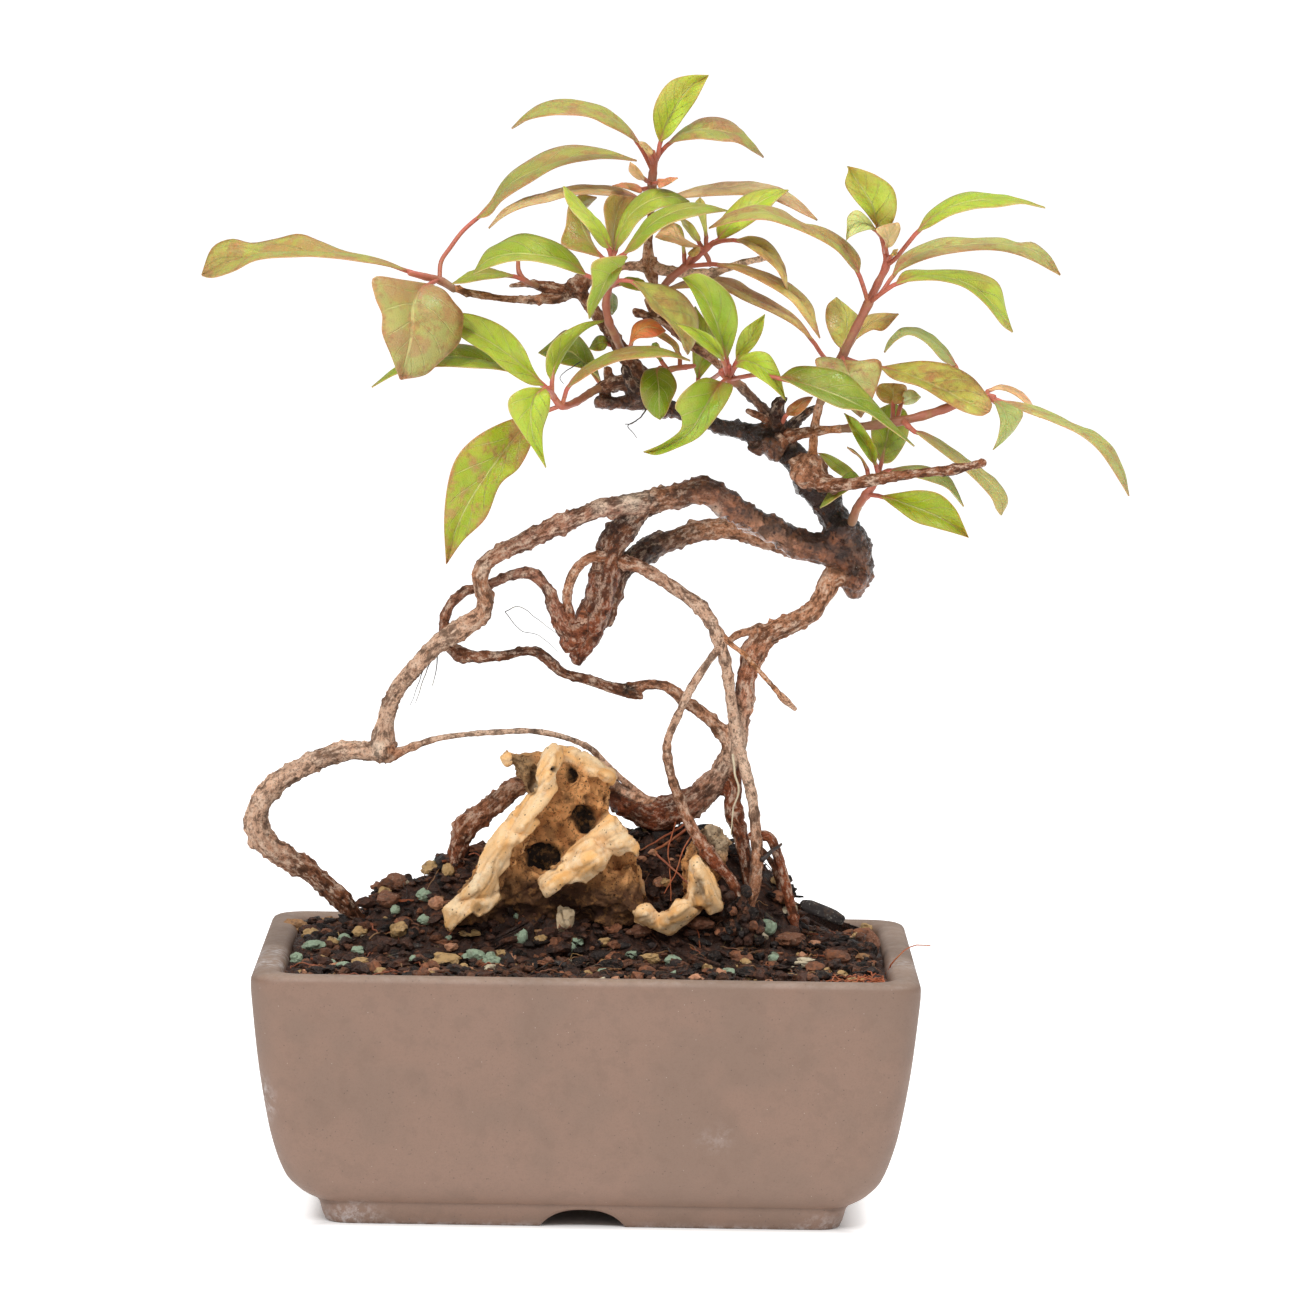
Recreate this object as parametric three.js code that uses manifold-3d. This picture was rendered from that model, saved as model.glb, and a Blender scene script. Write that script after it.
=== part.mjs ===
// Firebush bonsai: a small firebush grown root over rock in an oblong unglazed pot.
// Millimetres, +Z up. The pot's front is on the -Y side, and the object stands on z = 0.
import * as THREE from 'three';
import { ConvexGeometry } from 'three/addons/geometries/ConvexGeometry.js';
import { mergeVertices } from 'three/addons/utils/BufferGeometryUtils.js';
import Module from 'manifold-3d';

const wasm = await Module();
wasm.setup();

// Pot. It stands with its middle a little behind the depth that the tree's stations count from.
const RIM_LENGTH = 205;
const RIM_DEPTH = 156;
const POT_SETBACK = 3;
const POT_HEIGHT = 78.4;
const POT_CORNER = 10;
const CORNER_STEPS = 4;
const FLOOR_UNDERSIDE = 6;
const FLOOR_TOP = 13;
const FOOT_LENGTH = 159;
const FOOT_DEPTH = 127;
const FOOT_CORNER = 8;
// The foot reaches a little into the wall above it, and widens on the way up.
const FOOT_TOP = 8.2;
const FOOT_SPLAY = 2.2;
const FOOT_WIDTH = 10;
const ARCH_WIDTH = 26.2;
const ARCH_HEIGHT = 5.2;
const ARCH_SHOULDER = 2;
const ARCH_STEPS = 5;
const DRAIN_RADIUS = 6;
const DRAIN_OFFSET = 42;
const DRAIN_SIDES = 14;
// How far a cutting shape runs past the face that it opens.
const CUT_PAST = 1;

// How far each level of the pot's wall lies inside the rim's widest line:
// height, inset at the two ends, inset at front and back.
const OUTER_WALL = [
  [4.5, 24, 15.5], [6.2, 21.2, 13.5], [10, 15.5, 9.9], [13.2, 12.3, 7.9], [16.5, 10.3, 6.6],
  [22.5, 8, 5.1], [32, 5.5, 3.5], [50, 2.5, 1.6], [70, 0.3, 0.2], [75.6, 0, 0],
  [77.6, 1.1, 1.1], [78.4, 3.6, 3.6],
];
const INNER_WALL = [
  [13, 26, 20], [17, 20, 16], [33, 14.6, 12.7], [66, 10.6, 10.2], [75.5, 9.4, 9.4],
  [77.6, 8.8, 8.8], [78.5, 7, 7],
];

// Clearances
const GAP = 0.3;
const SOIL_GAP = 0.35;
// Round a limb, whose ring of flats lies inside its true roundness.
const HOLE_GROWTH = 0.75;
// Round the rock: what its block's corners move outwards, so that its faces move by the gap.
const STONE_GAP = 0.6;
const CORNER_REACH = 1.6;

// Soil: a base level just under the rim and a ridge across the middle that carries the roots
const SOIL_LEVEL = 75.4;
const SOIL_BOTTOM = 8;
const SOIL_MARGIN = 12;
const SOIL_STEP = 11;
const SOIL_BUMP = 1.6;
// The space that the soil is trimmed to goes on widening up to this far over the rim.
const SOIL_SPACE = 50;
const SOIL_SPACE_INSET = 10;
const SOIL_DETAIL = 0.15;
const RIDGE_DEPTH = 10;
const RIDGE_FRONT_WIDTH = 21;
const RIDGE_BACK_WIDTH = 27;
// The ridge's crest from left to right: x, height over the soil level.
const RIDGE_CREST = [
  [-93, 2], [-78, 3], [-70, 11], [-66, 18], [-52, 21], [-48, 26], [-38, 31], [-20, 34],
  [10, 36], [18, 39], [34, 38.5], [42, 35], [48, 33], [56, 27], [62, 21], [65, 12], [70, 5], [93, 3],
];
// Loose grains of gravel, as sizes and shapes, kept this far within the rim's two widths.
const GRAIN_COUNT = 16;
const GRAIN_SIZE = [1.6, 3.1];
const GRAIN_SHAPE = [1.2, 1, 0.8];
const GRAIN_LIFT = 0.15;
const GRAIN_MARGIN = 38;

// Leaves and stems
const BLADE_THICKNESS = 0.7;
const BLADE_STEP = 9;
const BLADE_STEPS = [3, 7];
// A stalk runs on under the blade for this share of the way to the rib's next station.
const STALK_SHARE = 0.35;
const STALK_TAPER = 0.8;
const STALK_RADIUS = 0.75;
const STALK_SIDES = 4;
const STEM_SIDES = 5;
const STEM_STEP = 7;
const SOCKET_SIDES = 6;
// A margin waves to and fro in depth: how far, how many times, and how far the two margins differ.
const EDGE_WAVE = 0.9;
const EDGE_TURNS = 3;
const EDGE_SHIFT = 2;
const BLADE_FULLNESS = 0.7;
const FOOT_SAMPLES = 60;
const STEM_DETAIL = 0.15;
const BARK_DETAIL = 0.3;

// Where each kind of repeatable draw starts.
const SEEDS = { stem: 1, blade: 40, hollow: 70, limb: 100, knot: 200, soil: 11, grain: 23 };

// The tree is laid out as it is seen along a fixed line of sight: a column and a row of a square
// view 1300 wide, and a depth (mm, away from the viewer), give one point of the object.
const VIEW_CENTRE = 650;
// Depths are drawn out above the roots, so that the crown is as deep as it is tall: row, factor.
const DEPTH_SPREAD = [[480, 2.2], [660, 1]];
const VIEW_SCALE = 7295;
const EYE = new THREE.Vector3(8.5, -2276, 388.4);
const VIEW_PITCH = THREE.MathUtils.degToRad(5.414);
const VIEW_YAW = THREE.MathUtils.degToRad(0.245);
const VIEW_ROLL = THREE.MathUtils.degToRad(0.906);

const forward = new THREE.Vector3(
  Math.sin(VIEW_YAW) * Math.cos(VIEW_PITCH),
  Math.cos(VIEW_YAW) * Math.cos(VIEW_PITCH),
  -Math.sin(VIEW_PITCH),
);
const level = new THREE.Vector3(Math.cos(VIEW_YAW), -Math.sin(VIEW_YAW), 0);
const upright = new THREE.Vector3().crossVectors(level, forward);
const sideways = level.clone().multiplyScalar(Math.cos(VIEW_ROLL))
  .addScaledVector(upright, Math.sin(VIEW_ROLL));
const upwards = upright.clone().multiplyScalar(Math.cos(VIEW_ROLL))
  .addScaledVector(level, -Math.sin(VIEW_ROLL));

function place(column, row, depth) {
  const ray = forward.clone().multiplyScalar(VIEW_SCALE)
    .addScaledVector(sideways, column - VIEW_CENTRE)
    .addScaledVector(upwards, VIEW_CENTRE - row);
  return EYE.clone().addScaledVector(ray, (depth * interpolate(DEPTH_SPREAD, row) - EYE.y) / ray.y);
}

// Old wood. Each limb is a list of stations: column, row, depth, radius (mm).
const LIMBS = {
  trunk: [
    [745, 432, 0, 3.0], [775, 441, 0, 4.2], [795, 460, 1, 4.5], [810, 485, 2, 4.6],
    [830, 510, 3, 5.0], [848, 540, 4, 6.2], [856, 563, 5, 5.6], [856, 579, 5, 4.9], [855, 590, 5, 3.4],
  ],
  crown: [
    [600, 402, -2, 2.3], [620, 403, -1, 2.3], [645, 402, 0, 2.7], [668, 407, 0, 2.5],
    [690, 416, 0, 2.4], [715, 425, 0, 2.6], [745, 432, 0, 3.2],
  ],
  upperLimb: [
    [574, 284, 4, 2.6], [582, 294, 4, 2.6], [592, 308, 4, 2.2], [606, 326, 3, 2.3],
    [618, 345, 2, 2.5], [630, 362, 1, 3.0], [643, 380, 0, 3.6], [655, 398, 0, 3.2], [668, 408, 0, 2.2],
  ],
  leftBranch: [
    [453, 288, 2, 1.3], [470, 293, 2, 1.45], [500, 298, 3, 1.5], [540, 300, 4, 1.7],
    [562, 298, 4, 1.7], [578, 290, 4, 2.0],
  ],
  deadStub: [
    [511, 286, 6, 1.0], [526, 284, 6, 1.4], [542, 286, 5, 1.9], [562, 288, 4, 1.6], [578, 286, 4, 1.6],
  ],
  shootKnob: [[600, 388, -1, 1.7], [613, 383, -1, 2.5], [628, 382, 0, 3.0], [645, 388, 0, 3.0]],
  cutStub: [[607, 369, 0, 1.5], [609, 378, 0, 1.8], [614, 388, 0, 2.0]],
  frontStub: [[625, 369, -5, 1.5], [629, 380, -3, 1.9], [636, 390, -1, 2.0]],
  deadTwig: [
    [635, 312, 3, 1.5], [650, 316, 2, 1.5], [664, 322, 2, 1.6], [676, 333, 2, 1.6], [692, 346, 1, 1.5],
    [706, 355, 0, 1.5], [722, 368, 0, 1.5], [736, 382, 0, 1.7], [752, 398, 0, 1.7], [765, 411, 0, 1.8],
    [777, 424, 0, 2.2], [785, 440, 1, 2.6],
  ],
  deadSpur: [[646, 300, 2, 0.7], [649, 306, 2, 0.9], [655, 316, 2, 1.1]],
  greyTwig: [
    [657, 318, 2, 1.2], [656, 300, 2, 1.2], [654, 284, 2, 1.4], [650, 268, 2, 2.4],
    [648, 252, 2, 1.5], [649, 235, 2, 1.2], [651, 212, 2, 1.1], [653, 194, 2, 1.3],
  ],
  sideTwig: [
    [618, 267, 3, 1.2], [633, 266, 2, 1.4], [650, 267, 2, 2.2], [668, 271, 2, 1.7], [690, 273, 2, 1.7],
    [712, 273, 2, 1.6], [722, 270, 2, 1.3], [742, 263, 2, 1.1], [765, 258, 3, 0.8],
  ],
  twigStub: [[748, 411, -2, 0.9], [757, 415, -1, 1.2], [768, 420, 0, 1.5]],
  darkBud: [[787, 398, -3, 0.8], [780, 402, -3, 1.9], [777, 412, -2, 2.4], [780, 426, 0, 3.0]],
  backStub: [
    [815, 407, 3, 1.0], [808, 412, 3, 1.6], [798, 420, 2, 2.2], [788, 434, 1, 3.0], [786, 448, 1, 3.0],
  ],
  underBurr: [[749, 448, -1, 1.1], [757, 450, -1, 2.0], [766, 444, 0, 2.6]],
  branchEast: [
    [790, 436, -1, 2.4], [803, 433, -2, 1.6], [825, 430, -2, 1.35], [840, 429, -2, 1.3],
  ],
  branchUp: [[812, 462, -2, 2.4], [813, 448, -2, 1.5], [815, 425, -2, 1.4], [820, 402, -2, 1.35]],
  burr: [[800, 466, -2, 3.4], [812, 470, -3, 4.6], [822, 480, -5, 3.4], [834, 487, -6, 2.2]],
  cutTwig: [
    [822, 484, -6, 2.8], [850, 484, -8, 2.1], [880, 479, -9, 1.9], [920, 473, -10, 1.7],
    [943, 471, -10, 1.75], [955, 469, -10, 2.3], [965, 467, -10, 1.7], [983, 463, -10, 1.6],
  ],
  archFront: [
    [848, 560, 4, 5.0], [830, 550, 3, 5.2], [800, 545, 1, 4.7], [775, 531, -1, 4.2], [750, 518, -3, 4.2],
    [725, 504, -5, 4.5], [705, 491, -6, 4.6], [680, 496, -6, 4.1], [652, 501, -6, 4.2], [640, 504, -6, 3.2],
  ],
  greyLimb: [
    [652, 501, -6, 4.0], [628, 504, -7, 3.1], [600, 508, -7, 3.0], [580, 516, -7, 3.1], [560, 525, -6, 3.4],
    [540, 534, -6, 3.1], [520, 543, -5, 3.0], [497, 554, -4, 2.7], [483, 568, -4, 2.7], [480, 585, -4, 2.7],
    [486, 602, -3, 3.0], [480, 616, -3, 3.1], [463, 628, -2, 3.2], [440, 643, -1, 3.2], [424, 658, -1, 3.0],
    [410, 673, 0, 2.9], [398, 688, 1, 2.8], [390, 705, 1, 2.9], [385, 725, 1, 3.0], [383, 750, 1, 4.0],
  ],
  leftLoop: [
    [386, 750, 1, 4.0], [370, 751, 1, 3.2], [352, 751, 1, 3.0], [330, 755, 2, 3.2], [300, 768, 3, 3.5],
    [275, 785, 4, 3.8], [260, 806, 5, 3.8], [257, 825, 6, 4.0], [266, 844, 7, 4.0], [287, 858, 8, 4.0],
    [310, 873, 9, 3.7], [333, 892, 10, 3.4], [351, 909, 11, 2.9], [368, 930, 12, 2.3],
  ],
  stump: [
    [656, 502, -6, 3.6], [640, 511, -5, 4.1], [620, 532, -3, 4.7], [607, 560, -2, 4.8], [600, 595, -1, 4.9],
    [591, 622, 0, 5.3], [584, 642, 0, 4.4], [577, 661, 0, 2.0],
  ],
  archBack: [
    [800, 548, 4, 4.0], [780, 543, 7, 3.6], [760, 537, 8, 3.5], [730, 529, 9, 3.5], [700, 531, 9, 3.5],
    [670, 540, 8, 3.8], [648, 549, 6, 4.2], [634, 560, 4, 3.8], [620, 576, 3, 3.4], [614, 594, 3, 3.1],
    [606, 620, 2, 2.8],
  ],
  rootFront: [
    [603, 556, -4, 1.9], [590, 558, -5, 1.6], [578, 567, -5, 1.6], [570, 582, -5, 1.6], [567, 600, -4, 1.6],
    [571, 622, -2, 1.8],
  ],
  rootWeave: [
    [584, 640, -1, 3.0], [564, 628, -3, 3.0], [555, 608, -4, 2.6], [547, 588, -4, 2.2], [532, 574, -4, 2.1],
    [512, 575, -2, 1.9], [495, 582, 1, 1.8], [480, 587, 2, 1.8], [465, 591, 2, 1.8], [450, 605, 0, 1.8],
    [444, 625, 1, 1.8], [448, 643, 3, 2.0], [458, 653, 3, 2.4], [475, 657, 1, 2.1], [500, 656, 0, 1.8],
    [530, 651, 0, 1.8], [545, 657, 0, 1.9], [562, 672, 0, 1.9], [585, 679, 0, 1.8], [607, 686, -1, 1.9],
    [628, 692, -1, 2.2], [641, 697, -1, 1.3],
  ],
  rootOver: [
    [622, 691, -1, 1.9], [638, 686, -1, 1.8], [658, 685, -1, 1.75], [672, 690, -1, 1.9], [684, 701, 0, 2.0],
    [702, 713, 1, 2.2], [718, 728, 2, 2.4], [733, 748, 3, 2.8],
  ],
  rootlet: [
    [388, 756, 0, 2.2], [402, 751, -1, 1.5], [420, 744, -2, 1.2], [440, 738, -2, 1.0], [470, 734, -2, 0.9],
    [500, 732, -1, 0.9], [530, 731, 1, 0.9], [560, 736, 4, 0.9], [588, 747, 7, 1.0], [603, 761, 9, 1.0],
    [617, 775, 10, 1.0], [635, 790, 11, 1.1], [652, 806, 11, 1.4],
  ],
  mainRoot: [
    [842, 568, 5, 3.8], [830, 580, 5, 3.4], [823, 596, 5, 3.2], [811, 611, 4, 3.4], [795, 622, 4, 3.6],
    [770, 634, 3, 3.9], [754, 652, 3, 3.9], [748, 672, 3, 3.5], [745, 695, 3, 3.2], [742, 716, 3, 3.1],
    [735, 740, 3, 3.9], [729, 760, 4, 4.2], [717, 780, 5, 4.4], [700, 797, 6, 4.7], [680, 808, 8, 5.0],
    [655, 814, 10, 5.3], [630, 804, 12, 5.0], [605, 790, 14, 4.3], [575, 779, 15, 3.9], [545, 779, 14, 3.6],
    [520, 785, 12, 3.5], [503, 797, 11, 3.6], [488, 810, 10, 3.8], [470, 824, 9, 3.9], [461, 838, 9, 3.5],
    [456, 858, 9, 2.8], [452, 888, 9, 2.0],
  ],
  rootLink: [[729, 641, -1, 1.1], [739, 634, 1, 1.2], [757, 630, 3, 1.4]],
  rootLight: [
    [622, 562, -3, 2.4], [638, 566, -3, 2.1], [656, 576, -3, 2.1], [680, 592, -3, 2.1], [700, 607, -3, 2.3],
    [713, 626, -3, 2.1], [721, 645, -3, 2.1], [727, 670, -2, 1.7], [731, 700, -1, 1.7], [735, 725, 0, 1.9],
    [740, 748, 0, 1.8], [746, 772, -1, 1.8], [752, 797, -2, 1.8], [755, 822, -3, 1.7], [757, 850, -4, 1.9],
    [756, 880, -5, 1.7], [749, 912, -7, 1.5], [744, 940, -8, 1.2],
  ],
  rootFork: [
    [722, 644, -3, 1.4], [706, 665, -5, 1.2], [690, 690, -5, 1.25], [680, 711, -5, 1.3], [669, 736, -5, 1.3],
    [667, 752, -5, 1.4], [671, 775, -6, 1.4], [678, 795, -6, 1.6], [688, 820, -7, 1.7], [700, 841, -9, 2.0],
    [715, 862, -11, 2.1], [731, 880, -13, 1.6], [742, 905, -14, 1.3], [750, 932, -15, 1.0],
  ],
  tanTwig: [
    [721, 634, -3, 1.1], [732, 645, -5, 0.8], [745, 655, -6, 0.8], [761, 673, -6, 0.75], [776, 690, -6, 0.75],
    [783, 698, -6, 1.3], [795, 709, -7, 0.7],
  ],
  rootDark: [
    [733, 765, 5, 3.0], [734, 790, 3, 2.6], [730, 811, 2, 2.5], [738, 828, 1, 2.6], [744, 850, 0, 2.3],
    [748, 880, 0, 2.0], [751, 905, 0, 1.7], [752, 935, 0, 1.3],
  ],
  rootRight: [
    [752, 836, -2, 1.7], [769, 837, -1, 1.6], [776, 851, 0, 1.6], [782, 870, 0, 1.6], [787, 890, 0, 1.6],
    [793, 915, 0, 1.5], [797, 940, 0, 1.1],
  ],
  rootThin: [
    [757, 846, -2, 1.1], [772, 863, 2, 0.9], [779, 885, 4, 0.9], [786, 912, 5, 0.9], [788, 938, 5, 0.8],
  ],
};
const LIMB_STEP = 13;
const LEAST_STEPS = 2;
const BARK_ROUGHNESS = 0.16;
const THICK_SIDES = 7;
const THIN_SIDES = 5;
const THIN_LIMIT = 2.4;
const HAIR_SIDES = 4;
const HAIR_LIMIT = 1.45;
const FINE_LUMP = 3.7;
// A lump's corners lie between this share of its radius and that much more.
const LUMP_LEAST = 0.85;
const LUMP_SPREAD = 0.3;

// Knots and burls on the old wood: column, row, depth, radius.
const KNOTS = [
  [581, 284, 3, 3.4], [566, 295, 3, 2.0], [540, 301, 3, 2.0], [650, 263, 2, 3.0], [704, 483, -6, 2.6],
  [775, 446, -2, 4.4], [812, 468, -4, 4.6], [804, 474, -4, 3.8], [857, 580, 3, 4.4], [841, 529, 1, 4.6],
  [640, 392, -1, 3.6], [664, 411, -1, 2.4], [384, 748, -1, 3.9], [467, 823, 8, 3.2], [590, 620, -3, 4.4],
  [572, 640, -2, 4.0], [604, 403, -2, 2.4], [736, 812, 2, 3.0], [760, 634, 3, 3.9], [613, 512, -6, 2.6],
  [486, 603, -4, 2.8], [661, 385, 0, 3.0],
];

// Leafy shoots. A stem is a list of stations like a limb's. A leaf has its rib (column, row, depth)
// from its node through its stalk to the tip, the station where the blade starts, the two margins
// between the blade's ends (column, row), and how far each margin turns away from the viewer (mm).
const SHOOTS = {
  left_shoot: {
    stems: [[[454, 289, 2, 1.3], [441, 281, 2, 1.3], [426, 277, 1, 1.15], [410, 273, 0, 1.0]]],
    leaves: [
      {
        rib: [[424, 276, 1], [408, 271, 0], [380, 262, -1], [340, 256, -2], [300, 255, -2], [260, 257, -1],
          [225, 264, 1], [201, 276, 3]],
        start: 1,
        over: [[380, 259], [345, 251], [320, 241], [299, 234], [275, 239], [252, 243], [232, 239],
          [212, 248]],
        under: [[375, 264], [330, 258], [300, 257], [258, 260], [235, 271], [213, 278]],
        turn: [3, -7],
      },
      {
        rib: [[440, 280, 2], [441, 262, 3], [450, 248, 4], [462, 232, 5], [476, 219, 6], [494, 203, 7],
          [515, 182, 8], [550, 166, 9], [590, 157, 9], [638, 161, 8]],
        start: 4,
        over: [[490, 203], [502, 182], [518, 167], [548, 150], [575, 145], [608, 150]],
        under: [[490, 215], [503, 200], [528, 184], [558, 167], [590, 160], [612, 159]],
        turn: [5, -5],
      },
      {
        rib: [[438, 281, 1], [430, 284, -2], [420, 290, -5], [412, 307, -8], [411, 325, -9], [409, 345, -9],
          [400, 380, -7]],
        start: 1,
        over: [[404, 280], [374, 277], [375, 297], [382, 315], [382, 333], [391, 356]],
        under: [[444, 290], [454, 302], [463, 314], [462, 332], [458, 345], [440, 362], [425, 375]],
        turn: [-3, 3],
      },
    ],
  },
  left_bract: {
    stems: [[[537, 286, 4, 0.9], [526, 281, 3, 0.85], [519, 272, 3, 0.75], [518, 260, 4, 0.65]]],
    leaves: [
      {
        rib: [[526, 281, 3], [514, 276, 2], [500, 275, 1], [480, 275, 0], [452, 284, -1]],
        start: 1,
        over: [[500, 271], [487, 268], [469, 272]],
        under: [[500, 278], [482, 280], [466, 283]],
        turn: [3, -3],
      },
    ],
  },
  middle_shoot: {
    stems: [[
      [622, 351, 0, 1.2], [616, 338, -3, 1.25], [609, 322, -6, 1.25], [606, 305, -7, 1.25],
      [608, 288, -8, 1.2],
      [611, 272, -8, 1.1], [612, 257, -8, 1.0],
    ]],
    leaves: [
      {
        rib: [[612, 262, -8], [615, 252, -7], [620, 234, -6], [632, 214, -5], [652, 201, -5], [672, 197, -3],
          [690, 202, -1]],
        start: 1,
        over: [[616, 234], [622, 215], [633, 200], [648, 190], [664, 189], [678, 194]],
        under: [[627, 238], [640, 220], [658, 209], [675, 205]],
        turn: [3, -3],
      },
      {
        rib: [[612, 261, -8], [624, 254, -10], [637, 239, -11], [656, 222, -12], [680, 211, -12],
          [705, 208, -10],
          [728, 211, -8]],
        start: 1,
        over: [[636, 233], [648, 217], [664, 208], [684, 204], [708, 206]],
        under: [[637, 249], [652, 235], [670, 224], [692, 217], [712, 213]],
        turn: [4, -5],
      },
      {
        rib: [[612, 260, -8], [609, 249, -9], [597, 228, -11], [580, 207, -12], [563, 186, -12]],
        start: 1,
        over: [[600, 245], [585, 225], [572, 211], [565, 198]],
        under: [[611, 243], [604, 226], [590, 213], [577, 197]],
        turn: [-3, 3],
      },
      {
        rib: [[608, 288, -8], [601, 282, -10], [586, 275, -11], [568, 263, -12], [545, 257, -13],
          [515, 255, -13],
          [490, 260, -12], [473, 274, -11]],
        start: 2,
        over: [[575, 256], [558, 243], [535, 235], [518, 234], [499, 243], [485, 252]],
        under: [[576, 273], [555, 266], [530, 261], [508, 262], [488, 268]],
        turn: [4, -4],
      },
      {
        rib: [[609, 289, -8], [617, 278, -12], [614, 268, -15], [605, 280, -18], [597, 300, -18],
          [589, 319, -17]],
        start: 1,
        over: [[624, 262], [628, 256], [615, 256], [598, 259], [591, 266], [592, 285], [587, 303]],
        under: [[623, 267], [616, 280], [606, 292], [597, 306]],
        turn: [-3, 2],
      },
      {
        rib: [[612, 263, -7], [603, 258, -3], [588, 240, 2], [580, 222, 4], [580, 207, 5], [597, 197, 6]],
        start: 1,
        over: [[588, 254], [562, 245], [566, 225], [569, 205], [580, 195]],
        under: [[595, 248], [588, 230], [583, 214], [590, 205]],
        turn: [-2, 4],
      },
      {
        rib: [[612, 262, -7], [613, 252, -3], [613, 232, 0], [616, 213, 1], [624, 196, 1]],
        start: 1,
        over: [[609, 240], [605, 220], [604, 205], [611, 195]],
        under: [[619, 240], [626, 221], [637, 203], [633, 197]],
        turn: [-3, 3],
      },
      {
        rib: [[609, 290, -8], [618, 281, -9], [632, 281, -10], [648, 295, -10], [663, 313, -10],
          [677, 332, -9],
          [688, 355, -7]],
        start: 2,
        over: [[650, 283], [668, 286], [685, 296], [697, 315], [697, 337]],
        under: [[643, 294], [652, 309], [667, 321], [679, 337], [684, 349]],
        turn: [5, -3],
      },
      {
        rib: [[608, 287, -7], [610, 291, -3], [612, 302, 0], [612, 315, 1]],
        start: 1,
        over: [[617, 297], [617, 308]],
        under: [[606, 296], [606, 309]],
        turn: [2, -2],
      },
      {
        rib: [[609, 288, -7], [618, 284, -4], [632, 283, -2], [651, 289, -1]],
        start: 1,
        over: [[627, 277], [641, 280]],
        under: [[627, 288], [641, 291]],
        turn: [3, -3],
      },
    ],
  },
  top_shoot: {
    stems: [
      [[653, 193, 2, 1.2], [652, 183, 2, 1.5], [653, 172, 2, 1.3], [654, 162, 1, 1.1], [653, 152, 0, 0.8]],
    ],
    leaves: [
      {
        rib: [[652, 172, 2], [645, 155, 1], [638, 143, 0], [630, 132, -1], [612, 119, -3], [590, 110, -5],
          [563, 108, -6], [538, 114, -6], [511, 129, -4]],
        start: 2,
        over: [[627, 126], [608, 109], [587, 102], [562, 99], [540, 104], [523, 116]],
        under: [[624, 134], [606, 125], [588, 117], [562, 115], [540, 117], [523, 122]],
        turn: [4, -6],
      },
      {
        rib: [[655, 168, 2], [658, 154, 1], [660, 143, 1], [667, 122, 0], [680, 100, -1], [693, 85, -2],
          [709, 75, -3]],
        start: 2,
        over: [[655, 130], [653, 112], [660, 93], [672, 80], [690, 75]],
        under: [[672, 134], [685, 116], [695, 102], [704, 85]],
        turn: [-2, -2],
      },
      {
        rib: [[655, 168, 2], [659, 155, 2], [668, 144, 1], [685, 133, 0], [705, 130, -1], [725, 133, -1],
          [745, 142, 0], [764, 158, 2]],
        start: 2,
        over: [[680, 132], [697, 120], [714, 117], [732, 122], [748, 138]],
        under: [[680, 141], [700, 139], [720, 141], [738, 143], [752, 151]],
        turn: [5, -5],
      },
      {
        rib: [[653, 165, 1], [650, 157, -1], [645, 149, -2], [637, 141, -3]],
        start: 1,
        over: [[648, 152], [643, 145]],
        under: [[653, 151], [646, 143]],
        turn: [1, 1],
      },
      {
        rib: [[652, 184, 1], [645, 180, -1], [637, 172, -3], [630, 162, -4]],
        start: 1,
        over: [[637, 179], [629, 171]],
        under: [[642, 173], [636, 166]],
        turn: [2, -1],
      },
      {
        rib: [[652, 184, 1], [658, 183, -2], [668, 181, -4], [678, 178, -5]],
        start: 1,
        over: [[658, 179], [668, 179]],
        under: [[659, 188], [669, 184]],
        turn: [2, -1],
      },
      {
        rib: [[652, 188, 2], [643, 189, 4], [630, 187, 5], [612, 186, 5]],
        start: 1,
        over: [[636, 184], [624, 183]],
        under: [[640, 193], [627, 189]],
        turn: [2, -1],
      },
      {
        rib: [[652, 190, 3], [641, 199, 6], [622, 194, 7], [600, 190, 7], [575, 191, 6], [545, 198, 5],
          [512, 210, 3], [488, 229, 1]],
        start: 1,
        over: [[623, 189], [600, 186], [572, 187], [548, 195], [522, 201], [503, 210]],
        under: [[622, 197], [600, 195], [575, 195], [548, 202], [525, 207], [505, 216]],
        turn: [5, -4],
      },
      {
        rib: [[652, 190, 3], [662, 200, 6], [682, 195, 7], [705, 190, 7], [735, 188, 6], [765, 190, 5],
          [790, 199, 3], [818, 221, 0]],
        start: 1,
        over: [[682, 193], [708, 185], [735, 182], [762, 185], [785, 192], [803, 205]],
        under: [[684, 198], [710, 196], [740, 195], [765, 197], [785, 205], [803, 214]],
        turn: [5, -4],
      },
    ],
  },
  right_inner_shoot: {
    stems: [
      [[659, 306, 1, 1.2], [662, 290, -1, 1.2], [671, 278, -3, 1.2], [685, 267, -4, 1.2], [697, 256, -4, 1.1],
        [707, 248, -4, 1.0], [714, 242, -4, 0.8]],
      [[703, 251, -4, 0.8], [708, 258, -3, 0.8], [710, 265, -2, 0.7]],
    ],
    leaves: [
      {
        rib: [[711, 245, -4], [718, 240, -4], [728, 228, -4], [745, 213, -4], [765, 200, -2], [789, 190, -1]],
        start: 1,
        over: [[717, 226], [728, 210], [745, 195], [765, 189]],
        under: [[728, 237], [746, 227], [764, 214], [776, 201]],
        turn: [2, -2],
      },
      {
        rib: [[711, 245, -4], [722, 241, -6], [736, 240, -8], [755, 245, -10], [772, 257, -11],
          [783, 273, -12],
          [787, 291, -12]],
        start: 2,
        over: [[750, 236], [766, 240], [778, 253], [785, 272]],
        under: [[748, 247], [762, 257], [775, 268], [783, 281]],
        turn: [3, -4],
      },
      {
        rib: [[686, 268, -4], [700, 265, -6], [716, 264, -7], [745, 270, -9], [775, 282, -11],
          [798, 301, -12],
          [811, 320, -12], [820, 339, -11]],
        start: 2,
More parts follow.
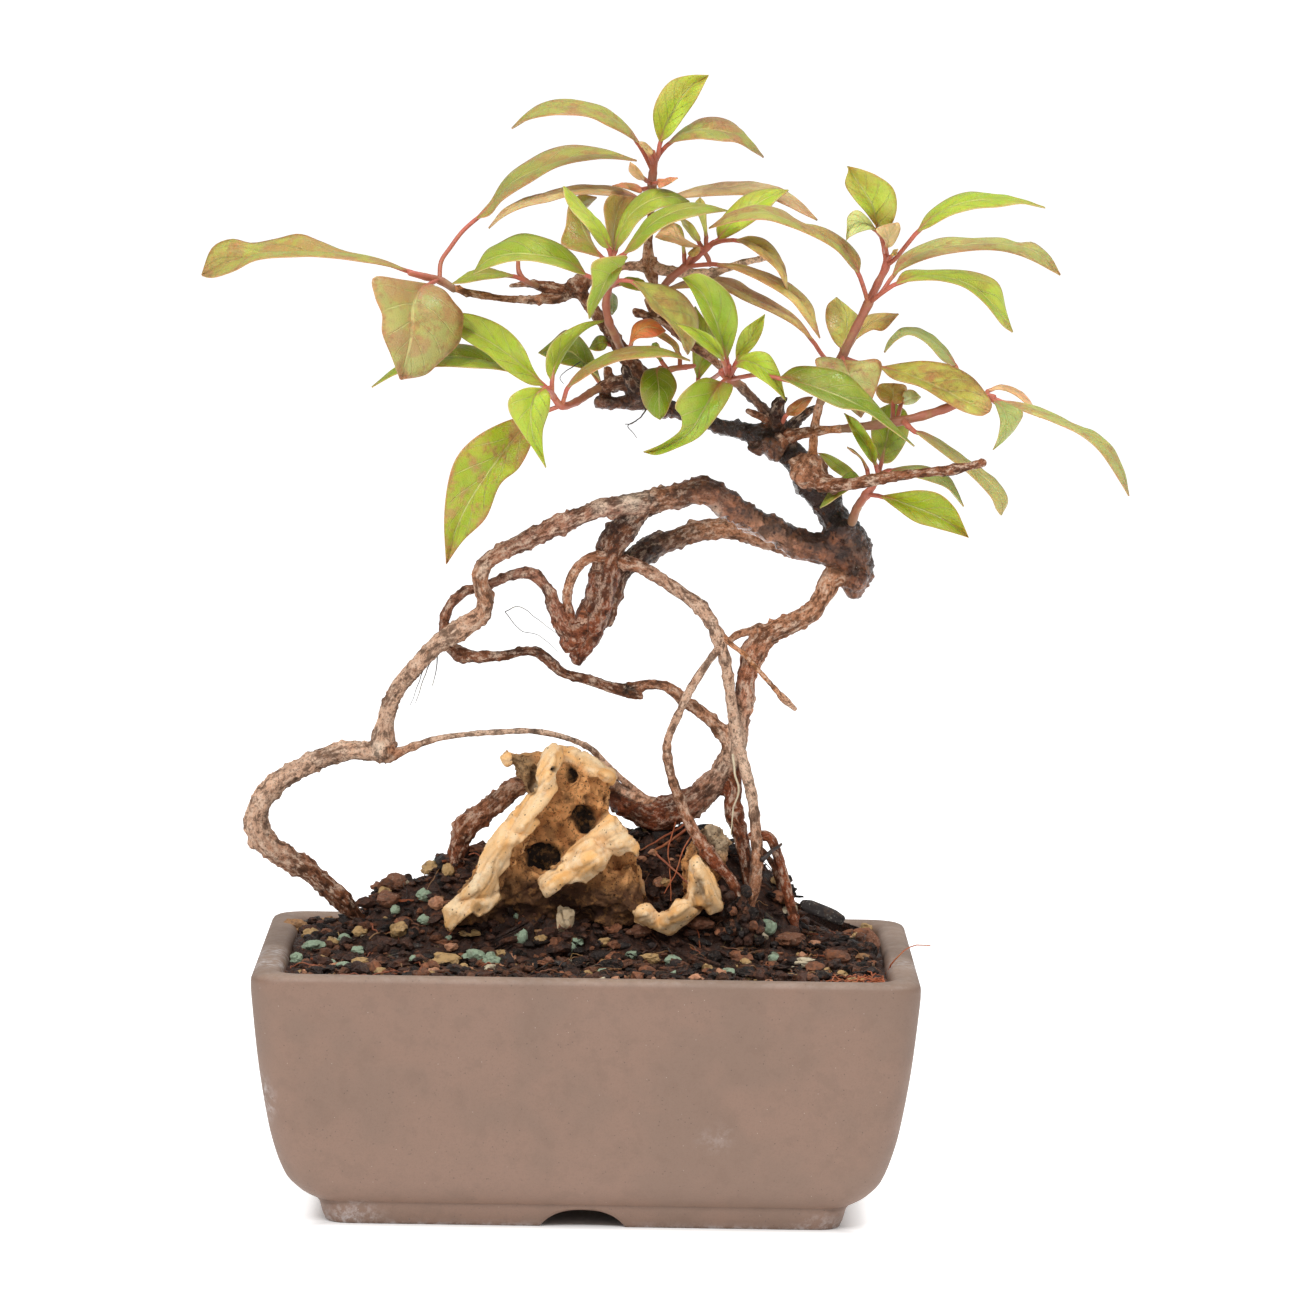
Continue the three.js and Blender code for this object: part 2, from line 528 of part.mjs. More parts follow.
        over: [[742, 265], [772, 275], [796, 288], [812, 305], [816, 322]],
        under: [[740, 272], [765, 284], [790, 300], [806, 320]],
        turn: [4, -4],
      },
      {
        rib: [[704, 249, -4], [699, 243, -2], [690, 229, 0], [679, 216, 1]],
        start: 1,
        over: [[693, 239], [684, 227]],
        under: [[700, 237], [692, 224]],
        turn: [1, -1],
      },
      {
        rib: [[706, 248, -4], [706, 238, -3], [704, 223, -1], [701, 208, 1], [700, 197, 1]],
        start: 1,
        over: [[703, 228], [697, 212], [695, 203]],
        under: [[707, 230], [706, 212], [705, 203]],
        turn: [1, -1],
      },
      {
        rib: [[686, 267, -4], [684, 255, -4], [681, 238, -3], [672, 222, -2]],
        start: 1,
        over: [[681, 243], [675, 229]],
        under: [[685, 242], [681, 227]],
        turn: [1, -1],
      },
      {
        rib: [[688, 265, -4], [690, 257, -6], [695, 251, -6], [700, 247, -6]],
        start: 1,
        over: [[688, 253], [694, 248]],
        under: [[696, 256], [700, 251]],
        turn: [1, -1],
      },
      {
        rib: [[703, 250, -4], [698, 247, -5], [686, 243, -6], [670, 237, -6], [655, 237, -6]],
        start: 1,
        over: [[684, 238], [673, 222], [662, 229]],
        under: [[686, 247], [674, 243], [662, 240]],
        turn: [2, -2],
      },
    ],
  },
  right_outer_shoot: {
    stems: [
      [[820, 403, -2, 1.35], [828, 385, -2, 1.35], [842, 357, -1, 1.4], [855, 330, -1, 1.3],
      [868, 304, -1, 1.4],
        [878, 283, -1, 1.1], [886, 266, -1, 1.2], [885, 250, -1, 0.9], [880, 232, -2, 0.75]],
    ],
    leaves: [
      {
        rib: [[868, 304, -1], [865, 292, -3], [859, 274, -5], [847, 254, -7], [822, 236, -10],
          [795, 224, -12],
          [765, 214, -13], [735, 216, -13], [708, 229, -12]],
        start: 2,
        over: [[860, 258], [845, 240], [822, 227], [800, 225], [780, 210], [760, 206], [732, 212]],
        under: [[852, 268], [836, 250], [814, 237], [790, 227], [765, 220], [735, 222]],
        turn: [5, -4],
      },
      {
        rib: [[842, 360, -1], [832, 363, 1], [823, 356, 2], [813, 341, 2], [797, 323, 2], [772, 308, 2],
          [748, 297, 2], [722, 285, 3], [690, 283, 4], [664, 290, 4]],
        start: 3,
        over: [[797, 319], [775, 302], [752, 290], [733, 279], [710, 278], [685, 282]],
        under: [[792, 324], [770, 312], [745, 301], [722, 290], [690, 288]],
        turn: [5, -4],
      },
      {
        rib: [[881, 238, -2], [878, 229, -3], [873, 208, -5], [862, 188, -6], [847, 166, -6]],
        start: 1,
        over: [[866, 213], [853, 198], [845, 184], [848, 171]],
        under: [[891, 225], [897, 207], [893, 188], [878, 176], [861, 169]],
        turn: [-2, -2],
      },
      {
        rib: [[881, 236, -2], [876, 230, -5], [862, 223, -8], [853, 226, -9], [846, 241, -9]],
        start: 1,
        over: [[868, 218], [857, 210], [848, 216], [847, 228]],
        under: [[868, 230], [858, 233], [850, 237]],
        turn: [-1, -2],
      },
      {
        rib: [[884, 254, -1], [886, 248, -4], [889, 237, -6], [894, 223, -7]],
        start: 1,
        over: [[884, 240], [876, 230], [884, 225]],
        under: [[893, 245], [900, 231], [899, 223]],
        turn: [-2, 1],
      },
      {
        rib: [[886, 262, -1], [891, 256, -3], [898, 249, -4]],
        start: 1,
        over: [[893, 251]],
        under: [[896, 255]],
        turn: [1, -1],
      },
      {
        rib: [[887, 266, -1], [895, 259, -2], [905, 247, -3], [917, 232, -4], [940, 213, -6], [970, 202, -7],
          [1008, 201, -8], [1046, 208, -8]],
        start: 3,
        over: [[927, 214], [947, 199], [968, 192], [992, 194], [1020, 199]],
        under: [[930, 227], [950, 216], [975, 209], [1000, 207], [1022, 204]],
        turn: [4, -4],
      },
      {
        rib: [[869, 304, 0], [880, 294, 2], [892, 277, 4], [905, 262, 5], [930, 251, 6], [960, 246, 7],
          [1000, 245, 7], [1032, 251, 6], [1061, 276, 4]],
        start: 2,
        over: [[900, 257], [925, 243], [950, 237], [985, 240], [1004, 239], [1019, 247], [1032, 242],
          [1050, 256]],
        under: [[905, 268], [930, 258], [960, 252], [990, 250], [1015, 254], [1035, 262], [1050, 270]],
        turn: [5, -4],
      },
      {
        rib: [[869, 305, -1], [882, 293, -3], [895, 284, -4], [920, 277, -5], [950, 279, -6], [975, 290, -6],
          [998, 312, -5], [1013, 333, -4]],
        start: 2,
        over: [[905, 271], [930, 270], [960, 270], [985, 275], [1000, 286], [1006, 310]],
        under: [[915, 281], [940, 281], [965, 288], [985, 304], [1002, 325]],
        turn: [4, -3],
      },
      {
        rib: [[842, 358, -1], [842, 350, 3], [845, 335, 5], [846, 315, 6], [836, 297, 6]],
        start: 1,
        over: [[833, 340], [826, 322], [827, 306]],
        under: [[853, 338], [860, 320], [850, 308]],
        turn: [-2, 2],
      },
      {
        rib: [[843, 356, -1], [849, 347, 4], [860, 332, 6], [876, 321, 7], [899, 314, 7]],
        start: 1,
        over: [[854, 328], [866, 316], [882, 313]],
        under: [[858, 338], [872, 330], [884, 330]],
        turn: [2, -2],
      },
      {
        rib: [[842, 358, -1], [843, 360, -4], [849, 376, -7], [855, 396, -8], [861, 418, -7]],
        start: 1,
        over: [[828, 357], [815, 360], [823, 378], [838, 397], [852, 411]],
        under: [[858, 361], [876, 359], [882, 366], [878, 384], [871, 402]],
        turn: [-1, 1],
      },
      {
        rib: [[843, 358, -1], [862, 364, -1], [880, 367, -1], [910, 376, -2], [940, 389, -5], [965, 402, -8],
          [990, 412, -9]],
        start: 2,
        over: [[902, 363], [925, 361], [950, 365], [972, 377], [985, 392], [992, 404]],
        under: [[893, 379], [920, 387], [942, 400], [962, 411], [980, 416]],
        turn: [3, -3],
      },
    ],
  },
  front_shoot: {
    stems: [
      [[737, 384, -1.2, 1.4], [729, 378, -2.2, 1.6], [722, 372, -3, 1.3]],
      [[731, 379, -2, 1.2], [728, 366, -5, 1.1]],
    ],
    leaves: [
      {
        rib: [[728, 374, -3], [727, 360, -6], [721, 338, -9], [712, 313, -11], [702, 293, -12],
          [682, 278, -12]],
        start: 1,
        over: [[716, 340], [704, 318], [695, 298], [689, 287]],
        under: [[734, 342], [738, 320], [732, 297], [716, 281], [698, 273]],
        turn: [-2, -2],
      },
      {
        rib: [[728, 376, -3], [724, 362, -8], [717, 350, -11], [706, 339, -13], [692, 330, -14],
          [675, 323, -14]],
        start: 1,
        over: [[722, 348], [712, 336], [695, 328]],
        under: [[714, 355], [702, 346], [688, 334]],
        turn: [-1, -2],
      },
      {
        rib: [[730, 376, -3], [736, 362, -4], [741, 352, -4], [752, 335, -5], [765, 314, -6]],
        start: 1,
        over: [[736, 346], [742, 331], [753, 322]],
        under: [[749, 352], [758, 341], [763, 329]],
        turn: [-1, -1],
      },
      {
        rib: [[731, 377, -4], [735, 367, -7], [744, 361, -9], [760, 366, -10], [774, 381, -10],
          [786, 401, -9]],
        start: 1,
        over: [[743, 356], [757, 351], [770, 355], [779, 372], [783, 388]],
        under: [[746, 370], [758, 378], [770, 386], [779, 394]],
        turn: [-1, -2],
      },
      {
        rib: [[728, 379, -4], [722, 382, -7], [713, 394, -10], [702, 412, -12], [690, 431, -13],
          [670, 445, -13],
          [643, 452, -12]],
        start: 1,
        over: [[703, 378], [683, 392], [675, 407], [681, 416], [680, 430], [663, 443]],
        under: [[733, 386], [727, 402], [712, 423], [698, 438], [680, 447], [658, 455]],
        turn: [-2, -1],
      },
      {
        rib: [[722, 372, -2], [710, 380, 3], [698, 381, 4], [699, 368, 5], [702, 350, 6], [701, 330, 6],
          [695, 306, 7]],
        start: 2,
        over: [[693, 364], [692, 345], [688, 322]],
        under: [[710, 366], [719, 355], [711, 330]],
        turn: [-2, 1],
      },
      {
        rib: [[730, 380, -3], [742, 377, -7], [757, 375, -9], [779, 378, -11], [815, 388, -12],
          [850, 402, -13],
          [883, 422, -13], [915, 447, -12]],
        start: 3,
        over: [[795, 367], [820, 367], [845, 373], [865, 391], [890, 420]],
        under: [[790, 383], [812, 395], [840, 408], [865, 412], [890, 429]],
        turn: [3, -4],
      },
    ],
  },
  centre_shoot: {
    stems: [
      [[650, 386, -2, 1.1], [658, 375, -4, 1.0], [672, 369, -5, 0.95], [686, 367, -4, 0.85],
      [694, 366, -3, 0.7]],
    ],
    leaves: [
      {
        rib: [[664, 372, -4], [660, 367, -6], [657, 373, -8], [659, 395, -11], [660, 420, -12]],
        start: 1,
        over: [[645, 371], [640, 386], [643, 403], [652, 415]],
        under: [[670, 371], [677, 386], [671, 402], [666, 414]],
        turn: [1, 1],
      },
      {
        rib: [[680, 368, -4], [680, 355, -3], [668, 340, -3], [643, 327, -3]],
        start: 1,
        over: [[677, 343], [660, 330]],
        under: [[672, 346], [655, 335]],
        turn: [1, -1],
      },
      {
        rib: [[668, 370, -4], [661, 361, -4], [656, 353, -4], [656, 342, -5]],
        start: 1,
        over: [[652, 353], [652, 344]],
        under: [[661, 354], [659, 345]],
        turn: [1, -1],
      },
    ],
  },
  ember_leaf: {
    stems: [],
    leaves: [
      {
        rib: [[633, 356, 0], [630, 346, -3], [634, 337, -4], [645, 328, -5], [666, 331, -5]],
        start: 1,
        over: [[633, 326], [645, 319], [656, 321]],
        under: [[637, 339], [648, 338], [658, 336]],
        turn: [2, -1],
      },
    ],
  },
  lower_left_shoot: {
    stems: [
      [[601, 387, -1, 1.3], [590, 393, -3, 1.25], [576, 402, -6, 1.2], [562, 406, -9, 1.2],
      [553, 396, -10, 1.0],
        [549, 388, -10, 0.9]],
    ],
    leaves: [
      {
        rib: [[550, 391, -10], [539, 383, -7], [522, 374, -4], [495, 364, -2], [458, 357, -1], [425, 361, 0],
          [395, 371, 0], [371, 388, -1]],
        start: 1,
        over: [[505, 362], [480, 348], [455, 344], [425, 350], [398, 366]],
        under: [[505, 371], [470, 368], [435, 367], [400, 373]],
        turn: [3, -4],
      },
      {
        rib: [[552, 394, -10], [545, 386, -11], [532, 374, -11], [512, 357, -10], [488, 341, -6],
          [463, 328, 0],
          [440, 318, 2]],
        start: 1,
        over: [[534, 370], [524, 348], [508, 330], [488, 319], [463, 313]],
        under: [[528, 384], [505, 370], [487, 354], [462, 338]],
        turn: [-1, -2],
      },
      {
        rib: [[551, 395, -10], [552, 383, -10], [555, 364, -9], [566, 346, -8], [585, 330, -6],
          [605, 320, -4]],
        start: 1,
        over: [[546, 370], [548, 350], [560, 335], [582, 323]],
        under: [[558, 368], [568, 350], [580, 335], [594, 325]],
        turn: [-1, 1],
      },
      {
        rib: [[556, 400, -10], [551, 391, -13], [545, 388, -15], [534, 397, -17], [530, 414, -18],
          [533, 438, -18],
          [546, 468, -16]],
        start: 2,
        over: [[525, 388], [510, 397], [509, 411], [520, 430], [534, 450]],
        under: [[550, 396], [549, 411], [543, 430], [543, 450]],
        turn: [-2, 1],
      },
      {
        rib: [[560, 408, -9], [547, 411, -9], [534, 418, -9], [518, 434, -10], [495, 463, -12],
          [470, 500, -13],
          [455, 532, -13], [446, 565, -11]],
        start: 2,
        over: [[512, 419], [480, 434], [458, 455], [448, 482], [444, 520]],
        under: [[532, 442], [519, 468], [500, 485], [486, 518], [463, 541]],
        turn: [-2, -1],
      },
      {
        rib: [[562, 405, -9], [567, 388, -11], [580, 374, -12], [600, 362, -13], [625, 354, -14],
          [655, 353, -14],
          [691, 361, -13]],
        start: 1,
        over: [[575, 377], [592, 362], [615, 351], [642, 347], [668, 350]],
        under: [[578, 382], [597, 370], [620, 361], [645, 358], [670, 357]],
        turn: [4, -4],
      },
    ],
  },
  back_leaf: {
    stems: [],
    leaves: [
      {
        rib: [[611, 387, 0], [601, 384, 3], [588, 368, 5], [568, 352, 5], [538, 353, 6]],
        start: 1,
        over: [[594, 358], [581, 338], [566, 330], [551, 342]],
        under: [[596, 374], [580, 368], [558, 363]],
        turn: [3, -3],
      },
    ],
  },
  crown_leaf: {
    stems: [],
    leaves: [
      {
        rib: [[617, 347, 3], [608, 344, 2], [600, 343, 0], [589, 349, -1]],
        start: 1,
        over: [[604, 336], [596, 337]],
        under: [[604, 350], [596, 351]],
        turn: [2, -1],
      },
    ],
  },
  rust_leaf: {
    stems: [],
    leaves: [
      {
        rib: [[782, 423, -1.2], [786, 415, -5], [795, 409, -7], [804, 402, -8], [813, 397, -8]],
        start: 1,
        over: [[788, 407], [797, 400], [806, 397]],
        under: [[796, 416], [804, 410], [810, 402]],
        turn: [1, -1],
      },
    ],
  },
  far_right_shoot: {
    stems: [
      [[840, 429, -2, 1.3], [850, 428, -2, 1.3], [875, 425, -2, 1.3], [900, 421, -2, 1.3],
      [922, 416, -2, 1.3],
        [944, 409, -2, 1.3], [960, 403, -2, 1.3], [975, 399, -1, 1.2], [988, 397, 0, 1.1],
        [994, 397, 0, 0.9]],
      [[960, 403, -2, 1.0], [961, 388, 2, 0.8], [957, 372, 4, 0.75]],
      [[905, 420, -2, 1.1], [908, 426, -4, 0.9], [915, 432, -4, 0.75]],
    ],
    leaves: [
      {
        rib: [[906, 422, -4], [914, 431, -4], [928, 437, -3], [948, 450, -2], [970, 467, -2], [990, 484, -3],
          [1001, 500, -4], [1001, 516, -4]],
        start: 1,
        over: [[926, 433], [950, 447], [972, 464], [997, 481], [1008, 500]],
        under: [[925, 440], [946, 456], [970, 475], [990, 496], [996, 509]],
        turn: [4, -3],
      },
      {
        rib: [[892, 422, -1], [893, 412, 1], [893, 404, 2], [893, 394, 3], [894, 383, 3]],
        start: 2,
        over: [[883, 402], [876, 393], [880, 384]],
        under: [[901, 403], [907, 392], [905, 385]],
        turn: [-1, -1],
      },
      {
        rib: [[893, 412, 1], [901, 404, 3], [910, 398, 4], [921, 397, 4]],
        start: 1,
        over: [[904, 392], [913, 390]],
        under: [[906, 405], [915, 403]],
        turn: [-1, 1],
      },
      {
        rib: [[959, 378, 4], [956, 366, 4], [945, 353, 4], [930, 340, 3], [912, 333, 2], [897, 338, 1],
          [884, 353, 0]],
        start: 1,
        over: [[946, 349], [930, 334], [912, 329], [899, 331], [888, 342]],
        under: [[943, 361], [926, 343], [910, 335], [897, 340]],
        turn: [4, -4],
      },
      {
        rib: [[989, 397, 0], [1000, 401, 0], [1025, 407, 0], [1055, 418, 0], [1080, 431, 0], [1104, 448, 0],
          [1120, 471, 1], [1129, 497, 2]],
        start: 1,
        over: [[1025, 404], [1050, 412], [1075, 427], [1096, 433], [1113, 449], [1124, 472]],
        under: [[1025, 412], [1052, 422], [1080, 435], [1100, 452], [1117, 477]],
        turn: [4, -4],
      },
      {
        rib: [[988, 397, 0], [987, 391, 2], [1002, 387, 4], [1020, 395, 5], [1040, 418, 6]],
        start: 1,
        over: [[1003, 385], [1022, 393]],
        under: [[1002, 390], [1019, 398]],
        turn: [2, -2],
      },
      {
        rib: [[990, 397, 0], [993, 400, -3], [1004, 411, -6], [1006, 427, -7], [993, 450, -7]],
        start: 1,
        over: [[1006, 403], [1023, 412], [1016, 428], [1004, 441]],
        under: [[997, 410], [1000, 422], [998, 437]],
        turn: [1, -1],
      },
    ],
  },
  lower_right_shoot: {
    stems: [
      [[852, 522, -1, 1.5], [857, 508, -3, 1.3], [866, 495, -5, 1.4], [873, 486, -5, 1.1],
      [879, 473, -4, 1.0]],
    ],
    leaves: [
      {
        rib: [[879, 475, -4], [881, 464, -2], [886, 442, 3], [890, 421, 6], [893, 402, 8]],
        start: 1,
        over: [[875, 453], [871, 433], [874, 413]],
        under: [[894, 460], [908, 436], [907, 413]],
        turn: [2, 2],
      },
      {
        rib: [[878, 475, -4], [876, 466, -5], [868, 449, -7], [858, 432, -8], [844, 413, -8]],
        start: 1,
        over: [[867, 457], [856, 440], [849, 425]],
        under: [[877, 451], [868, 434], [857, 420]],
        turn: [-2, -2],
      },
      {
        rib: [[867, 495, -5], [880, 496, -7], [900, 502, -9], [925, 511, -11], [945, 521, -12],
          [969, 538, -12]],
        start: 1,
        over: [[897, 493], [920, 490], [940, 494], [955, 508], [963, 524]],
        under: [[895, 508], [915, 522], [935, 528], [953, 533]],
        turn: [-1, -3],
      },
      {
        rib: [[879, 475, -4], [889, 470, -2], [915, 471, -1], [940, 480, -1], [964, 507, 0]],
        start: 1,
        over: [[905, 466], [926, 466], [948, 476], [957, 490]],
        under: [[905, 475], [928, 481], [948, 489]],
        turn: [2, -1],
      },
      {
        rib: [[873, 486, -5], [862, 480, -4], [847, 484, -4], [834, 494, -5], [820, 508, -6]],
        start: 1,
        over: [[852, 471], [838, 481], [827, 495]],
        under: [[852, 488], [838, 497], [828, 504]],
        turn: [2, -2],
      },
      {
        rib: [[872, 486, -5], [860, 479, -2], [846, 472, 2], [833, 463, 5], [818, 453, 7]],
        start: 1,
        over: [[850, 467], [838, 459], [827, 454]],
        under: [[846, 478], [834, 471], [825, 462]],
        turn: [1, -1],
      },
      {
        rib: [[871, 488, -5], [867, 470, -4], [862, 460, -6], [856, 453, -8], [847, 447, -9]],
        start: 1,
        over: [[861, 458], [854, 450]],
        under: [[864, 461], [857, 454]],
        turn: [1, -1],
      },
    ],
  },
};

// The weathered rock is built of broken shards. Each has an outline and its front ridge
// (column, row), the depths of outline, ridge and back, and how much the back shrinks.
const SHARDS = [
  { outline: [[545, 750], [553, 744], [563, 746], [560, 790], [540, 798], [533, 776]],
    ridge: [[553, 755], [546, 785]], depth: [-14, -19, -4], shrink: 0.8 },
  { outline: [[536, 786], [557, 784], [550, 812], [536, 838], [500, 834], [503, 822]],
    ridge: [[540, 805], [520, 828]], depth: [-15, -21, -4], shrink: 0.8 },
  { outline: [[502, 824], [536, 836], [512, 858], [498, 902], [476, 905], [443, 908], [466, 888], [482, 858]],
    ridge: [[500, 845], [475, 890]], depth: [-17, -23, -6], shrink: 0.8 },
  { outline: [[478, 890], [500, 895], [490, 926], [447, 931], [443, 907]], ridge: [[470, 915]],
    depth: [-18, -24, -8], shrink: 0.8 },
  { outline: [[547, 746], [575, 746], [600, 765], [616, 772], [611, 800], [608, 830], [560, 860], [510, 842]],
    ridge: [[585, 775], [560, 800]], depth: [-5, -12, 7], shrink: 0.7 },
  { outline: [[592, 768], [612, 770], [617, 777], [610, 790], [598, 784]], ridge: [[607, 776]],
    depth: [-8, -15, 0], shrink: 0.8 },
  { outline: [[500, 838], [600, 824], [636, 848], [652, 905], [656, 928], [560, 938], [455, 932]],
    ridge: [[540, 880], [610, 890]], depth: [-8, -16, 8], shrink: 0.75 },
  { outline: [[599, 824], [611, 812], [624, 828], [638, 842], [639, 858], [612, 856], [592, 852], [588, 836]],
    ridge: [[611, 832], [620, 845]], depth: [-17, -23, -6], shrink: 0.8 },
  { outline: [[573, 848], [592, 834], [610, 852], [613, 864], [600, 873], [588, 883], [560, 884], [548, 870]],
    ridge: [[585, 860], [600, 862]], depth: [-19, -25, -8], shrink: 0.85 },
  { outline: [[548, 868], [568, 852], [585, 884], [564, 889], [549, 904], [540, 900], [538, 882]],
    ridge: [[556, 878], [550, 890]], depth: [-20, -26, -10], shrink: 0.85 },
  { outline: [[600, 870], [632, 860], [645, 890], [656, 925], [610, 932], [572, 915], [566, 893]],
    ridge: [[612, 895], [630, 905]], depth: [-14, -20, -2], shrink: 0.85 },
  { outline: [[622, 906], [648, 903], [658, 914], [660, 930], [640, 924], [628, 916]], ridge: [[645, 914]],
    depth: [-20, -26, -8], shrink: 0.85 },
  { outline: [[657, 916], [675, 898], [693, 892], [697, 914], [682, 925], [670, 935], [658, 930]],
    ridge: [[672, 915], [685, 908]], depth: [-20, -26, -8], shrink: 0.85 },
  { outline: [[689, 862], [695, 853], [706, 862], [718, 884], [723, 910], [700, 916], [688, 900]],
    ridge: [[698, 870], [706, 893]], depth: [-17, -23, -6], shrink: 0.8 },
  { outline: [[676, 862], [690, 835], [706, 820], [722, 823], [736, 842], [726, 880], [700, 900], [680, 900]],
    ridge: [[706, 836], [700, 866]], depth: [-6, -10, 6], shrink: 0.8 },
  { outline: [[508, 752], [530, 752], [548, 749], [540, 782], [527, 799], [514, 777]], ridge: [[530, 768]],
    depth: [-6, -11, 1], shrink: 0.8 },
  { outline: [[501, 757], [507, 751], [518, 754], [516, 770], [507, 766]], ridge: [[507, 758]],
    depth: [-7, -10, -2], shrink: 0.7 },
];
// Hollows worn into the rock: column, row, depth, radius.
const HOLLOWS = [
  [583, 821, -12, 4.2], [541, 853, -14, 5.2], [569, 775, -12, 2.6], [575, 905, -20, 4.2],
  [520, 912, -18, 4.5],
];

// Colour and roughness
const BARK = [0x6b4a38, 0.85];
const POT_CLAY = [0x97806f, 0.8];
const SOIL_BROWN = [0x2c211c, 1];
const STONE_CREAM = [0xd9bf93, 0.9];
const LEAF_GREEN = [0x8da33c, 0.5];
const LEAF_OLIVE = [0x96904a, 0.5];
const LEAF_EMBER = [0xc9703a, 0.5];
const SHOOT_COLOURS = {
  left_shoot: LEAF_OLIVE,
  top_shoot: LEAF_OLIVE,
  right_inner_shoot: LEAF_OLIVE,
  ember_leaf: LEAF_EMBER,
  rust_leaf: LEAF_EMBER,
};

// A repeatable draw between 0 and 1.
function makeDraw(seed) {
  let state = seed;
  return () => {
    state = (Math.imul(state, 1664525) + 1013904223) >>> 0;
    return state / 4294967296;
  };
}

function toSolid(geometry) {
  geometry.deleteAttribute('normal');
  geometry.deleteAttribute('uv');
  const welded = mergeVertices(geometry, 1e-4);
  return new wasm.Manifold(new wasm.Mesh({
    numProp: 3,
    vertProperties: new Float32Array(welded.attributes.position.array),
    triVerts: new Uint32Array(welded.index.array),
  }));
}

// The largest body of a solid, without the loose scraps that cutting leaves.
function largest(solid) {
  const bodies = solid.decompose();
  bodies.sort((a, b) => b.volume() - a.volume());
  return bodies[0];
}

function join(solids) {
  return solids.reduce((whole, solid) => whole.add(solid));
}

function toMesh(name, solid, [color, roughness]) {
  const skin = solid.getMesh();
  const geometry = new THREE.BufferGeometry();
  geometry.setAttribute('position', new THREE.BufferAttribute(new Float32Array(skin.vertProperties), 3));
  geometry.setIndex(new THREE.BufferAttribute(new Uint32Array(skin.triVerts), 1));
  geometry.computeVertexNormals();
  const mesh = new THREE.Mesh(geometry, new THREE.MeshStandardMaterial({ color, roughness, metalness: 0 }));
  mesh.name = name;
  return mesh;
}

// A closed cylinder whose every point is moved to pointAt(turn, along, reach): turn runs once round
// the cylinder, along from one end to the other, and reach is 0 at a cap's middle and 1 at its side.
function moulded(sides, steps, pointAt) {
  const geometry = new THREE.CylinderGeometry(1, 1, 1, sides, steps);
  const position = geometry.attributes.position;
  for (let i = 0; i < position.count; i += 1) {
    const x = position.getX(i);
    const z = position.getZ(i);
    const reach = Math.round(Math.hypot(x, z));
    const turn = Math.round((Math.atan2(x, z) / (2 * Math.PI) + 1) * sides) % sides;
    const point = pointAt(turn / sides, position.getY(i) + 0.5, reach);
    position.setXYZ(i, point.x, point.y, point.z);
  }
  return toSolid(geometry);
}

function interpolate(table, value) {
  const last = table[table.length - 1];
  if (value <= table[0][0]) {
    return table[0][1];
  }
  for (let i = 1; i < table.length; i += 1) {
    if (value <= table[i][0]) {
      const share = (value - table[i - 1][0]) / (table[i][0] - table[i - 1][0]);
      return table[i - 1][1] + share * (table[i][1] - table[i - 1][1]);
    }
  }
  return last[1];
}

// One rounded rectangle of a wall, at a turn from 0 to 1.
function roundedPoint(halfX, halfY, corner, turn, z, reach) {
  const perCorner = CORNER_STEPS + 1;
  const index = Math.round(turn * 4 * perCorner);
  const quarter = Math.floor(index / perCorner) % 4;
  const angle = ((quarter + (index % perCorner) / CORNER_STEPS) * Math.PI) / 2;
  const signX = quarter === 0 || quarter === 3 ? 1 : -1;
  const signY = quarter < 2 ? 1 : -1;
  const x = signX * (halfX - corner) + corner * Math.cos(angle);
  const y = signY * (halfY - corner) + corner * Math.sin(angle);
  return new THREE.Vector3(x * reach, y * reach, z);
}

// A block with the pot's outline, level by level, wider all round by growth.
function walledSolid(levels, growth) {
  const sides = 4 * (CORNER_STEPS + 1);
  return moulded(sides, levels.length - 1, (turn, along, reach) => {
    const [z, endInset, frontInset] = levels[Math.round(along * (levels.length - 1))];
    const halfX = RIM_LENGTH / 2 - endInset + growth;
    const halfY = RIM_DEPTH / 2 - frontInset + growth;
    return roundedPoint(halfX, halfY, POT_CORNER, turn, z, reach);
  });
}

function smoothCurve(points) {
  return new THREE.CatmullRomCurve3(points, false, 'catmullrom', 0.5);
}

// A limb: a tube through its stations with a radius of its own at each, both ends closed.
// growth widens it and lengthens it at both ends.
function limb(stations, sides, roughness, seed, step, growth = 0) {
  const spine = smoothCurve(stations.map(([column, row, depth]) => place(column, row, depth)));
  const girth = smoothCurve(stations.map((station) => new THREE.Vector3(station[3], 0, 0)));
  const draw = makeDraw(seed);
  const steps = Math.max(LEAST_STEPS, Math.round(spine.getLength() / step));
  const centres = [];
  const rings = [];
  let across = new THREE.Vector3(0, 1, 0);
  for (let k = 0; k <= steps; k += 1) {
    const share = spine.getUtoTmapping(k / steps);
    const tangent = spine.getTangent(share);
    const beyond = (k === 0 ? -growth : 0) + (k === steps ? growth : 0);
    centres.push(spine.getPoint(share).addScaledVector(tangent, beyond));
    across = across.clone().addScaledVector(tangent, -across.dot(tangent)).normalize();
    const other = new THREE.Vector3().crossVectors(across, tangent);
    const radius = girth.getPoint(share).x;
    const ring = [];
    for (let side = 0; side < sides; side += 1) {
      const swell = 1 + roughness * (draw() - 0.5);
      ring.push({ across: across.clone(), other, radius: radius * swell + growth });
    }
    rings.push(ring);
  }
  return moulded(sides, steps, (turn, along, reach) => {
    const k = Math.round(along * steps);
    const { across: first, other: second, radius } = rings[k][Math.round(turn * sides) % sides];
    const angle = turn * 2 * Math.PI;
    return centres[k].clone()
      .addScaledVector(second, Math.cos(angle) * radius * reach)
      .addScaledVector(first, Math.sin(angle) * radius * reach);
  });
}

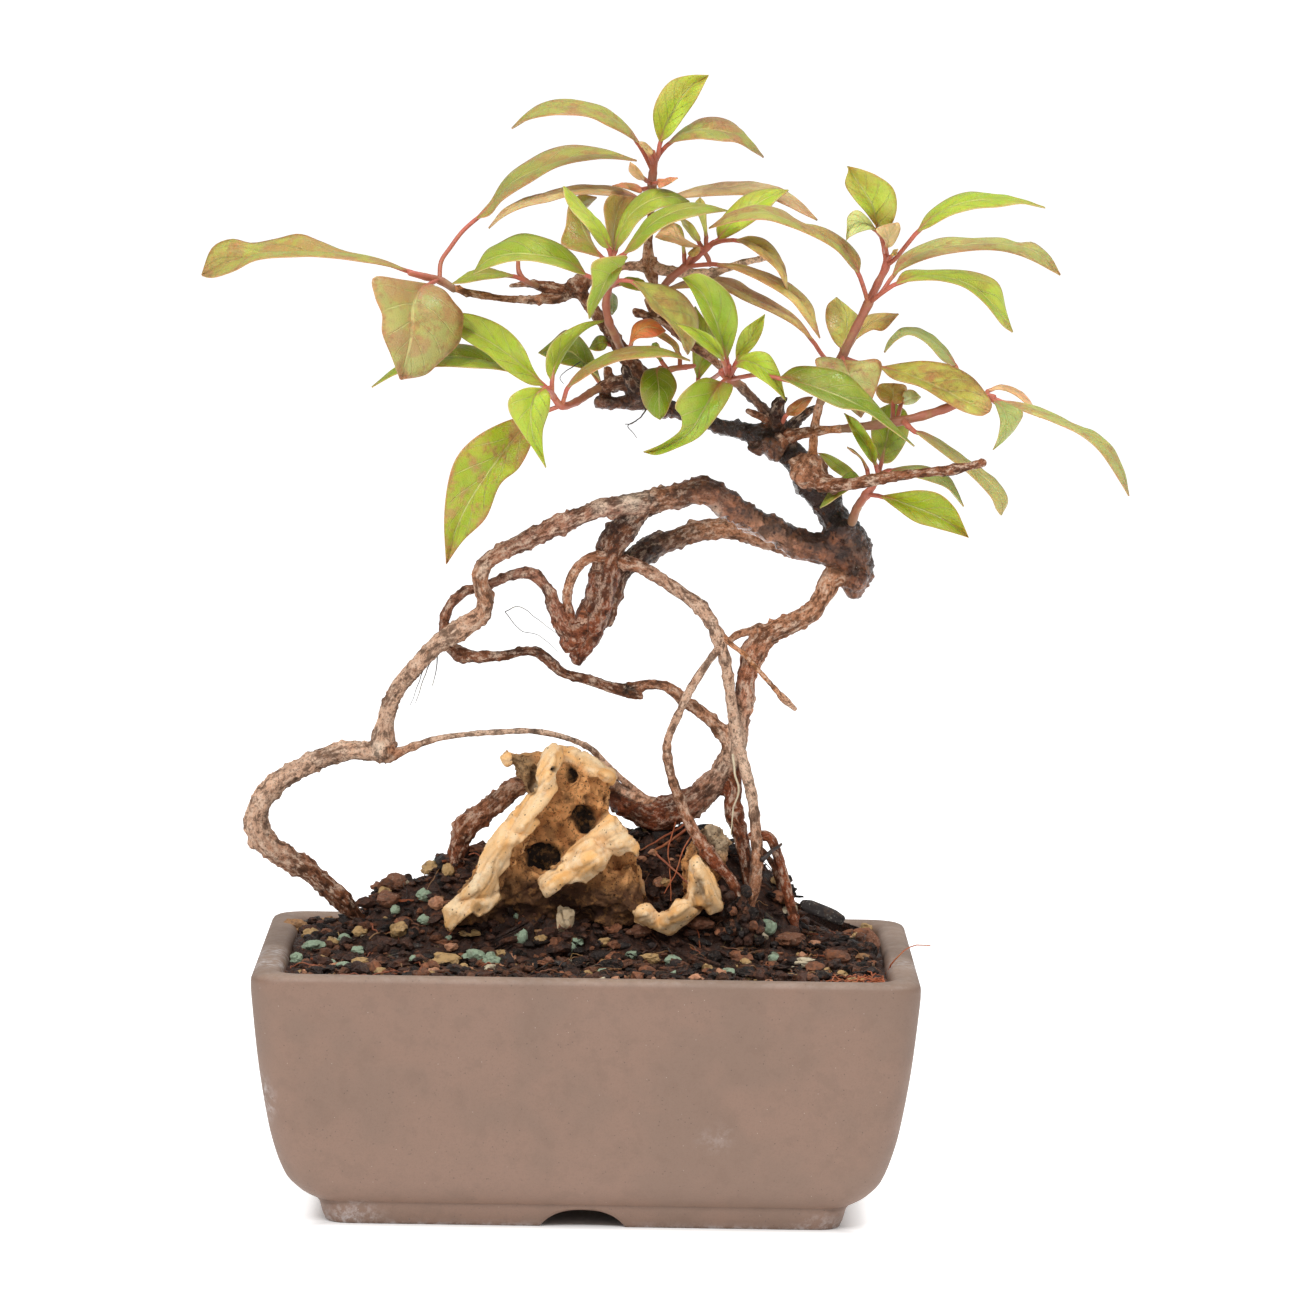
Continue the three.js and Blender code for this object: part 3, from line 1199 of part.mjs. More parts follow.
// A limb of old wood, with fewer sides the thinner it is.
function woodLimb(stations, seed) {
  const thickest = Math.max(...stations.map((station) => station[3]));
  const thinSides = thickest > HAIR_LIMIT ? THIN_SIDES : HAIR_SIDES;
  const sides = thickest > THIN_LIMIT ? THICK_SIDES : thinSides;
  return limb(stations, sides, BARK_ROUGHNESS, seed, LIMB_STEP);
}

// A rounded, uneven lump.
function lump(centre, radius, seed) {
  const geometry = new THREE.IcosahedronGeometry(radius, radius > FINE_LUMP ? 1 : 0);
  geometry.deleteAttribute('normal');
  geometry.deleteAttribute('uv');
  const welded = mergeVertices(geometry, 1e-4);
  const draw = makeDraw(seed);
  const position = welded.attributes.position;
  const point = new THREE.Vector3();
  for (let i = 0; i < position.count; i += 1) {
    point.fromBufferAttribute(position, i).multiplyScalar(LUMP_LEAST + LUMP_SPREAD * draw());
    point.add(centre);
    position.setXYZ(i, point.x, point.y, point.z);
  }
  return toSolid(welded);
}

// A leaf's blade: two waved half blades from the rib to each margin, one thickness apart.
function blade(leaf, seed) {
  const draw = makeDraw(seed);
  const phase = draw() * 2 * Math.PI;
  const rib = leaf.rib.slice(leaf.start).map((point) => new THREE.Vector3(...point));
  const foot = rib[0];
  const tip = rib[rib.length - 1];
  const marginCurve = (margin) => smoothCurve([
    foot,
    ...margin.map(([column, row]) => new THREE.Vector3(column, row, 0)),
    tip,
  ]);
  const ribCurve = smoothCurve(rib);
  const margins = [marginCurve(leaf.over), marginCurve(leaf.under)];
  const worldRib = smoothCurve(rib.map((point) => place(point.x, point.y, point.z)));
  const steps = THREE.MathUtils.clamp(Math.round(worldRib.getLength() / BLADE_STEP), ...BLADE_STEPS);
  const rows = [];
  for (let k = 0; k <= steps; k += 1) {
    const along = k / steps;
    const middle = ribCurve.getPointAt(along);
    const spread = Math.sin(Math.PI * along) ** BLADE_FULLNESS;
    const row = [place(middle.x, middle.y, middle.z)];
    for (let side = 0; side < 2; side += 1) {
      const edge = margins[side].getPointAt(along);
      const turn = along * EDGE_TURNS * Math.PI + phase + side * EDGE_SHIFT;
      const ripple = EDGE_WAVE * Math.sin(turn);
      const depth = middle.z + (leaf.turn[side] + ripple) * spread;
      row.push(place(edge.x, edge.y, depth));
    }
    rows.push(row);
  }

  const front = [];
  const back = [];
  const position = [];
  const addPoint = (point) => {
    position.push(point.x, point.y, point.z);
    return position.length / 3 - 1;
  };
  for (let k = 0; k <= steps; k += 1) {
    const [middle, over, under] = rows[k];
    const before = rows[Math.max(0, k - 1)][0];
    const after = rows[Math.min(steps, k + 1)][0];
    const along = after.clone().sub(before).normalize();
    const atEnd = k === 0 || k === steps;
    const inner = rows[k === 0 ? 1 : steps - 1];
    const across = atEnd ? inner[1].clone().sub(inner[2]) : over.clone().sub(under);
    const normal = new THREE.Vector3().crossVectors(along, across).normalize();
    const points = atEnd ? [middle] : [over, middle, under];
    front.push(points.map((point) => addPoint(point.clone().addScaledVector(normal, BLADE_THICKNESS / 2))));
    back.push(points.map((point) => addPoint(point.clone().addScaledVector(normal, -BLADE_THICKNESS / 2))));
  }

  const index = [];
  const face = (a, b, c, flip) => index.push(...(flip ? [a, b, c] : [a, c, b]));
  const quad = (a, b, c, d, flip) => {
    face(a, b, c, flip);
    face(a, c, d, flip);
  };
  for (let k = 0; k < steps; k += 1) {
    for (const [sheet, flip] of [[front, false], [back, true]]) {
      const near = sheet[k];
      const far = sheet[k + 1];
      if (near.length === 1) {
        face(near[0], far[1], far[0], !flip);
        face(near[0], far[2], far[1], !flip);
      } else if (far.length === 1) {
        face(near[0], near[1], far[0], !flip);
        face(near[1], near[2], far[0], !flip);
      } else {
        quad(near[0], near[1], far[1], far[0], !flip);
        quad(near[1], near[2], far[2], far[1], !flip);
      }
    }
    const first = (row) => row[0];
    const last = (row) => row[row.length - 1];
    quad(first(front[k]), first(front[k + 1]), first(back[k + 1]), first(back[k]), true);
    quad(last(front[k]), last(front[k + 1]), last(back[k + 1]), last(back[k]), false);
  }
  const geometry = new THREE.BufferGeometry();
  geometry.setAttribute('position', new THREE.BufferAttribute(new Float32Array(position), 3));
  geometry.setIndex(index);
  return toSolid(geometry);
}

// A leaf's stalk, from its node to just under the blade.
function stalk(leaf) {
  const stations = leaf.rib.slice(0, leaf.start + 1).map((point) => [...point, STALK_RADIUS]);
  const next = leaf.rib[leaf.start + 1];
  const base = leaf.rib[leaf.start];
  const end = base.map((value, axis) => value + STALK_SHARE * (next[axis] - value));
  stations.push([...end, STALK_RADIUS * STALK_TAPER]);
  return limb(stations, STALK_SIDES, 0, SEEDS.stem, STEM_STEP);
}

// The point of the nearest path, as seen from the front, so that what grows there springs from it.
function footOn(paths, station) {
  let nearest = Infinity;
  let foot = station;
  for (const path of paths) {
    const curve = smoothCurve(path.map(([column, row, depth]) => new THREE.Vector3(column, row, depth)));
    for (const point of curve.getPoints(FOOT_SAMPLES)) {
      const away = Math.hypot(point.x - station[0], point.y - station[1]);
      if (away < nearest) {
        nearest = away;
        foot = [point.x, point.y, point.z, ...station.slice(3)];
      }
    }
  }
  return foot;
}

// A shoot with every side stem and every leaf rooted in the stem that carries it.
function rooted(name) {
  const { stems, leaves } = SHOOTS[name];
  const set = [];
  for (const stem of stems) {
    set.push(set.length === 0 ? stem : [footOn(set, stem[0]), ...stem.slice(1)]);
  }
  if (set.length === 0) {
    return { stems, leaves };
  }
  const hung = leaves.map((leaf) => ({ ...leaf, rib: [footOn(set, leaf.rib[0]), ...leaf.rib.slice(1)] }));
  return { stems: set, leaves: hung };
}

// One shoot as one solid: its stems, stalks and blades.
function shoot(name) {
  const { stems, leaves } = rooted(name);
  const parts = [
    ...stems.map((stem) => limb(stem, STEM_SIDES, 0, SEEDS.stem, STEM_STEP)),
    ...leaves.map((leaf) => stalk(leaf)),
    ...leaves.map((leaf, i) => blade(leaf, SEEDS.blade + i)),
  ];
  return largest(join(parts)).simplify(STEM_DETAIL);
}

// What a shoot's foot needs cut from the wood that carries it.
function socket(name) {
  const { stems, leaves } = rooted(name);
  const feet = stems.length > 0 ? [stems[0]] : [[
    [...leaves[0].rib[0], STALK_RADIUS], [...leaves[0].rib[1], STALK_RADIUS],
  ]];
  return join(feet.map((stem) => limb(stem, SOCKET_SIDES, 0, SEEDS.stem, STEM_STEP, GAP)));
}

// How far the soil stands over its base level.
function ridgeHeight(x, y) {
  const crest = interpolate(RIDGE_CREST, x);
  const width = y < RIDGE_DEPTH ? RIDGE_FRONT_WIDTH : RIDGE_BACK_WIDTH;
  const fall = Math.exp(-(((y - RIDGE_DEPTH) / width) ** 2));
  return crest * fall;
}

// The pot: a wall on a foot with an arch in front and behind, a recess below and two drain holes.
function potSolid() {
  const sides = 4 * (CORNER_STEPS + 1);
  const foot = moulded(sides, 1, (turn, along, reach) => roundedPoint(
    FOOT_LENGTH / 2 + along * FOOT_SPLAY,
    FOOT_DEPTH / 2 + along * FOOT_SPLAY,
    FOOT_CORNER,
    turn,
    along * FOOT_TOP,
    reach,
  ));
  const recess = moulded(sides, 1, (turn, along, reach) => roundedPoint(
    FOOT_LENGTH / 2 - FOOT_WIDTH,
    FOOT_DEPTH / 2 - FOOT_WIDTH,
    FOOT_CORNER,
    turn,
    along * (FLOOR_UNDERSIDE + CUT_PAST) - CUT_PAST,
    reach,
  ));
  const cavity = walledSolid(INNER_WALL, 0);
  const half = ARCH_WIDTH / 2;
  const arch = new THREE.Shape();
  arch.moveTo(-half, -CUT_PAST);
  arch.lineTo(half, -CUT_PAST);
  arch.quadraticCurveTo(half - ARCH_SHOULDER, ARCH_HEIGHT, half / 2, ARCH_HEIGHT);
  arch.lineTo(-half / 2, ARCH_HEIGHT);
  arch.quadraticCurveTo(ARCH_SHOULDER - half, ARCH_HEIGHT, -half, -CUT_PAST);
  const tunnel = new THREE.ExtrudeGeometry(arch, {
    depth: RIM_DEPTH,
    bevelEnabled: false,
    curveSegments: ARCH_STEPS,
  });
  tunnel.translate(0, 0, -RIM_DEPTH / 2);
  tunnel.rotateX(Math.PI / 2);
  let pot = walledSolid(OUTER_WALL, 0).add(foot).subtract(cavity).subtract(recess).subtract(toSolid(tunnel));
  for (const side of [-1, 1]) {
    const drain = new THREE.CylinderGeometry(DRAIN_RADIUS, DRAIN_RADIUS, FLOOR_TOP * 3, DRAIN_SIDES);
    drain.rotateX(Math.PI / 2);
    drain.translate(side * DRAIN_OFFSET, 0, FLOOR_TOP);
    pot = pot.subtract(toSolid(drain));
  }
  return pot.translate([0, POT_SETBACK, 0]);
}

// The rock, and with growth a block that it clears by that much all round.
function stoneSolid(growth = 0) {
  const shards = SHARDS.map(({ outline, ridge, depth, shrink }) => {
    const middle = outline.reduce((sum, point) => [sum[0] + point[0], sum[1] + point[1]], [0, 0])
      .map((total) => total / outline.length);
    const points = [];
    for (const [column, row] of outline) {
      points.push(place(column, row, depth[0]));
      const backColumn = middle[0] + shrink * (column - middle[0]);
      const backRow = middle[1] + shrink * (row - middle[1]);
      points.push(place(backColumn, backRow, depth[2]));
    }
    for (const [column, row] of ridge) {
      points.push(place(column, row, depth[1]));
    }
    const centre = points.reduce((sum, point) => sum.add(point), new THREE.Vector3())
      .divideScalar(points.length);
    const grown = points.map((point) => {
      const outwards = point.clone().sub(centre);
      return point.clone().addScaledVector(outwards.normalize(), growth * CORNER_REACH);
    });
    return toSolid(new ConvexGeometry(grown));
  });
  if (growth > 0) {
    return join(shards);
  }
  const hollows = HOLLOWS.map(
    ([column, row, depth, radius], i) => lump(place(column, row, depth), radius, SEEDS.hollow + i),
  );
  return largest(join(shards).subtract(join(hollows)));
}

// Trunk, limbs and roots in one.
function woodSolid() {
  const limbs = Object.values(LIMBS).map((stations, i) => woodLimb(stations, SEEDS.limb + i));
  const knots = KNOTS.map(
    ([column, row, depth, radius], i) => lump(place(column, row, depth), radius, SEEDS.knot + i),
  );
  return largest(join([...limbs, ...knots]));
}

// The same limbs, a clearance wider, for the holes that they stand in.
function woodHoles() {
  const stations = Object.values(LIMBS);
  return join(stations.map((list) => limb(list, THICK_SIDES, 0, SEEDS.stem, LIMB_STEP, HOLE_GROWTH)));
}

// The bed of soil that fills the pot, with gravel on it.
function soilSolid() {
  const length = RIM_LENGTH - SOIL_MARGIN;
  const depth = RIM_DEPTH - SOIL_MARGIN;
  const columns = Math.round(length / SOIL_STEP);
  const rows = Math.round(depth / SOIL_STEP);
  const bed = new THREE.BoxGeometry(length, depth, 1, columns, rows, 1);
  const position = bed.attributes.position;
  const draw = makeDraw(SEEDS.soil);
  const bumps = new Map();
  for (let i = 0; i < position.count; i += 1) {
    const x = position.getX(i);
    const y = position.getY(i);
    if (position.getZ(i) > 0) {
      const key = `${x.toFixed(2)} ${y.toFixed(2)}`;
      if (!bumps.has(key)) {
        bumps.set(key, SOIL_BUMP * (draw() - 0.5));
      }
      position.setZ(i, SOIL_LEVEL + ridgeHeight(x, y) + bumps.get(key));
    } else {
      position.setZ(i, SOIL_BOTTOM);
    }
  }
  const [bottom, ...walls] = INNER_WALL;
  const space = walledSolid([
    [bottom[0] + SOIL_GAP, bottom[1], bottom[2]],
    ...walls,
    [POT_HEIGHT + SOIL_SPACE, SOIL_SPACE_INSET, SOIL_SPACE_INSET],
  ], -SOIL_GAP);
  let soil = toSolid(bed).intersect(space);
  const grainDraw = makeDraw(SEEDS.grain);
  for (let i = 0; i < GRAIN_COUNT; i += 1) {
    const x = (grainDraw() - 0.5) * (RIM_LENGTH - GRAIN_MARGIN);
    const y = (grainDraw() - 0.5) * (RIM_DEPTH - GRAIN_MARGIN);
    const size = GRAIN_SIZE[0] + grainDraw() * (GRAIN_SIZE[1] - GRAIN_SIZE[0]);
    const grain = new THREE.IcosahedronGeometry(size, 0);
    grain.scale(...GRAIN_SHAPE);
    grain.rotateZ(grainDraw() * Math.PI);
    grain.rotateX(grainDraw());
    grain.translate(x, y, SOIL_LEVEL + ridgeHeight(x, y) + size * GRAIN_LIFT);
    soil = soil.add(toSolid(grain));
  }
  return soil.translate([0, POT_SETBACK, 0]);
}

const shootNames = Object.keys(SHOOTS);
const shoots = shootNames.map((name) => shoot(name));
const sockets = join(shootNames.map((name) => socket(name)));
const wood = largest(woodSolid().subtract(sockets)).simplify(BARK_DETAIL);
const holes = woodHoles();
const stone = largest(stoneSolid().subtract(holes));
const bed = soilSolid().subtract(stoneSolid(STONE_GAP)).subtract(holes);
const soil = largest(bed).simplify(SOIL_DETAIL);

const bonsai = new THREE.Group();
bonsai.add(toMesh('pot', potSolid(), POT_CLAY));
bonsai.add(toMesh('soil', soil, SOIL_BROWN));
bonsai.add(toMesh('stone', stone, STONE_CREAM));
bonsai.add(toMesh('trunk_and_roots', wood, BARK));
shootNames.forEach((name, i) => bonsai.add(toMesh(name, shoots[i], SHOOT_COLOURS[name] ?? LEAF_GREEN)));

// The origin is the middle of the underside of everything's common box.
const extent = new THREE.Box3().setFromObject(bonsai);
const middle = extent.getCenter(new THREE.Vector3());
for (const mesh of bonsai.children) {
  mesh.geometry.translate(-middle.x, -middle.y, -extent.min.z);
}

export default bonsai;
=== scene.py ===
"""Firebush bonsai: leaves, bark, rock, soil and pot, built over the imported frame.

Lengths are written in millimetres and turned into metres as the meshes are made.
"""

import math
import random

import bmesh
import bpy
import numpy as np
from mathutils import Matrix, Vector, noise
from mathutils.kdtree import KDTree


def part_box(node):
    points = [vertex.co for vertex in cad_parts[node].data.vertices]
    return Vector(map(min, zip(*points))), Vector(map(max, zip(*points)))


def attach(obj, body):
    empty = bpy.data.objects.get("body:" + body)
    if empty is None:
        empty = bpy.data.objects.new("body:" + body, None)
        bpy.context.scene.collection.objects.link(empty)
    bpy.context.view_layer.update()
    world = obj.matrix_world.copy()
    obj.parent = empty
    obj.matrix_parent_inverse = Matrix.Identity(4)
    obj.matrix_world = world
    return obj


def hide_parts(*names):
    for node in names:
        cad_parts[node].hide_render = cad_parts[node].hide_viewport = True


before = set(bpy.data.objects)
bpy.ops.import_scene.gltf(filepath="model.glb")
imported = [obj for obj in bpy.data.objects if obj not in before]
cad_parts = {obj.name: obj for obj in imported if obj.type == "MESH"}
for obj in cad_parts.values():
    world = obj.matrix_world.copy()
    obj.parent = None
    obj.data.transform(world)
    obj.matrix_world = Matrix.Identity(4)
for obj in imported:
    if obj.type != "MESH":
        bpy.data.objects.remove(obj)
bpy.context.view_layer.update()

MM = 0.001
BODY = "root"

# The line of sight that the tree is laid out along: a column and a row of a square view 1300 wide
# and a depth away from the viewer give one point of the object.
VIEW_WIDTH = 1300
VIEW_CENTRE = 650
VIEW_SCALE = 7295
SENSOR_WIDTH = 36
POT_LOW, POT_HIGH = (np.array(corner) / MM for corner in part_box("pot"))
POT_X = (POT_LOW[0] + POT_HIGH[0]) / 2
# The pot's middle stands this far behind the depth that the tree's stations count from.
POT_SETBACK = 3
EYE = np.array([8.5 + POT_X, -2276 - POT_SETBACK, 388.4])
VIEW_PITCH = math.radians(5.414)
VIEW_YAW = math.radians(0.245)
VIEW_ROLL = math.radians(0.906)
# Depths are drawn out above the roots, so that the crown is as deep as it is tall: rows, factors.
SPREAD_ROWS = (480, 660)
SPREAD_FACTORS = (2.2, 1)

FORWARD = np.array([
    math.sin(VIEW_YAW) * math.cos(VIEW_PITCH),
    math.cos(VIEW_YAW) * math.cos(VIEW_PITCH),
    -math.sin(VIEW_PITCH),
])
LEVEL = np.array([math.cos(VIEW_YAW), -math.sin(VIEW_YAW), 0])
UPRIGHT = np.cross(LEVEL, FORWARD)
RIGHT = LEVEL * math.cos(VIEW_ROLL) + UPRIGHT * math.sin(VIEW_ROLL)
UP = UPRIGHT * math.cos(VIEW_ROLL) - LEVEL * math.sin(VIEW_ROLL)


def sight(column, row):
    """The way from the eye through a place in the view."""
    return FORWARD * VIEW_SCALE + RIGHT * (column - VIEW_CENTRE) + UP * (VIEW_CENTRE - row)


def place(column, row, depth):
    """One point of the object in millimetres."""
    ray = sight(column, row)
    reach = depth * np.interp(row, SPREAD_ROWS, SPREAD_FACTORS) - POT_SETBACK
    return EYE + ray * ((reach - EYE[1]) / ray[1])


def seen(points):
    """The column and row where each point is seen."""
    away = points - EYE
    depth = away @ FORWARD
    return (VIEW_CENTRE + VIEW_SCALE * (away @ RIGHT) / depth,
            VIEW_CENTRE - VIEW_SCALE * (away @ UP) / depth)


def leaf(tone, rust, start, turn, rib, over, under):
    """One leaf: its colour, how rusty it is, the rib's station where the blade starts, how far its
    margins turn away from the viewer, and the rib and both margins as they are seen."""
    return {"tone": tone, "rust": rust, "start": start, "turn": turn, "rib": rib,
            "margins": (over, under)}


# The limbs and roots of the old wood by their stations: column, row, depth, radius.
LIMBS = {
    "trunk": [(745, 432, 0, 3), (775, 441, 0, 4.2), (795, 460, 1, 4.5), (810, 485, 2, 4.6),
        (830, 510, 3, 5), (848, 540, 4, 6.2), (856, 563, 5, 5.6), (856, 579, 5, 4.9), (855, 590, 5, 3.4)],
    "crown": [(600, 402, -2, 2.3), (620, 403, -1, 2.3), (645, 402, 0, 2.7), (668, 407, 0, 2.5),
        (690, 416, 0, 2.4), (715, 425, 0, 2.6), (745, 432, 0, 3.2)],
    "upperLimb": [(574, 284, 4, 2.6), (582, 294, 4, 2.6), (592, 308, 4, 2.2), (606, 326, 3, 2.3),
        (618, 345, 2, 2.5), (630, 362, 1, 3), (643, 380, 0, 3.6), (655, 398, 0, 3.2), (668, 408, 0, 2.2)],
    "leftBranch": [(453, 288, 2, 1.3), (470, 293, 2, 1.45), (500, 298, 3, 1.5), (540, 300, 4, 1.7),
        (562, 298, 4, 1.7), (578, 290, 4, 2)],
    "deadStub": [(511, 286, 6, 1), (526, 284, 6, 1.4), (542, 286, 5, 1.9), (562, 288, 4, 1.6),
        (578, 286, 4, 1.6)],
    "shootKnob": [(600, 388, -1, 1.7), (613, 383, -1, 2.5), (628, 382, 0, 3), (645, 388, 0, 3)],
    "cutStub": [(607, 369, 0, 1.5), (609, 378, 0, 1.8), (614, 388, 0, 2)],
    "frontStub": [(625, 369, -5, 1.5), (629, 380, -3, 1.9), (636, 390, -1, 2)],
    "deadTwig": [(635, 312, 3, 1.5), (650, 316, 2, 1.5), (664, 322, 2, 1.6), (676, 333, 2, 1.6),
        (692, 346, 1, 1.5), (706, 355, 0, 1.5), (722, 368, 0, 1.5), (736, 382, 0, 1.7), (752, 398, 0, 1.7),
        (765, 411, 0, 1.8), (777, 424, 0, 2.2), (785, 440, 1, 2.6)],
    "deadSpur": [(646, 300, 2, 0.7), (649, 306, 2, 0.9), (655, 316, 2, 1.1)],
    "greyTwig": [(657, 318, 2, 1.2), (656, 300, 2, 1.2), (654, 284, 2, 1.4), (650, 268, 2, 2.4),
        (648, 252, 2, 1.5), (649, 235, 2, 1.2), (651, 212, 2, 1.1), (653, 194, 2, 1.3)],
    "sideTwig": [(618, 267, 3, 1.2), (633, 266, 2, 1.4), (650, 267, 2, 2.2), (668, 271, 2, 1.7),
        (690, 273, 2, 1.7), (712, 273, 2, 1.6), (722, 270, 2, 1.3), (742, 263, 2, 1.1), (765, 258, 3, 0.8)],
    "twigStub": [(748, 411, -2, 0.9), (757, 415, -1, 1.2), (768, 420, 0, 1.5)],
    "darkBud": [(787, 398, -3, 0.8), (780, 402, -3, 1.9), (777, 412, -2, 2.4), (780, 426, 0, 3)],
    "backStub": [(815, 407, 3, 1), (808, 412, 3, 1.6), (798, 420, 2, 2.2), (788, 434, 1, 3),
        (786, 448, 1, 3)],
    "underBurr": [(749, 448, -1, 1.1), (757, 450, -1, 2), (766, 444, 0, 2.6)],
    "branchEast": [(790, 436, -1, 2.4), (803, 433, -2, 1.6), (825, 430, -2, 1.35), (840, 429, -2, 1.3)],
    "branchUp": [(812, 462, -2, 2.4), (813, 448, -2, 1.5), (815, 425, -2, 1.4), (820, 402, -2, 1.35)],
    "burr": [(800, 466, -2, 3.4), (812, 470, -3, 4.6), (822, 480, -5, 3.4), (834, 487, -6, 2.2)],
    "cutTwig": [(822, 484, -6, 2.8), (850, 484, -8, 2.1), (880, 479, -9, 1.9), (920, 473, -10, 1.7),
        (943, 471, -10, 1.75), (955, 469, -10, 2.3), (965, 467, -10, 1.7), (983, 463, -10, 1.6)],
    "archFront": [(848, 560, 4, 5), (830, 550, 3, 5.2), (800, 545, 1, 4.7), (775, 531, -1, 4.2),
        (750, 518, -3, 4.2), (725, 504, -5, 4.5), (705, 491, -6, 4.6), (680, 496, -6, 4.1),
        (652, 501, -6, 4.2), (640, 504, -6, 3.2)],
    "greyLimb": [(652, 501, -6, 4), (628, 504, -7, 3.1), (600, 508, -7, 3), (580, 516, -7, 3.1),
        (560, 525, -6, 3.4), (540, 534, -6, 3.1), (520, 543, -5, 3), (497, 554, -4, 2.7),
        (483, 568, -4, 2.7), (480, 585, -4, 2.7), (486, 602, -3, 3), (480, 616, -3, 3.1),
        (463, 628, -2, 3.2), (440, 643, -1, 3.2), (424, 658, -1, 3), (410, 673, 0, 2.9), (398, 688, 1, 2.8),
        (390, 705, 1, 2.9), (385, 725, 1, 3), (383, 750, 1, 4)],
    "leftLoop": [(386, 750, 1, 4), (370, 751, 1, 3.2), (352, 751, 1, 3), (330, 755, 2, 3.2),
        (300, 768, 3, 3.5), (275, 785, 4, 3.8), (260, 806, 5, 3.8), (257, 825, 6, 4), (266, 844, 7, 4),
        (287, 858, 8, 4), (310, 873, 9, 3.7), (333, 892, 10, 3.4), (351, 909, 11, 2.9), (368, 930, 12, 2.3)],
    "stump": [(656, 502, -6, 3.6), (640, 511, -5, 4.1), (620, 532, -3, 4.7), (607, 560, -2, 4.8),
        (600, 595, -1, 4.9), (591, 622, 0, 5.3), (584, 642, 0, 4.4), (577, 661, 0, 2)],
    "archBack": [(800, 548, 4, 4), (780, 543, 7, 3.6), (760, 537, 8, 3.5), (730, 529, 9, 3.5),
        (700, 531, 9, 3.5), (670, 540, 8, 3.8), (648, 549, 6, 4.2), (634, 560, 4, 3.8), (620, 576, 3, 3.4),
        (614, 594, 3, 3.1), (606, 620, 2, 2.8)],
    "rootFront": [(603, 556, -4, 1.9), (590, 558, -5, 1.6), (578, 567, -5, 1.6), (570, 582, -5, 1.6),
        (567, 600, -4, 1.6), (571, 622, -2, 1.8)],
    "rootWeave": [(584, 640, -1, 3), (564, 628, -3, 3), (555, 608, -4, 2.6), (547, 588, -4, 2.2),
        (532, 574, -4, 2.1), (512, 575, -2, 1.9), (495, 582, 1, 1.8), (480, 587, 2, 1.8),
        (465, 591, 2, 1.8), (450, 605, 0, 1.8), (444, 625, 1, 1.8), (448, 643, 3, 2), (458, 653, 3, 2.4),
        (475, 657, 1, 2.1), (500, 656, 0, 1.8), (530, 651, 0, 1.8), (545, 657, 0, 1.9), (562, 672, 0, 1.9),
        (585, 679, 0, 1.8), (607, 686, -1, 1.9), (628, 692, -1, 2.2), (641, 697, -1, 1.3)],
    "rootOver": [(622, 691, -1, 1.9), (638, 686, -1, 1.8), (658, 685, -1, 1.75), (672, 690, -1, 1.9),
        (684, 701, 0, 2), (702, 713, 1, 2.2), (718, 728, 2, 2.4), (733, 748, 3, 2.8)],
    "rootlet": [(388, 756, 0, 2.2), (402, 751, -1, 1.5), (420, 744, -2, 1.2), (440, 738, -2, 1),
        (470, 734, -2, 0.9), (500, 732, -1, 0.9), (530, 731, 1, 0.9), (560, 736, 4, 0.9), (588, 747, 7, 1),
        (603, 761, 9, 1), (617, 775, 10, 1), (635, 790, 11, 1.1), (652, 806, 11, 1.4)],
    "mainRoot": [(842, 568, 5, 3.8), (830, 580, 5, 3.4), (823, 596, 5, 3.2), (811, 611, 4, 3.4),
        (795, 622, 4, 3.6),
        (770, 634, 3, 3.9), (754, 652, 3, 3.9), (748, 672, 3, 3.5), (745, 695, 3, 3.2),
        (742, 716, 3, 3.1), (735, 740, 3, 3.9), (729, 760, 4, 4.2), (717, 780, 5, 4.4), (700, 797, 6, 4.7),
        (680, 808, 8, 5), (655, 814, 10, 5.3), (630, 804, 12, 5), (605, 790, 14, 4.3), (575, 779, 15, 3.9),
        (545, 779, 14, 3.6), (520, 785, 12, 3.5), (503, 797, 11, 3.6), (488, 810, 10, 3.8),
        (470, 824, 9, 3.9), (461, 838, 9, 3.5), (456, 858, 9, 2.8), (452, 888, 9, 2)],
    "rootLink": [(729, 641, -1, 1.1), (739, 634, 1, 1.2), (757, 630, 3, 1.4)],
    "rootLight": [(622, 562, -3, 2.4), (638, 566, -3, 2.1), (656, 576, -3, 2.1), (680, 592, -3, 2.1),
        (700, 607, -3, 2.3), (713, 626, -3, 2.1), (721, 645, -3, 2.1), (727, 670, -2, 1.7),
        (731, 700, -1, 1.7), (735, 725, 0, 1.9), (740, 748, 0, 1.8), (746, 772, -1, 1.8),
        (752, 797, -2, 1.8), (755, 822, -3, 1.7), (757, 850, -4, 1.9), (756, 880, -5, 1.7),
        (749, 912, -7, 1.5), (744, 940, -8, 1.2)],
    "rootFork": [(722, 644, -3, 1.4), (706, 665, -5, 1.2), (690, 690, -5, 1.25), (680, 711, -5, 1.3),
        (669, 736, -5, 1.3), (667, 752, -5, 1.4), (671, 775, -6, 1.4), (678, 795, -6, 1.6),
        (688, 820, -7, 1.7), (700, 841, -9, 2), (715, 862, -11, 2.1), (731, 880, -13, 1.6),
        (742, 905, -14, 1.3), (750, 932, -15, 1)],
    "tanTwig": [(721, 634, -3, 1.1), (732, 645, -5, 0.8), (745, 655, -6, 0.8), (761, 673, -6, 0.75),
        (776, 690, -6, 0.75), (783, 698, -6, 1.3), (795, 709, -7, 0.7)],
    "rootDark": [(733, 765, 5, 3), (734, 790, 3, 2.6), (730, 811, 2, 2.5), (738, 828, 1, 2.6),
        (744, 850, 0, 2.3), (748, 880, 0, 2), (751, 905, 0, 1.7), (752, 935, 0, 1.3)],
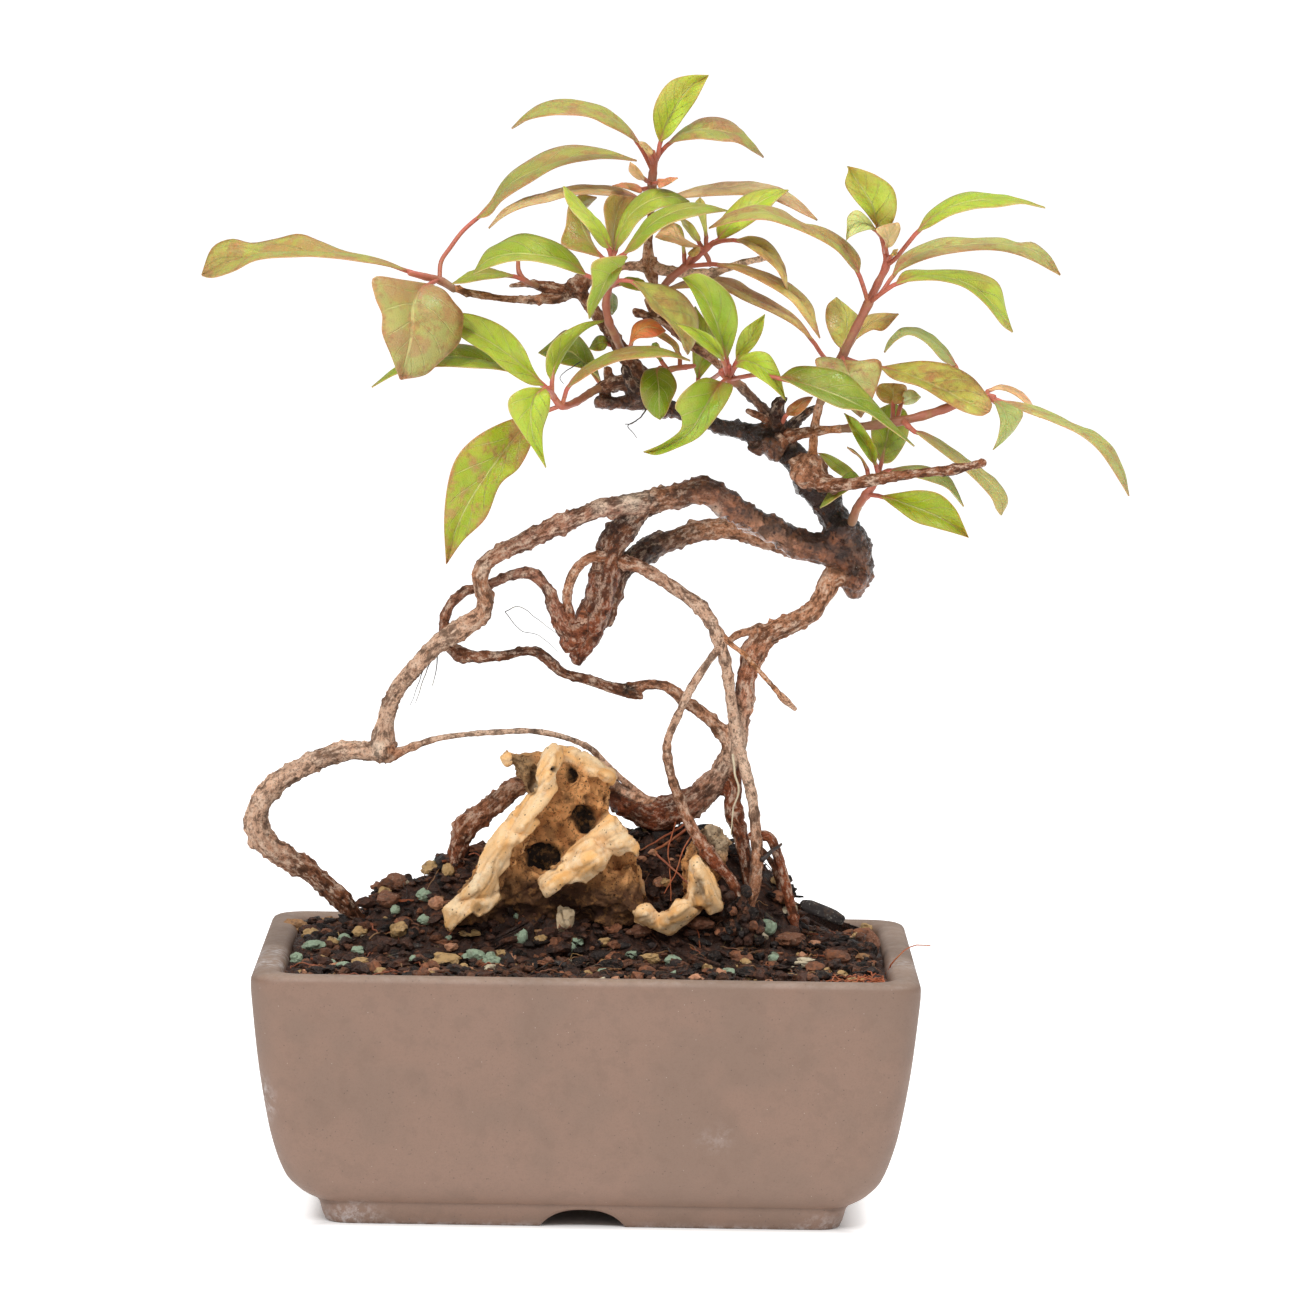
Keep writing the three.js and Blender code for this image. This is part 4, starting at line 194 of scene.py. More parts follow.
    "rootRight": [(752, 836, -2, 1.7), (769, 837, -1, 1.6), (776, 851, 0, 1.6), (782, 870, 0, 1.6),
        (787, 890, 0, 1.6), (793, 915, 0, 1.5), (797, 940, 0, 1.1)],
    "rootThin": [(757, 846, -2, 1.1), (772, 863, 2, 0.9), (779, 885, 4, 0.9), (786, 912, 5, 0.9),
        (788, 938, 5, 0.8)],
}
# Knots and burrs on them: column, row, depth, radius.
KNOTS = [(581, 284, 3, 3.4), (566, 295, 3, 2), (540, 301, 3, 2), (650, 263, 2, 3), (704, 483, -6, 2.6),
         (775, 446, -2, 4.4), (812, 468, -4, 4.6), (804, 474, -4, 3.8), (857, 580, 3, 4.4),
         (841, 529, 1, 4.6), (640, 392, -1, 3.6), (664, 411, -1, 2.4), (384, 748, -1, 3.9),
         (467, 823, 8, 3.2), (590, 620, -3, 4.4), (572, 640, -2, 4), (604, 403, -2, 2.4), (736, 812, 2, 3),
         (760, 634, 3, 3.9), (613, 512, -6, 2.6), (486, 603, -4, 2.8), (661, 385, 0, 3)]
# Shoots and single leaves: the slot of their blades, their stems by stations, their leaves.
SHOOTS = {
    "left_shoot": ("leaf_olive", [
        [(454, 289, 2, 1.3), (441, 281, 2, 1.3), (426, 277, 1, 1.15), (410, 273, 0, 1)],
    ], [
        leaf("olive", 0.5, 1, (3, -7),
             [(424, 276, 1), (408, 271, 0), (380, 262, -1), (340, 256, -2), (300, 255, -2), (260, 257, -1),
              (225, 264, 1), (201, 276, 3)],
             [(380, 259), (345, 251), (320, 241), (299, 234), (275, 239), (252, 243), (232, 239), (212, 248)],
             [(375, 264), (330, 258), (300, 257), (258, 260), (235, 271), (213, 278)]),
        leaf("olive", 0.45, 4, (5, -5),
             [(440, 280, 2), (441, 262, 3), (450, 248, 4), (462, 232, 5), (476, 219, 6), (494, 203, 7),
              (515, 182, 8), (550, 166, 9), (590, 157, 9), (638, 161, 8)],
             [(490, 203), (502, 182), (518, 167), (548, 150), (575, 145), (608, 150)],
             [(490, 215), (503, 200), (528, 184), (558, 167), (590, 160), (612, 159)]),
        leaf("rose_olive", 0.5, 1, (-3, 3),
             [(438, 281, 1), (430, 284, -2), (420, 290, -5), (412, 307, -8), (411, 325, -9), (409, 345, -9),
              (400, 380, -7)],
             [(404, 280), (374, 277), (375, 297), (382, 315), (382, 333), (391, 356)],
             [(444, 290), (454, 302), (463, 314), (462, 332), (458, 345), (440, 362), (425, 375)]),
    ]),
    "left_bract": ("leaf_green", [
        [(537, 286, 4, 0.9), (526, 281, 3, 0.85), (519, 272, 3, 0.75), (518, 260, 4, 0.65)],
    ], [
        leaf("mid", 0.25, 1, (3, -3),
             [(526, 281, 3), (514, 276, 2), (500, 275, 1), (480, 275, 0), (452, 284, -1)],
             [(500, 271), (487, 268), (469, 272)],
             [(500, 278), (482, 280), (466, 283)]),
    ]),
    "middle_shoot": ("leaf_green", [
        [(622, 351, 0, 1.2), (616, 338, -3, 1.25), (609, 322, -6, 1.25), (606, 305, -7, 1.25),
         (608, 288, -8, 1.2), (611, 272, -8, 1.1), (612, 257, -8, 1)],
    ], [
        leaf("bright", 0.15, 1, (3, -3),
             [(612, 262, -8), (615, 252, -7), (620, 234, -6), (632, 214, -5), (652, 201, -5),
              (672, 197, -3), (690, 202, -1)],
             [(616, 234), (622, 215), (633, 200), (648, 190), (664, 189), (678, 194)],
             [(627, 238), (640, 220), (658, 209), (675, 205)]),
        leaf("bright", 0.2, 1, (4, -5),
             [(612, 261, -8), (624, 254, -10), (637, 239, -11), (656, 222, -12), (680, 211, -12),
              (705, 208, -10), (728, 211, -8)],
             [(636, 233), (648, 217), (664, 208), (684, 204), (708, 206)],
             [(637, 249), (652, 235), (670, 224), (692, 217), (712, 213)]),
        leaf("glow", 0.1, 1, (-3, 3),
             [(612, 260, -8), (609, 249, -9), (597, 228, -11), (580, 207, -12), (563, 186, -12)],
             [(600, 245), (585, 225), (572, 211), (565, 198)],
             [(611, 243), (604, 226), (590, 213), (577, 197)]),
        leaf("bright", 0.12, 2, (4, -4),
             [(608, 288, -8), (601, 282, -10), (586, 275, -11), (568, 263, -12), (545, 257, -13),
              (515, 255, -13), (490, 260, -12), (473, 274, -11)],
             [(575, 256), (558, 243), (535, 235), (518, 234), (499, 243), (485, 252)],
             [(576, 273), (555, 266), (530, 261), (508, 262), (488, 268)]),
        leaf("bright", 0.2, 1, (-3, 2),
             [(609, 289, -8), (617, 278, -12), (614, 268, -15), (605, 280, -18), (597, 300, -18),
              (589, 319, -17)],
             [(624, 262), (628, 256), (615, 256), (598, 259), (591, 266), (592, 285), (587, 303)],
             [(623, 267), (616, 280), (606, 292), (597, 306)]),
        leaf("brown", 0.5, 1, (-2, 4),
             [(612, 263, -7), (603, 258, -3), (588, 240, 2), (580, 222, 4), (580, 207, 5), (597, 197, 6)],
             [(588, 254), (562, 245), (566, 225), (569, 205), (580, 195)],
             [(595, 248), (588, 230), (583, 214), (590, 205)]),
        leaf("backlit", 0.4, 1, (-3, 3),
             [(612, 262, -7), (613, 252, -3), (613, 232, 0), (616, 213, 1), (624, 196, 1)],
             [(609, 240), (605, 220), (604, 205), (611, 195)],
             [(619, 240), (626, 221), (637, 203), (633, 197)]),
        leaf("glow_olive", 0.45, 2, (5, -3),
             [(609, 290, -8), (618, 281, -9), (632, 281, -10), (648, 295, -10), (663, 313, -10),
              (677, 332, -9), (688, 355, -7)],
             [(650, 283), (668, 286), (685, 296), (697, 315), (697, 337)],
             [(643, 294), (652, 309), (667, 321), (679, 337), (684, 349)]),
        leaf("deep", 0.1, 1, (2, -2),
             [(608, 287, -7), (610, 291, -3), (612, 302, 0), (612, 315, 1)],
             [(617, 297), (617, 308)],
             [(606, 296), (606, 309)]),
        leaf("fresh", 0.2, 1, (3, -3),
             [(609, 288, -7), (618, 284, -4), (632, 283, -2), (651, 289, -1)],
             [(627, 277), (641, 280)],
             [(627, 288), (641, 291)]),
    ]),
    "top_shoot": ("leaf_olive", [
        [(653, 193, 2, 1.2), (652, 183, 2, 1.5), (653, 172, 2, 1.3), (654, 162, 1, 1.1), (653, 152, 0, 0.8)],
    ], [
        leaf("olive", 0.55, 2, (4, -6),
             [(652, 172, 2), (645, 155, 1), (638, 143, 0), (630, 132, -1), (612, 119, -3), (590, 110, -5),
              (563, 108, -6), (538, 114, -6), (511, 129, -4)],
             [(627, 126), (608, 109), (587, 102), (562, 99), (540, 104), (523, 116)],
             [(624, 134), (606, 125), (588, 117), (562, 115), (540, 117), (523, 122)]),
        leaf("glow", 0.25, 2, (-2, -2),
             [(655, 168, 2), (658, 154, 1), (660, 143, 1), (667, 122, 0), (680, 100, -1), (693, 85, -2),
              (709, 75, -3)],
             [(655, 130), (653, 112), (660, 93), (672, 80), (690, 75)],
             [(672, 134), (685, 116), (695, 102), (704, 85)]),
        leaf("olive", 0.6, 2, (5, -5),
             [(655, 168, 2), (659, 155, 2), (668, 144, 1), (685, 133, 0), (705, 130, -1), (725, 133, -1),
              (745, 142, 0), (764, 158, 2)],
             [(680, 132), (697, 120), (714, 117), (732, 122), (748, 138)],
             [(680, 141), (700, 139), (720, 141), (738, 143), (752, 151)]),
        leaf("peach", 0.1, 1, (1, 1),
             [(653, 165, 1), (650, 157, -1), (645, 149, -2), (637, 141, -3)],
             [(648, 152), (643, 145)],
             [(653, 151), (646, 143)]),
        leaf("peach", 0.1, 1, (2, -1),
             [(652, 184, 1), (645, 180, -1), (637, 172, -3), (630, 162, -4)],
             [(637, 179), (629, 171)],
             [(642, 173), (636, 166)]),
        leaf("ember", 0.15, 1, (2, -1),
             [(652, 184, 1), (658, 183, -2), (668, 181, -4), (678, 178, -5)],
             [(658, 179), (668, 179)],
             [(659, 188), (669, 184)]),
        leaf("ember", 0.15, 1, (2, -1),
             [(652, 188, 2), (643, 189, 4), (630, 187, 5), (612, 186, 5)],
             [(636, 184), (624, 183)],
             [(640, 193), (627, 189)]),
        leaf("rose", 0.4, 1, (5, -4),
             [(652, 190, 3), (641, 199, 6), (622, 194, 7), (600, 190, 7), (575, 191, 6), (545, 198, 5),
              (512, 210, 3), (488, 229, 1)],
             [(623, 189), (600, 186), (572, 187), (548, 195), (522, 201), (503, 210)],
             [(622, 197), (600, 195), (575, 195), (548, 202), (525, 207), (505, 216)]),
        leaf("rose", 0.45, 1, (5, -4),
             [(652, 190, 3), (662, 200, 6), (682, 195, 7), (705, 190, 7), (735, 188, 6), (765, 190, 5),
              (790, 199, 3), (818, 221, 0)],
             [(682, 193), (708, 185), (735, 182), (762, 185), (785, 192), (803, 205)],
             [(684, 198), (710, 196), (740, 195), (765, 197), (785, 205), (803, 214)]),
    ]),
    "right_inner_shoot": ("leaf_olive", [
        [(659, 306, 1, 1.2), (662, 290, -1, 1.2), (671, 278, -3, 1.2), (685, 267, -4, 1.2),
         (697, 256, -4, 1.1), (707, 248, -4, 1), (714, 242, -4, 0.8)],
        [(703, 251, -4, 0.8), (708, 258, -3, 0.8), (710, 265, -2, 0.7)],
    ], [
        leaf("fresh", 0.2, 1, (2, -2),
             [(711, 245, -4), (718, 240, -4), (728, 228, -4), (745, 213, -4), (765, 200, -2), (789, 190, -1)],
             [(717, 226), (728, 210), (745, 195), (765, 189)],
             [(728, 237), (746, 227), (764, 214), (776, 201)]),
        leaf("warm", 0.5, 2, (3, -4),
             [(711, 245, -4), (722, 241, -6), (736, 240, -8), (755, 245, -10), (772, 257, -11),
              (783, 273, -12), (787, 291, -12)],
             [(750, 236), (766, 240), (778, 253), (785, 272)],
             [(748, 247), (762, 257), (775, 268), (783, 281)]),
        leaf("warm", 0.55, 2, (4, -4),
             [(686, 268, -4), (700, 265, -6), (716, 264, -7), (745, 270, -9), (775, 282, -11),
              (798, 301, -12), (811, 320, -12), (820, 339, -11)],
             [(742, 265), (772, 275), (796, 288), (812, 305), (816, 322)],
             [(740, 272), (765, 284), (790, 300), (806, 320)]),
        leaf("glow_olive", 0.3, 1, (1, -1),
             [(704, 249, -4), (699, 243, -2), (690, 229, 0), (679, 216, 1)],
             [(693, 239), (684, 227)],
             [(700, 237), (692, 224)]),
        leaf("glow_olive", 0.2, 1, (1, -1),
             [(706, 248, -4), (706, 238, -3), (704, 223, -1), (701, 208, 1), (700, 197, 1)],
             [(703, 228), (697, 212), (695, 203)],
             [(707, 230), (706, 212), (705, 203)]),
        leaf("glow_olive", 0.3, 1, (1, -1),
             [(686, 267, -4), (684, 255, -4), (681, 238, -3), (672, 222, -2)],
             [(681, 243), (675, 229)],
             [(685, 242), (681, 227)]),
        leaf("warm", 0.3, 1, (1, -1),
             [(688, 265, -4), (690, 257, -6), (695, 251, -6), (700, 247, -6)],
             [(688, 253), (694, 248)],
             [(696, 256), (700, 251)]),
        leaf("peach", 0.1, 1, (2, -2),
             [(703, 250, -4), (698, 247, -5), (686, 243, -6), (670, 237, -6), (655, 237, -6)],
             [(684, 238), (673, 222), (662, 229)],
             [(686, 247), (674, 243), (662, 240)]),
    ]),
    "right_outer_shoot": ("leaf_green", [
        [(820, 403, -2, 1.35), (828, 385, -2, 1.35), (842, 357, -1, 1.4), (855, 330, -1, 1.3),
         (868, 304, -1, 1.4), (878, 283, -1, 1.1), (886, 266, -1, 1.2), (885, 250, -1, 0.9),
         (880, 232, -2, 0.75)],
    ], [
        leaf("olive", 0.6, 2, (5, -4),
             [(868, 304, -1), (865, 292, -3), (859, 274, -5), (847, 254, -7), (822, 236, -10),
              (795, 224, -12), (765, 214, -13), (735, 216, -13), (708, 229, -12)],
             [(860, 258), (845, 240), (822, 227), (800, 225), (780, 210), (760, 206), (732, 212)],
             [(852, 268), (836, 250), (814, 237), (790, 227), (765, 220), (735, 222)]),
        leaf("warm", 0.6, 3, (5, -4),
             [(842, 360, -1), (832, 363, 1), (823, 356, 2), (813, 341, 2), (797, 323, 2), (772, 308, 2),
              (748, 297, 2), (722, 285, 3), (690, 283, 4), (664, 290, 4)],
             [(797, 319), (775, 302), (752, 290), (733, 279), (710, 278), (685, 282)],
             [(792, 324), (770, 312), (745, 301), (722, 290), (690, 288)]),
        leaf("glow", 0.3, 1, (-2, -2),
             [(881, 238, -2), (878, 229, -3), (873, 208, -5), (862, 188, -6), (847, 166, -6)],
             [(866, 213), (853, 198), (845, 184), (848, 171)],
             [(891, 225), (897, 207), (893, 188), (878, 176), (861, 169)]),
        leaf("milky", 0.1, 1, (-1, -2),
             [(881, 236, -2), (876, 230, -5), (862, 223, -8), (853, 226, -9), (846, 241, -9)],
             [(868, 218), (857, 210), (848, 216), (847, 228)],
             [(868, 230), (858, 233), (850, 237)]),
        leaf("rose", 0.2, 1, (-2, 1),
             [(884, 254, -1), (886, 248, -4), (889, 237, -6), (894, 223, -7)],
             [(884, 240), (876, 230), (884, 225)],
             [(893, 245), (900, 231), (899, 223)]),
        leaf("warm", 0.3, 1, (1, -1),
             [(886, 262, -1), (891, 256, -3), (898, 249, -4)],
             [(893, 251)],
             [(896, 255)]),
        leaf("fresh", 0.2, 3, (4, -4),
             [(887, 266, -1), (895, 259, -2), (905, 247, -3), (917, 232, -4), (940, 213, -6),
              (970, 202, -7), (1008, 201, -8), (1046, 208, -8)],
             [(927, 214), (947, 199), (968, 192), (992, 194), (1020, 199)],
             [(930, 227), (950, 216), (975, 209), (1000, 207), (1022, 204)]),
        leaf("milky_olive", 0.45, 2, (5, -4),
             [(869, 304, 0), (880, 294, 2), (892, 277, 4), (905, 262, 5), (930, 251, 6), (960, 246, 7),
              (1000, 245, 7), (1032, 251, 6), (1061, 276, 4)],
             [(900, 257), (925, 243), (950, 237), (985, 240), (1004, 239), (1019, 247), (1032, 242),
              (1050, 256)],
             [(905, 268), (930, 258), (960, 252), (990, 250), (1015, 254), (1035, 262), (1050, 270)]),
        leaf("glow", 0.35, 2, (4, -3),
             [(869, 305, -1), (882, 293, -3), (895, 284, -4), (920, 277, -5), (950, 279, -6),
              (975, 290, -6), (998, 312, -5), (1013, 333, -4)],
             [(905, 271), (930, 270), (960, 270), (985, 275), (1000, 286), (1006, 310)],
             [(915, 281), (940, 281), (965, 288), (985, 304), (1002, 325)]),
        leaf("glow_olive", 0.3, 1, (-2, 2),
             [(842, 358, -1), (842, 350, 3), (845, 335, 5), (846, 315, 6), (836, 297, 6)],
             [(833, 340), (826, 322), (827, 306)],
             [(853, 338), (860, 320), (850, 308)]),
        leaf("warm", 0.4, 1, (2, -2),
             [(843, 356, -1), (849, 347, 4), (860, 332, 6), (876, 321, 7), (899, 314, 7)],
             [(854, 328), (866, 316), (882, 313)],
             [(858, 338), (872, 330), (884, 330)]),
        leaf("rose_olive", 0.6, 1, (-1, 1),
             [(842, 358, -1), (843, 360, -4), (849, 376, -7), (855, 396, -8), (861, 418, -7)],
             [(828, 357), (815, 360), (823, 378), (838, 397), (852, 411)],
             [(858, 361), (876, 359), (882, 366), (878, 384), (871, 402)]),
        leaf("yellow", 0.55, 2, (3, -3),
             [(843, 358, -1), (862, 364, -1), (880, 367, -1), (910, 376, -2), (940, 389, -5),
              (965, 402, -8), (990, 412, -9)],
             [(902, 363), (925, 361), (950, 365), (972, 377), (985, 392), (992, 404)],
             [(893, 379), (920, 387), (942, 400), (962, 411), (980, 416)]),
    ]),
    "front_shoot": ("leaf_green", [
        [(737, 384, -1.2, 1.4), (729, 378, -2.2, 1.6), (722, 372, -3, 1.3)],
        [(731, 379, -2, 1.2), (728, 366, -5, 1.1)],
    ], [
        leaf("green", 0.08, 1, (-2, -2),
             [(728, 374, -3), (727, 360, -6), (721, 338, -9), (712, 313, -11), (702, 293, -12),
              (682, 278, -12)],
             [(716, 340), (704, 318), (695, 298), (689, 287)],
             [(734, 342), (738, 320), (732, 297), (716, 281), (698, 273)]),
        leaf("fresh", 0.05, 1, (-1, -2),
             [(728, 376, -3), (724, 362, -8), (717, 350, -11), (706, 339, -13), (692, 330, -14),
              (675, 323, -14)],
             [(722, 348), (712, 336), (695, 328)],
             [(714, 355), (702, 346), (688, 334)]),
        leaf("glow", 0.08, 1, (-1, -1),
             [(730, 376, -3), (736, 362, -4), (741, 352, -4), (752, 335, -5), (765, 314, -6)],
             [(736, 346), (742, 331), (753, 322)],
             [(749, 352), (758, 341), (763, 329)]),
        leaf("fresh", 0.1, 1, (-1, -2),
             [(731, 377, -4), (735, 367, -7), (744, 361, -9), (760, 366, -10), (774, 381, -10),
              (786, 401, -9)],
             [(743, 356), (757, 351), (770, 355), (779, 372), (783, 388)],
             [(746, 370), (758, 378), (770, 386), (779, 394)]),
        leaf("green", 0.2, 1, (-2, -1),
             [(728, 379, -4), (722, 382, -7), (713, 394, -10), (702, 412, -12), (690, 431, -13),
              (670, 445, -13), (643, 452, -12)],
             [(703, 378), (683, 392), (675, 407), (681, 416), (680, 430), (663, 443)],
             [(733, 386), (727, 402), (712, 423), (698, 438), (680, 447), (658, 455)]),
        leaf("green", 0.15, 2, (-2, 1),
             [(722, 372, -2), (710, 380, 3), (698, 381, 4), (699, 368, 5), (702, 350, 6), (701, 330, 6),
              (695, 306, 7)],
             [(693, 364), (692, 345), (688, 322)],
             [(710, 366), (719, 355), (711, 330)]),
        leaf("deep", 0.1, 3, (3, -4),
             [(730, 380, -3), (742, 377, -7), (757, 375, -9), (779, 378, -11), (815, 388, -12),
              (850, 402, -13), (883, 422, -13), (915, 447, -12)],
             [(795, 367), (820, 367), (845, 373), (865, 391), (890, 420)],
             [(790, 383), (812, 395), (840, 408), (865, 412), (890, 429)]),
    ]),
    "centre_shoot": ("leaf_green", [
        [(650, 386, -2, 1.1), (658, 375, -4, 1), (672, 369, -5, 0.95), (686, 367, -4, 0.85),
         (694, 366, -3, 0.7)],
    ], [
        leaf("deep", 0.15, 1, (1, 1),
             [(664, 372, -4), (660, 367, -6), (657, 373, -8), (659, 395, -11), (660, 420, -12)],
             [(645, 371), (640, 386), (643, 403), (652, 415)],
             [(670, 371), (677, 386), (671, 402), (666, 414)]),
        leaf("warm", 0.5, 1, (1, -1),
             [(680, 368, -4), (680, 355, -3), (668, 340, -3), (643, 327, -3)],
             [(677, 343), (660, 330)],
             [(672, 346), (655, 335)]),
        leaf("deep", 0.15, 1, (1, -1),
             [(668, 370, -4), (661, 361, -4), (656, 353, -4), (656, 342, -5)],
             [(652, 353), (652, 344)],
             [(661, 354), (659, 345)]),
    ]),
    "ember_leaf": ("leaf_ember", [], [
        leaf("flame", 0.2, 1, (2, -1),
             [(633, 356, 0), (630, 346, -3), (634, 337, -4), (645, 328, -5), (666, 331, -5)],
             [(633, 326), (645, 319), (656, 321)],
             [(637, 339), (648, 338), (658, 336)]),
    ]),
    "lower_left_shoot": ("leaf_green", [
        [(601, 387, -1, 1.3), (590, 393, -3, 1.25), (576, 402, -6, 1.2), (562, 406, -9, 1.2),
         (553, 396, -10, 1), (549, 388, -10, 0.9)],
    ], [
        leaf("green", 0.2, 1, (3, -4),
             [(550, 391, -10), (539, 383, -7), (522, 374, -4), (495, 364, -2), (458, 357, -1),
              (425, 361, 0), (395, 371, 0), (371, 388, -1)],
             [(505, 362), (480, 348), (455, 344), (425, 350), (398, 366)],
             [(505, 371), (470, 368), (435, 367), (400, 373)]),
        leaf("fresh", 0.12, 1, (-1, -2),
             [(552, 394, -10), (545, 386, -11), (532, 374, -11), (512, 357, -10), (488, 341, -6),
              (463, 328, 0), (440, 318, 2)],
             [(534, 370), (524, 348), (508, 330), (488, 319), (463, 313)],
             [(528, 384), (505, 370), (487, 354), (462, 338)]),
        leaf("fresh", 0.1, 1, (-1, 1),
             [(551, 395, -10), (552, 383, -10), (555, 364, -9), (566, 346, -8), (585, 330, -6),
              (605, 320, -4)],
             [(546, 370), (548, 350), (560, 335), (582, 323)],
             [(558, 368), (568, 350), (580, 335), (594, 325)]),
        leaf("fresh", 0.08, 2, (-2, 1),
             [(556, 400, -10), (551, 391, -13), (545, 388, -15), (534, 397, -17), (530, 414, -18),
              (533, 438, -18), (546, 468, -16)],
             [(525, 388), (510, 397), (509, 411), (520, 430), (534, 450)],
             [(550, 396), (549, 411), (543, 430), (543, 450)]),
        leaf("lime", 0.6, 2, (-2, -1),
             [(560, 408, -9), (547, 411, -9), (534, 418, -9), (518, 434, -10), (495, 463, -12),
              (470, 500, -13), (455, 532, -13), (446, 565, -11)],
             [(512, 419), (480, 434), (458, 455), (448, 482), (444, 520)],
             [(532, 442), (519, 468), (500, 485), (486, 518), (463, 541)]),
        leaf("brown", 0.5, 1, (4, -4),
             [(562, 405, -9), (567, 388, -11), (580, 374, -12), (600, 362, -13), (625, 354, -14),
              (655, 353, -14), (691, 361, -13)],
             [(575, 377), (592, 362), (615, 351), (642, 347), (668, 350)],
             [(578, 382), (597, 370), (620, 361), (645, 358), (670, 357)]),
    ]),
    "back_leaf": ("leaf_green", [], [
        leaf("deep", 0.1, 1, (3, -3),
             [(611, 387, 0), (601, 384, 3), (588, 368, 5), (568, 352, 5), (538, 353, 6)],
             [(594, 358), (581, 338), (566, 330), (551, 342)],
             [(596, 374), (580, 368), (558, 363)]),
    ]),
    "crown_leaf": ("leaf_green", [], [
        leaf("deep", 0.15, 1, (2, -1),
             [(617, 347, 3), (608, 344, 2), (600, 343, 0), (589, 349, -1)],
             [(604, 336), (596, 337)],
             [(604, 350), (596, 351)]),
    ]),
    "rust_leaf": ("leaf_ember", [], [
        leaf("rust", 0.4, 1, (1, -1),
             [(782, 423, -1.2), (786, 415, -5), (795, 409, -7), (804, 402, -8), (813, 397, -8)],
             [(788, 407), (797, 400), (806, 397)],
             [(796, 416), (804, 410), (810, 402)]),
    ]),
    "far_right_shoot": ("leaf_green", [
        [(840, 429, -2, 1.3), (850, 428, -2, 1.3), (875, 425, -2, 1.3), (900, 421, -2, 1.3),
         (922, 416, -2, 1.3), (944, 409, -2, 1.3), (960, 403, -2, 1.3), (975, 399, -1, 1.2),
         (988, 397, 0, 1.1), (994, 397, 0, 0.9)],
        [(960, 403, -2, 1), (961, 388, 2, 0.8), (957, 372, 4, 0.75)],
        [(905, 420, -2, 1.1), (908, 426, -4, 0.9), (915, 432, -4, 0.75)],
    ], [
        leaf("rose_olive", 0.25, 1, (4, -3),
             [(906, 422, -4), (914, 431, -4), (928, 437, -3), (948, 450, -2), (970, 467, -2),
              (990, 484, -3), (1001, 500, -4), (1001, 516, -4)],
             [(926, 433), (950, 447), (972, 464), (997, 481), (1008, 500)],
             [(925, 440), (946, 456), (970, 475), (990, 496), (996, 509)]),
        leaf("backlit", 0.35, 2, (-1, -1),
             [(892, 422, -1), (893, 412, 1), (893, 404, 2), (893, 394, 3), (894, 383, 3)],
             [(883, 402), (876, 393), (880, 384)],
             [(901, 403), (907, 392), (905, 385)]),
        leaf("milky", 0.15, 1, (-1, 1),
             [(893, 412, 1), (901, 404, 3), (910, 398, 4), (921, 397, 4)],
             [(904, 392), (913, 390)],
             [(906, 405), (915, 403)]),
        leaf("pale", 0.1, 1, (4, -4),
             [(959, 378, 4), (956, 366, 4), (945, 353, 4), (930, 340, 3), (912, 333, 2), (897, 338, 1),
              (884, 353, 0)],
             [(946, 349), (930, 334), (912, 329), (899, 331), (888, 342)],
             [(943, 361), (926, 343), (910, 335), (897, 340)]),
        leaf("milky_olive", 0.4, 1, (4, -4),
             [(989, 397, 0), (1000, 401, 0), (1025, 407, 0), (1055, 418, 0), (1080, 431, 0), (1104, 448, 0),
              (1120, 471, 1), (1129, 497, 2)],
             [(1025, 404), (1050, 412), (1075, 427), (1096, 433), (1113, 449), (1124, 472)],
             [(1025, 412), (1052, 422), (1080, 435), (1100, 452), (1117, 477)]),
        leaf("peach", 0.3, 1, (2, -2),
             [(988, 397, 0), (987, 391, 2), (1002, 387, 4), (1020, 395, 5), (1040, 418, 6)],
             [(1003, 385), (1022, 393)],
             [(1002, 390), (1019, 398)]),
        leaf("pale", 0.1, 1, (1, -1),
             [(990, 397, 0), (993, 400, -3), (1004, 411, -6), (1006, 427, -7), (993, 450, -7)],
             [(1006, 403), (1023, 412), (1016, 428), (1004, 441)],
             [(997, 410), (1000, 422), (998, 437)]),
    ]),
    "lower_right_shoot": ("leaf_green", [
        [(852, 522, -1, 1.5), (857, 508, -3, 1.3), (866, 495, -5, 1.4), (873, 486, -5, 1.1),
         (879, 473, -4, 1)],
    ], [
        leaf("green", 0.1, 1, (2, 2),
             [(879, 475, -4), (881, 464, -2), (886, 442, 3), (890, 421, 6), (893, 402, 8)],
             [(875, 453), (871, 433), (874, 413)],
             [(894, 460), (908, 436), (907, 413)]),
        leaf("green", 0.08, 1, (-2, -2),
             [(878, 475, -4), (876, 466, -5), (868, 449, -7), (858, 432, -8), (844, 413, -8)],
             [(867, 457), (856, 440), (849, 425)],
             [(877, 451), (868, 434), (857, 420)]),
        leaf("lime", 0.25, 1, (-1, -3),
             [(867, 495, -5), (880, 496, -7), (900, 502, -9), (925, 511, -11), (945, 521, -12),
              (969, 538, -12)],
             [(897, 493), (920, 490), (940, 494), (955, 508), (963, 524)],
             [(895, 508), (915, 522), (935, 528), (953, 533)]),
        leaf("pale", 0.1, 1, (2, -1),
             [(879, 475, -4), (889, 470, -2), (915, 471, -1), (940, 480, -1), (964, 507, 0)],
             [(905, 466), (926, 466), (948, 476), (957, 490)],
             [(905, 475), (928, 481), (948, 489)]),
        leaf("deep", 0.1, 1, (2, -2),
             [(873, 486, -5), (862, 480, -4), (847, 484, -4), (834, 494, -5), (820, 508, -6)],
             [(852, 471), (838, 481), (827, 495)],
             [(852, 488), (838, 497), (828, 504)]),
        leaf("fresh", 0.1, 1, (1, -1),
             [(872, 486, -5), (860, 479, -2), (846, 472, 2), (833, 463, 5), (818, 453, 7)],
             [(850, 467), (838, 459), (827, 454)],
             [(846, 478), (834, 471), (825, 462)]),
        leaf("rust", 0.2, 1, (1, -1),
             [(871, 488, -5), (867, 470, -4), (862, 460, -6), (856, 453, -8), (847, 447, -9)],
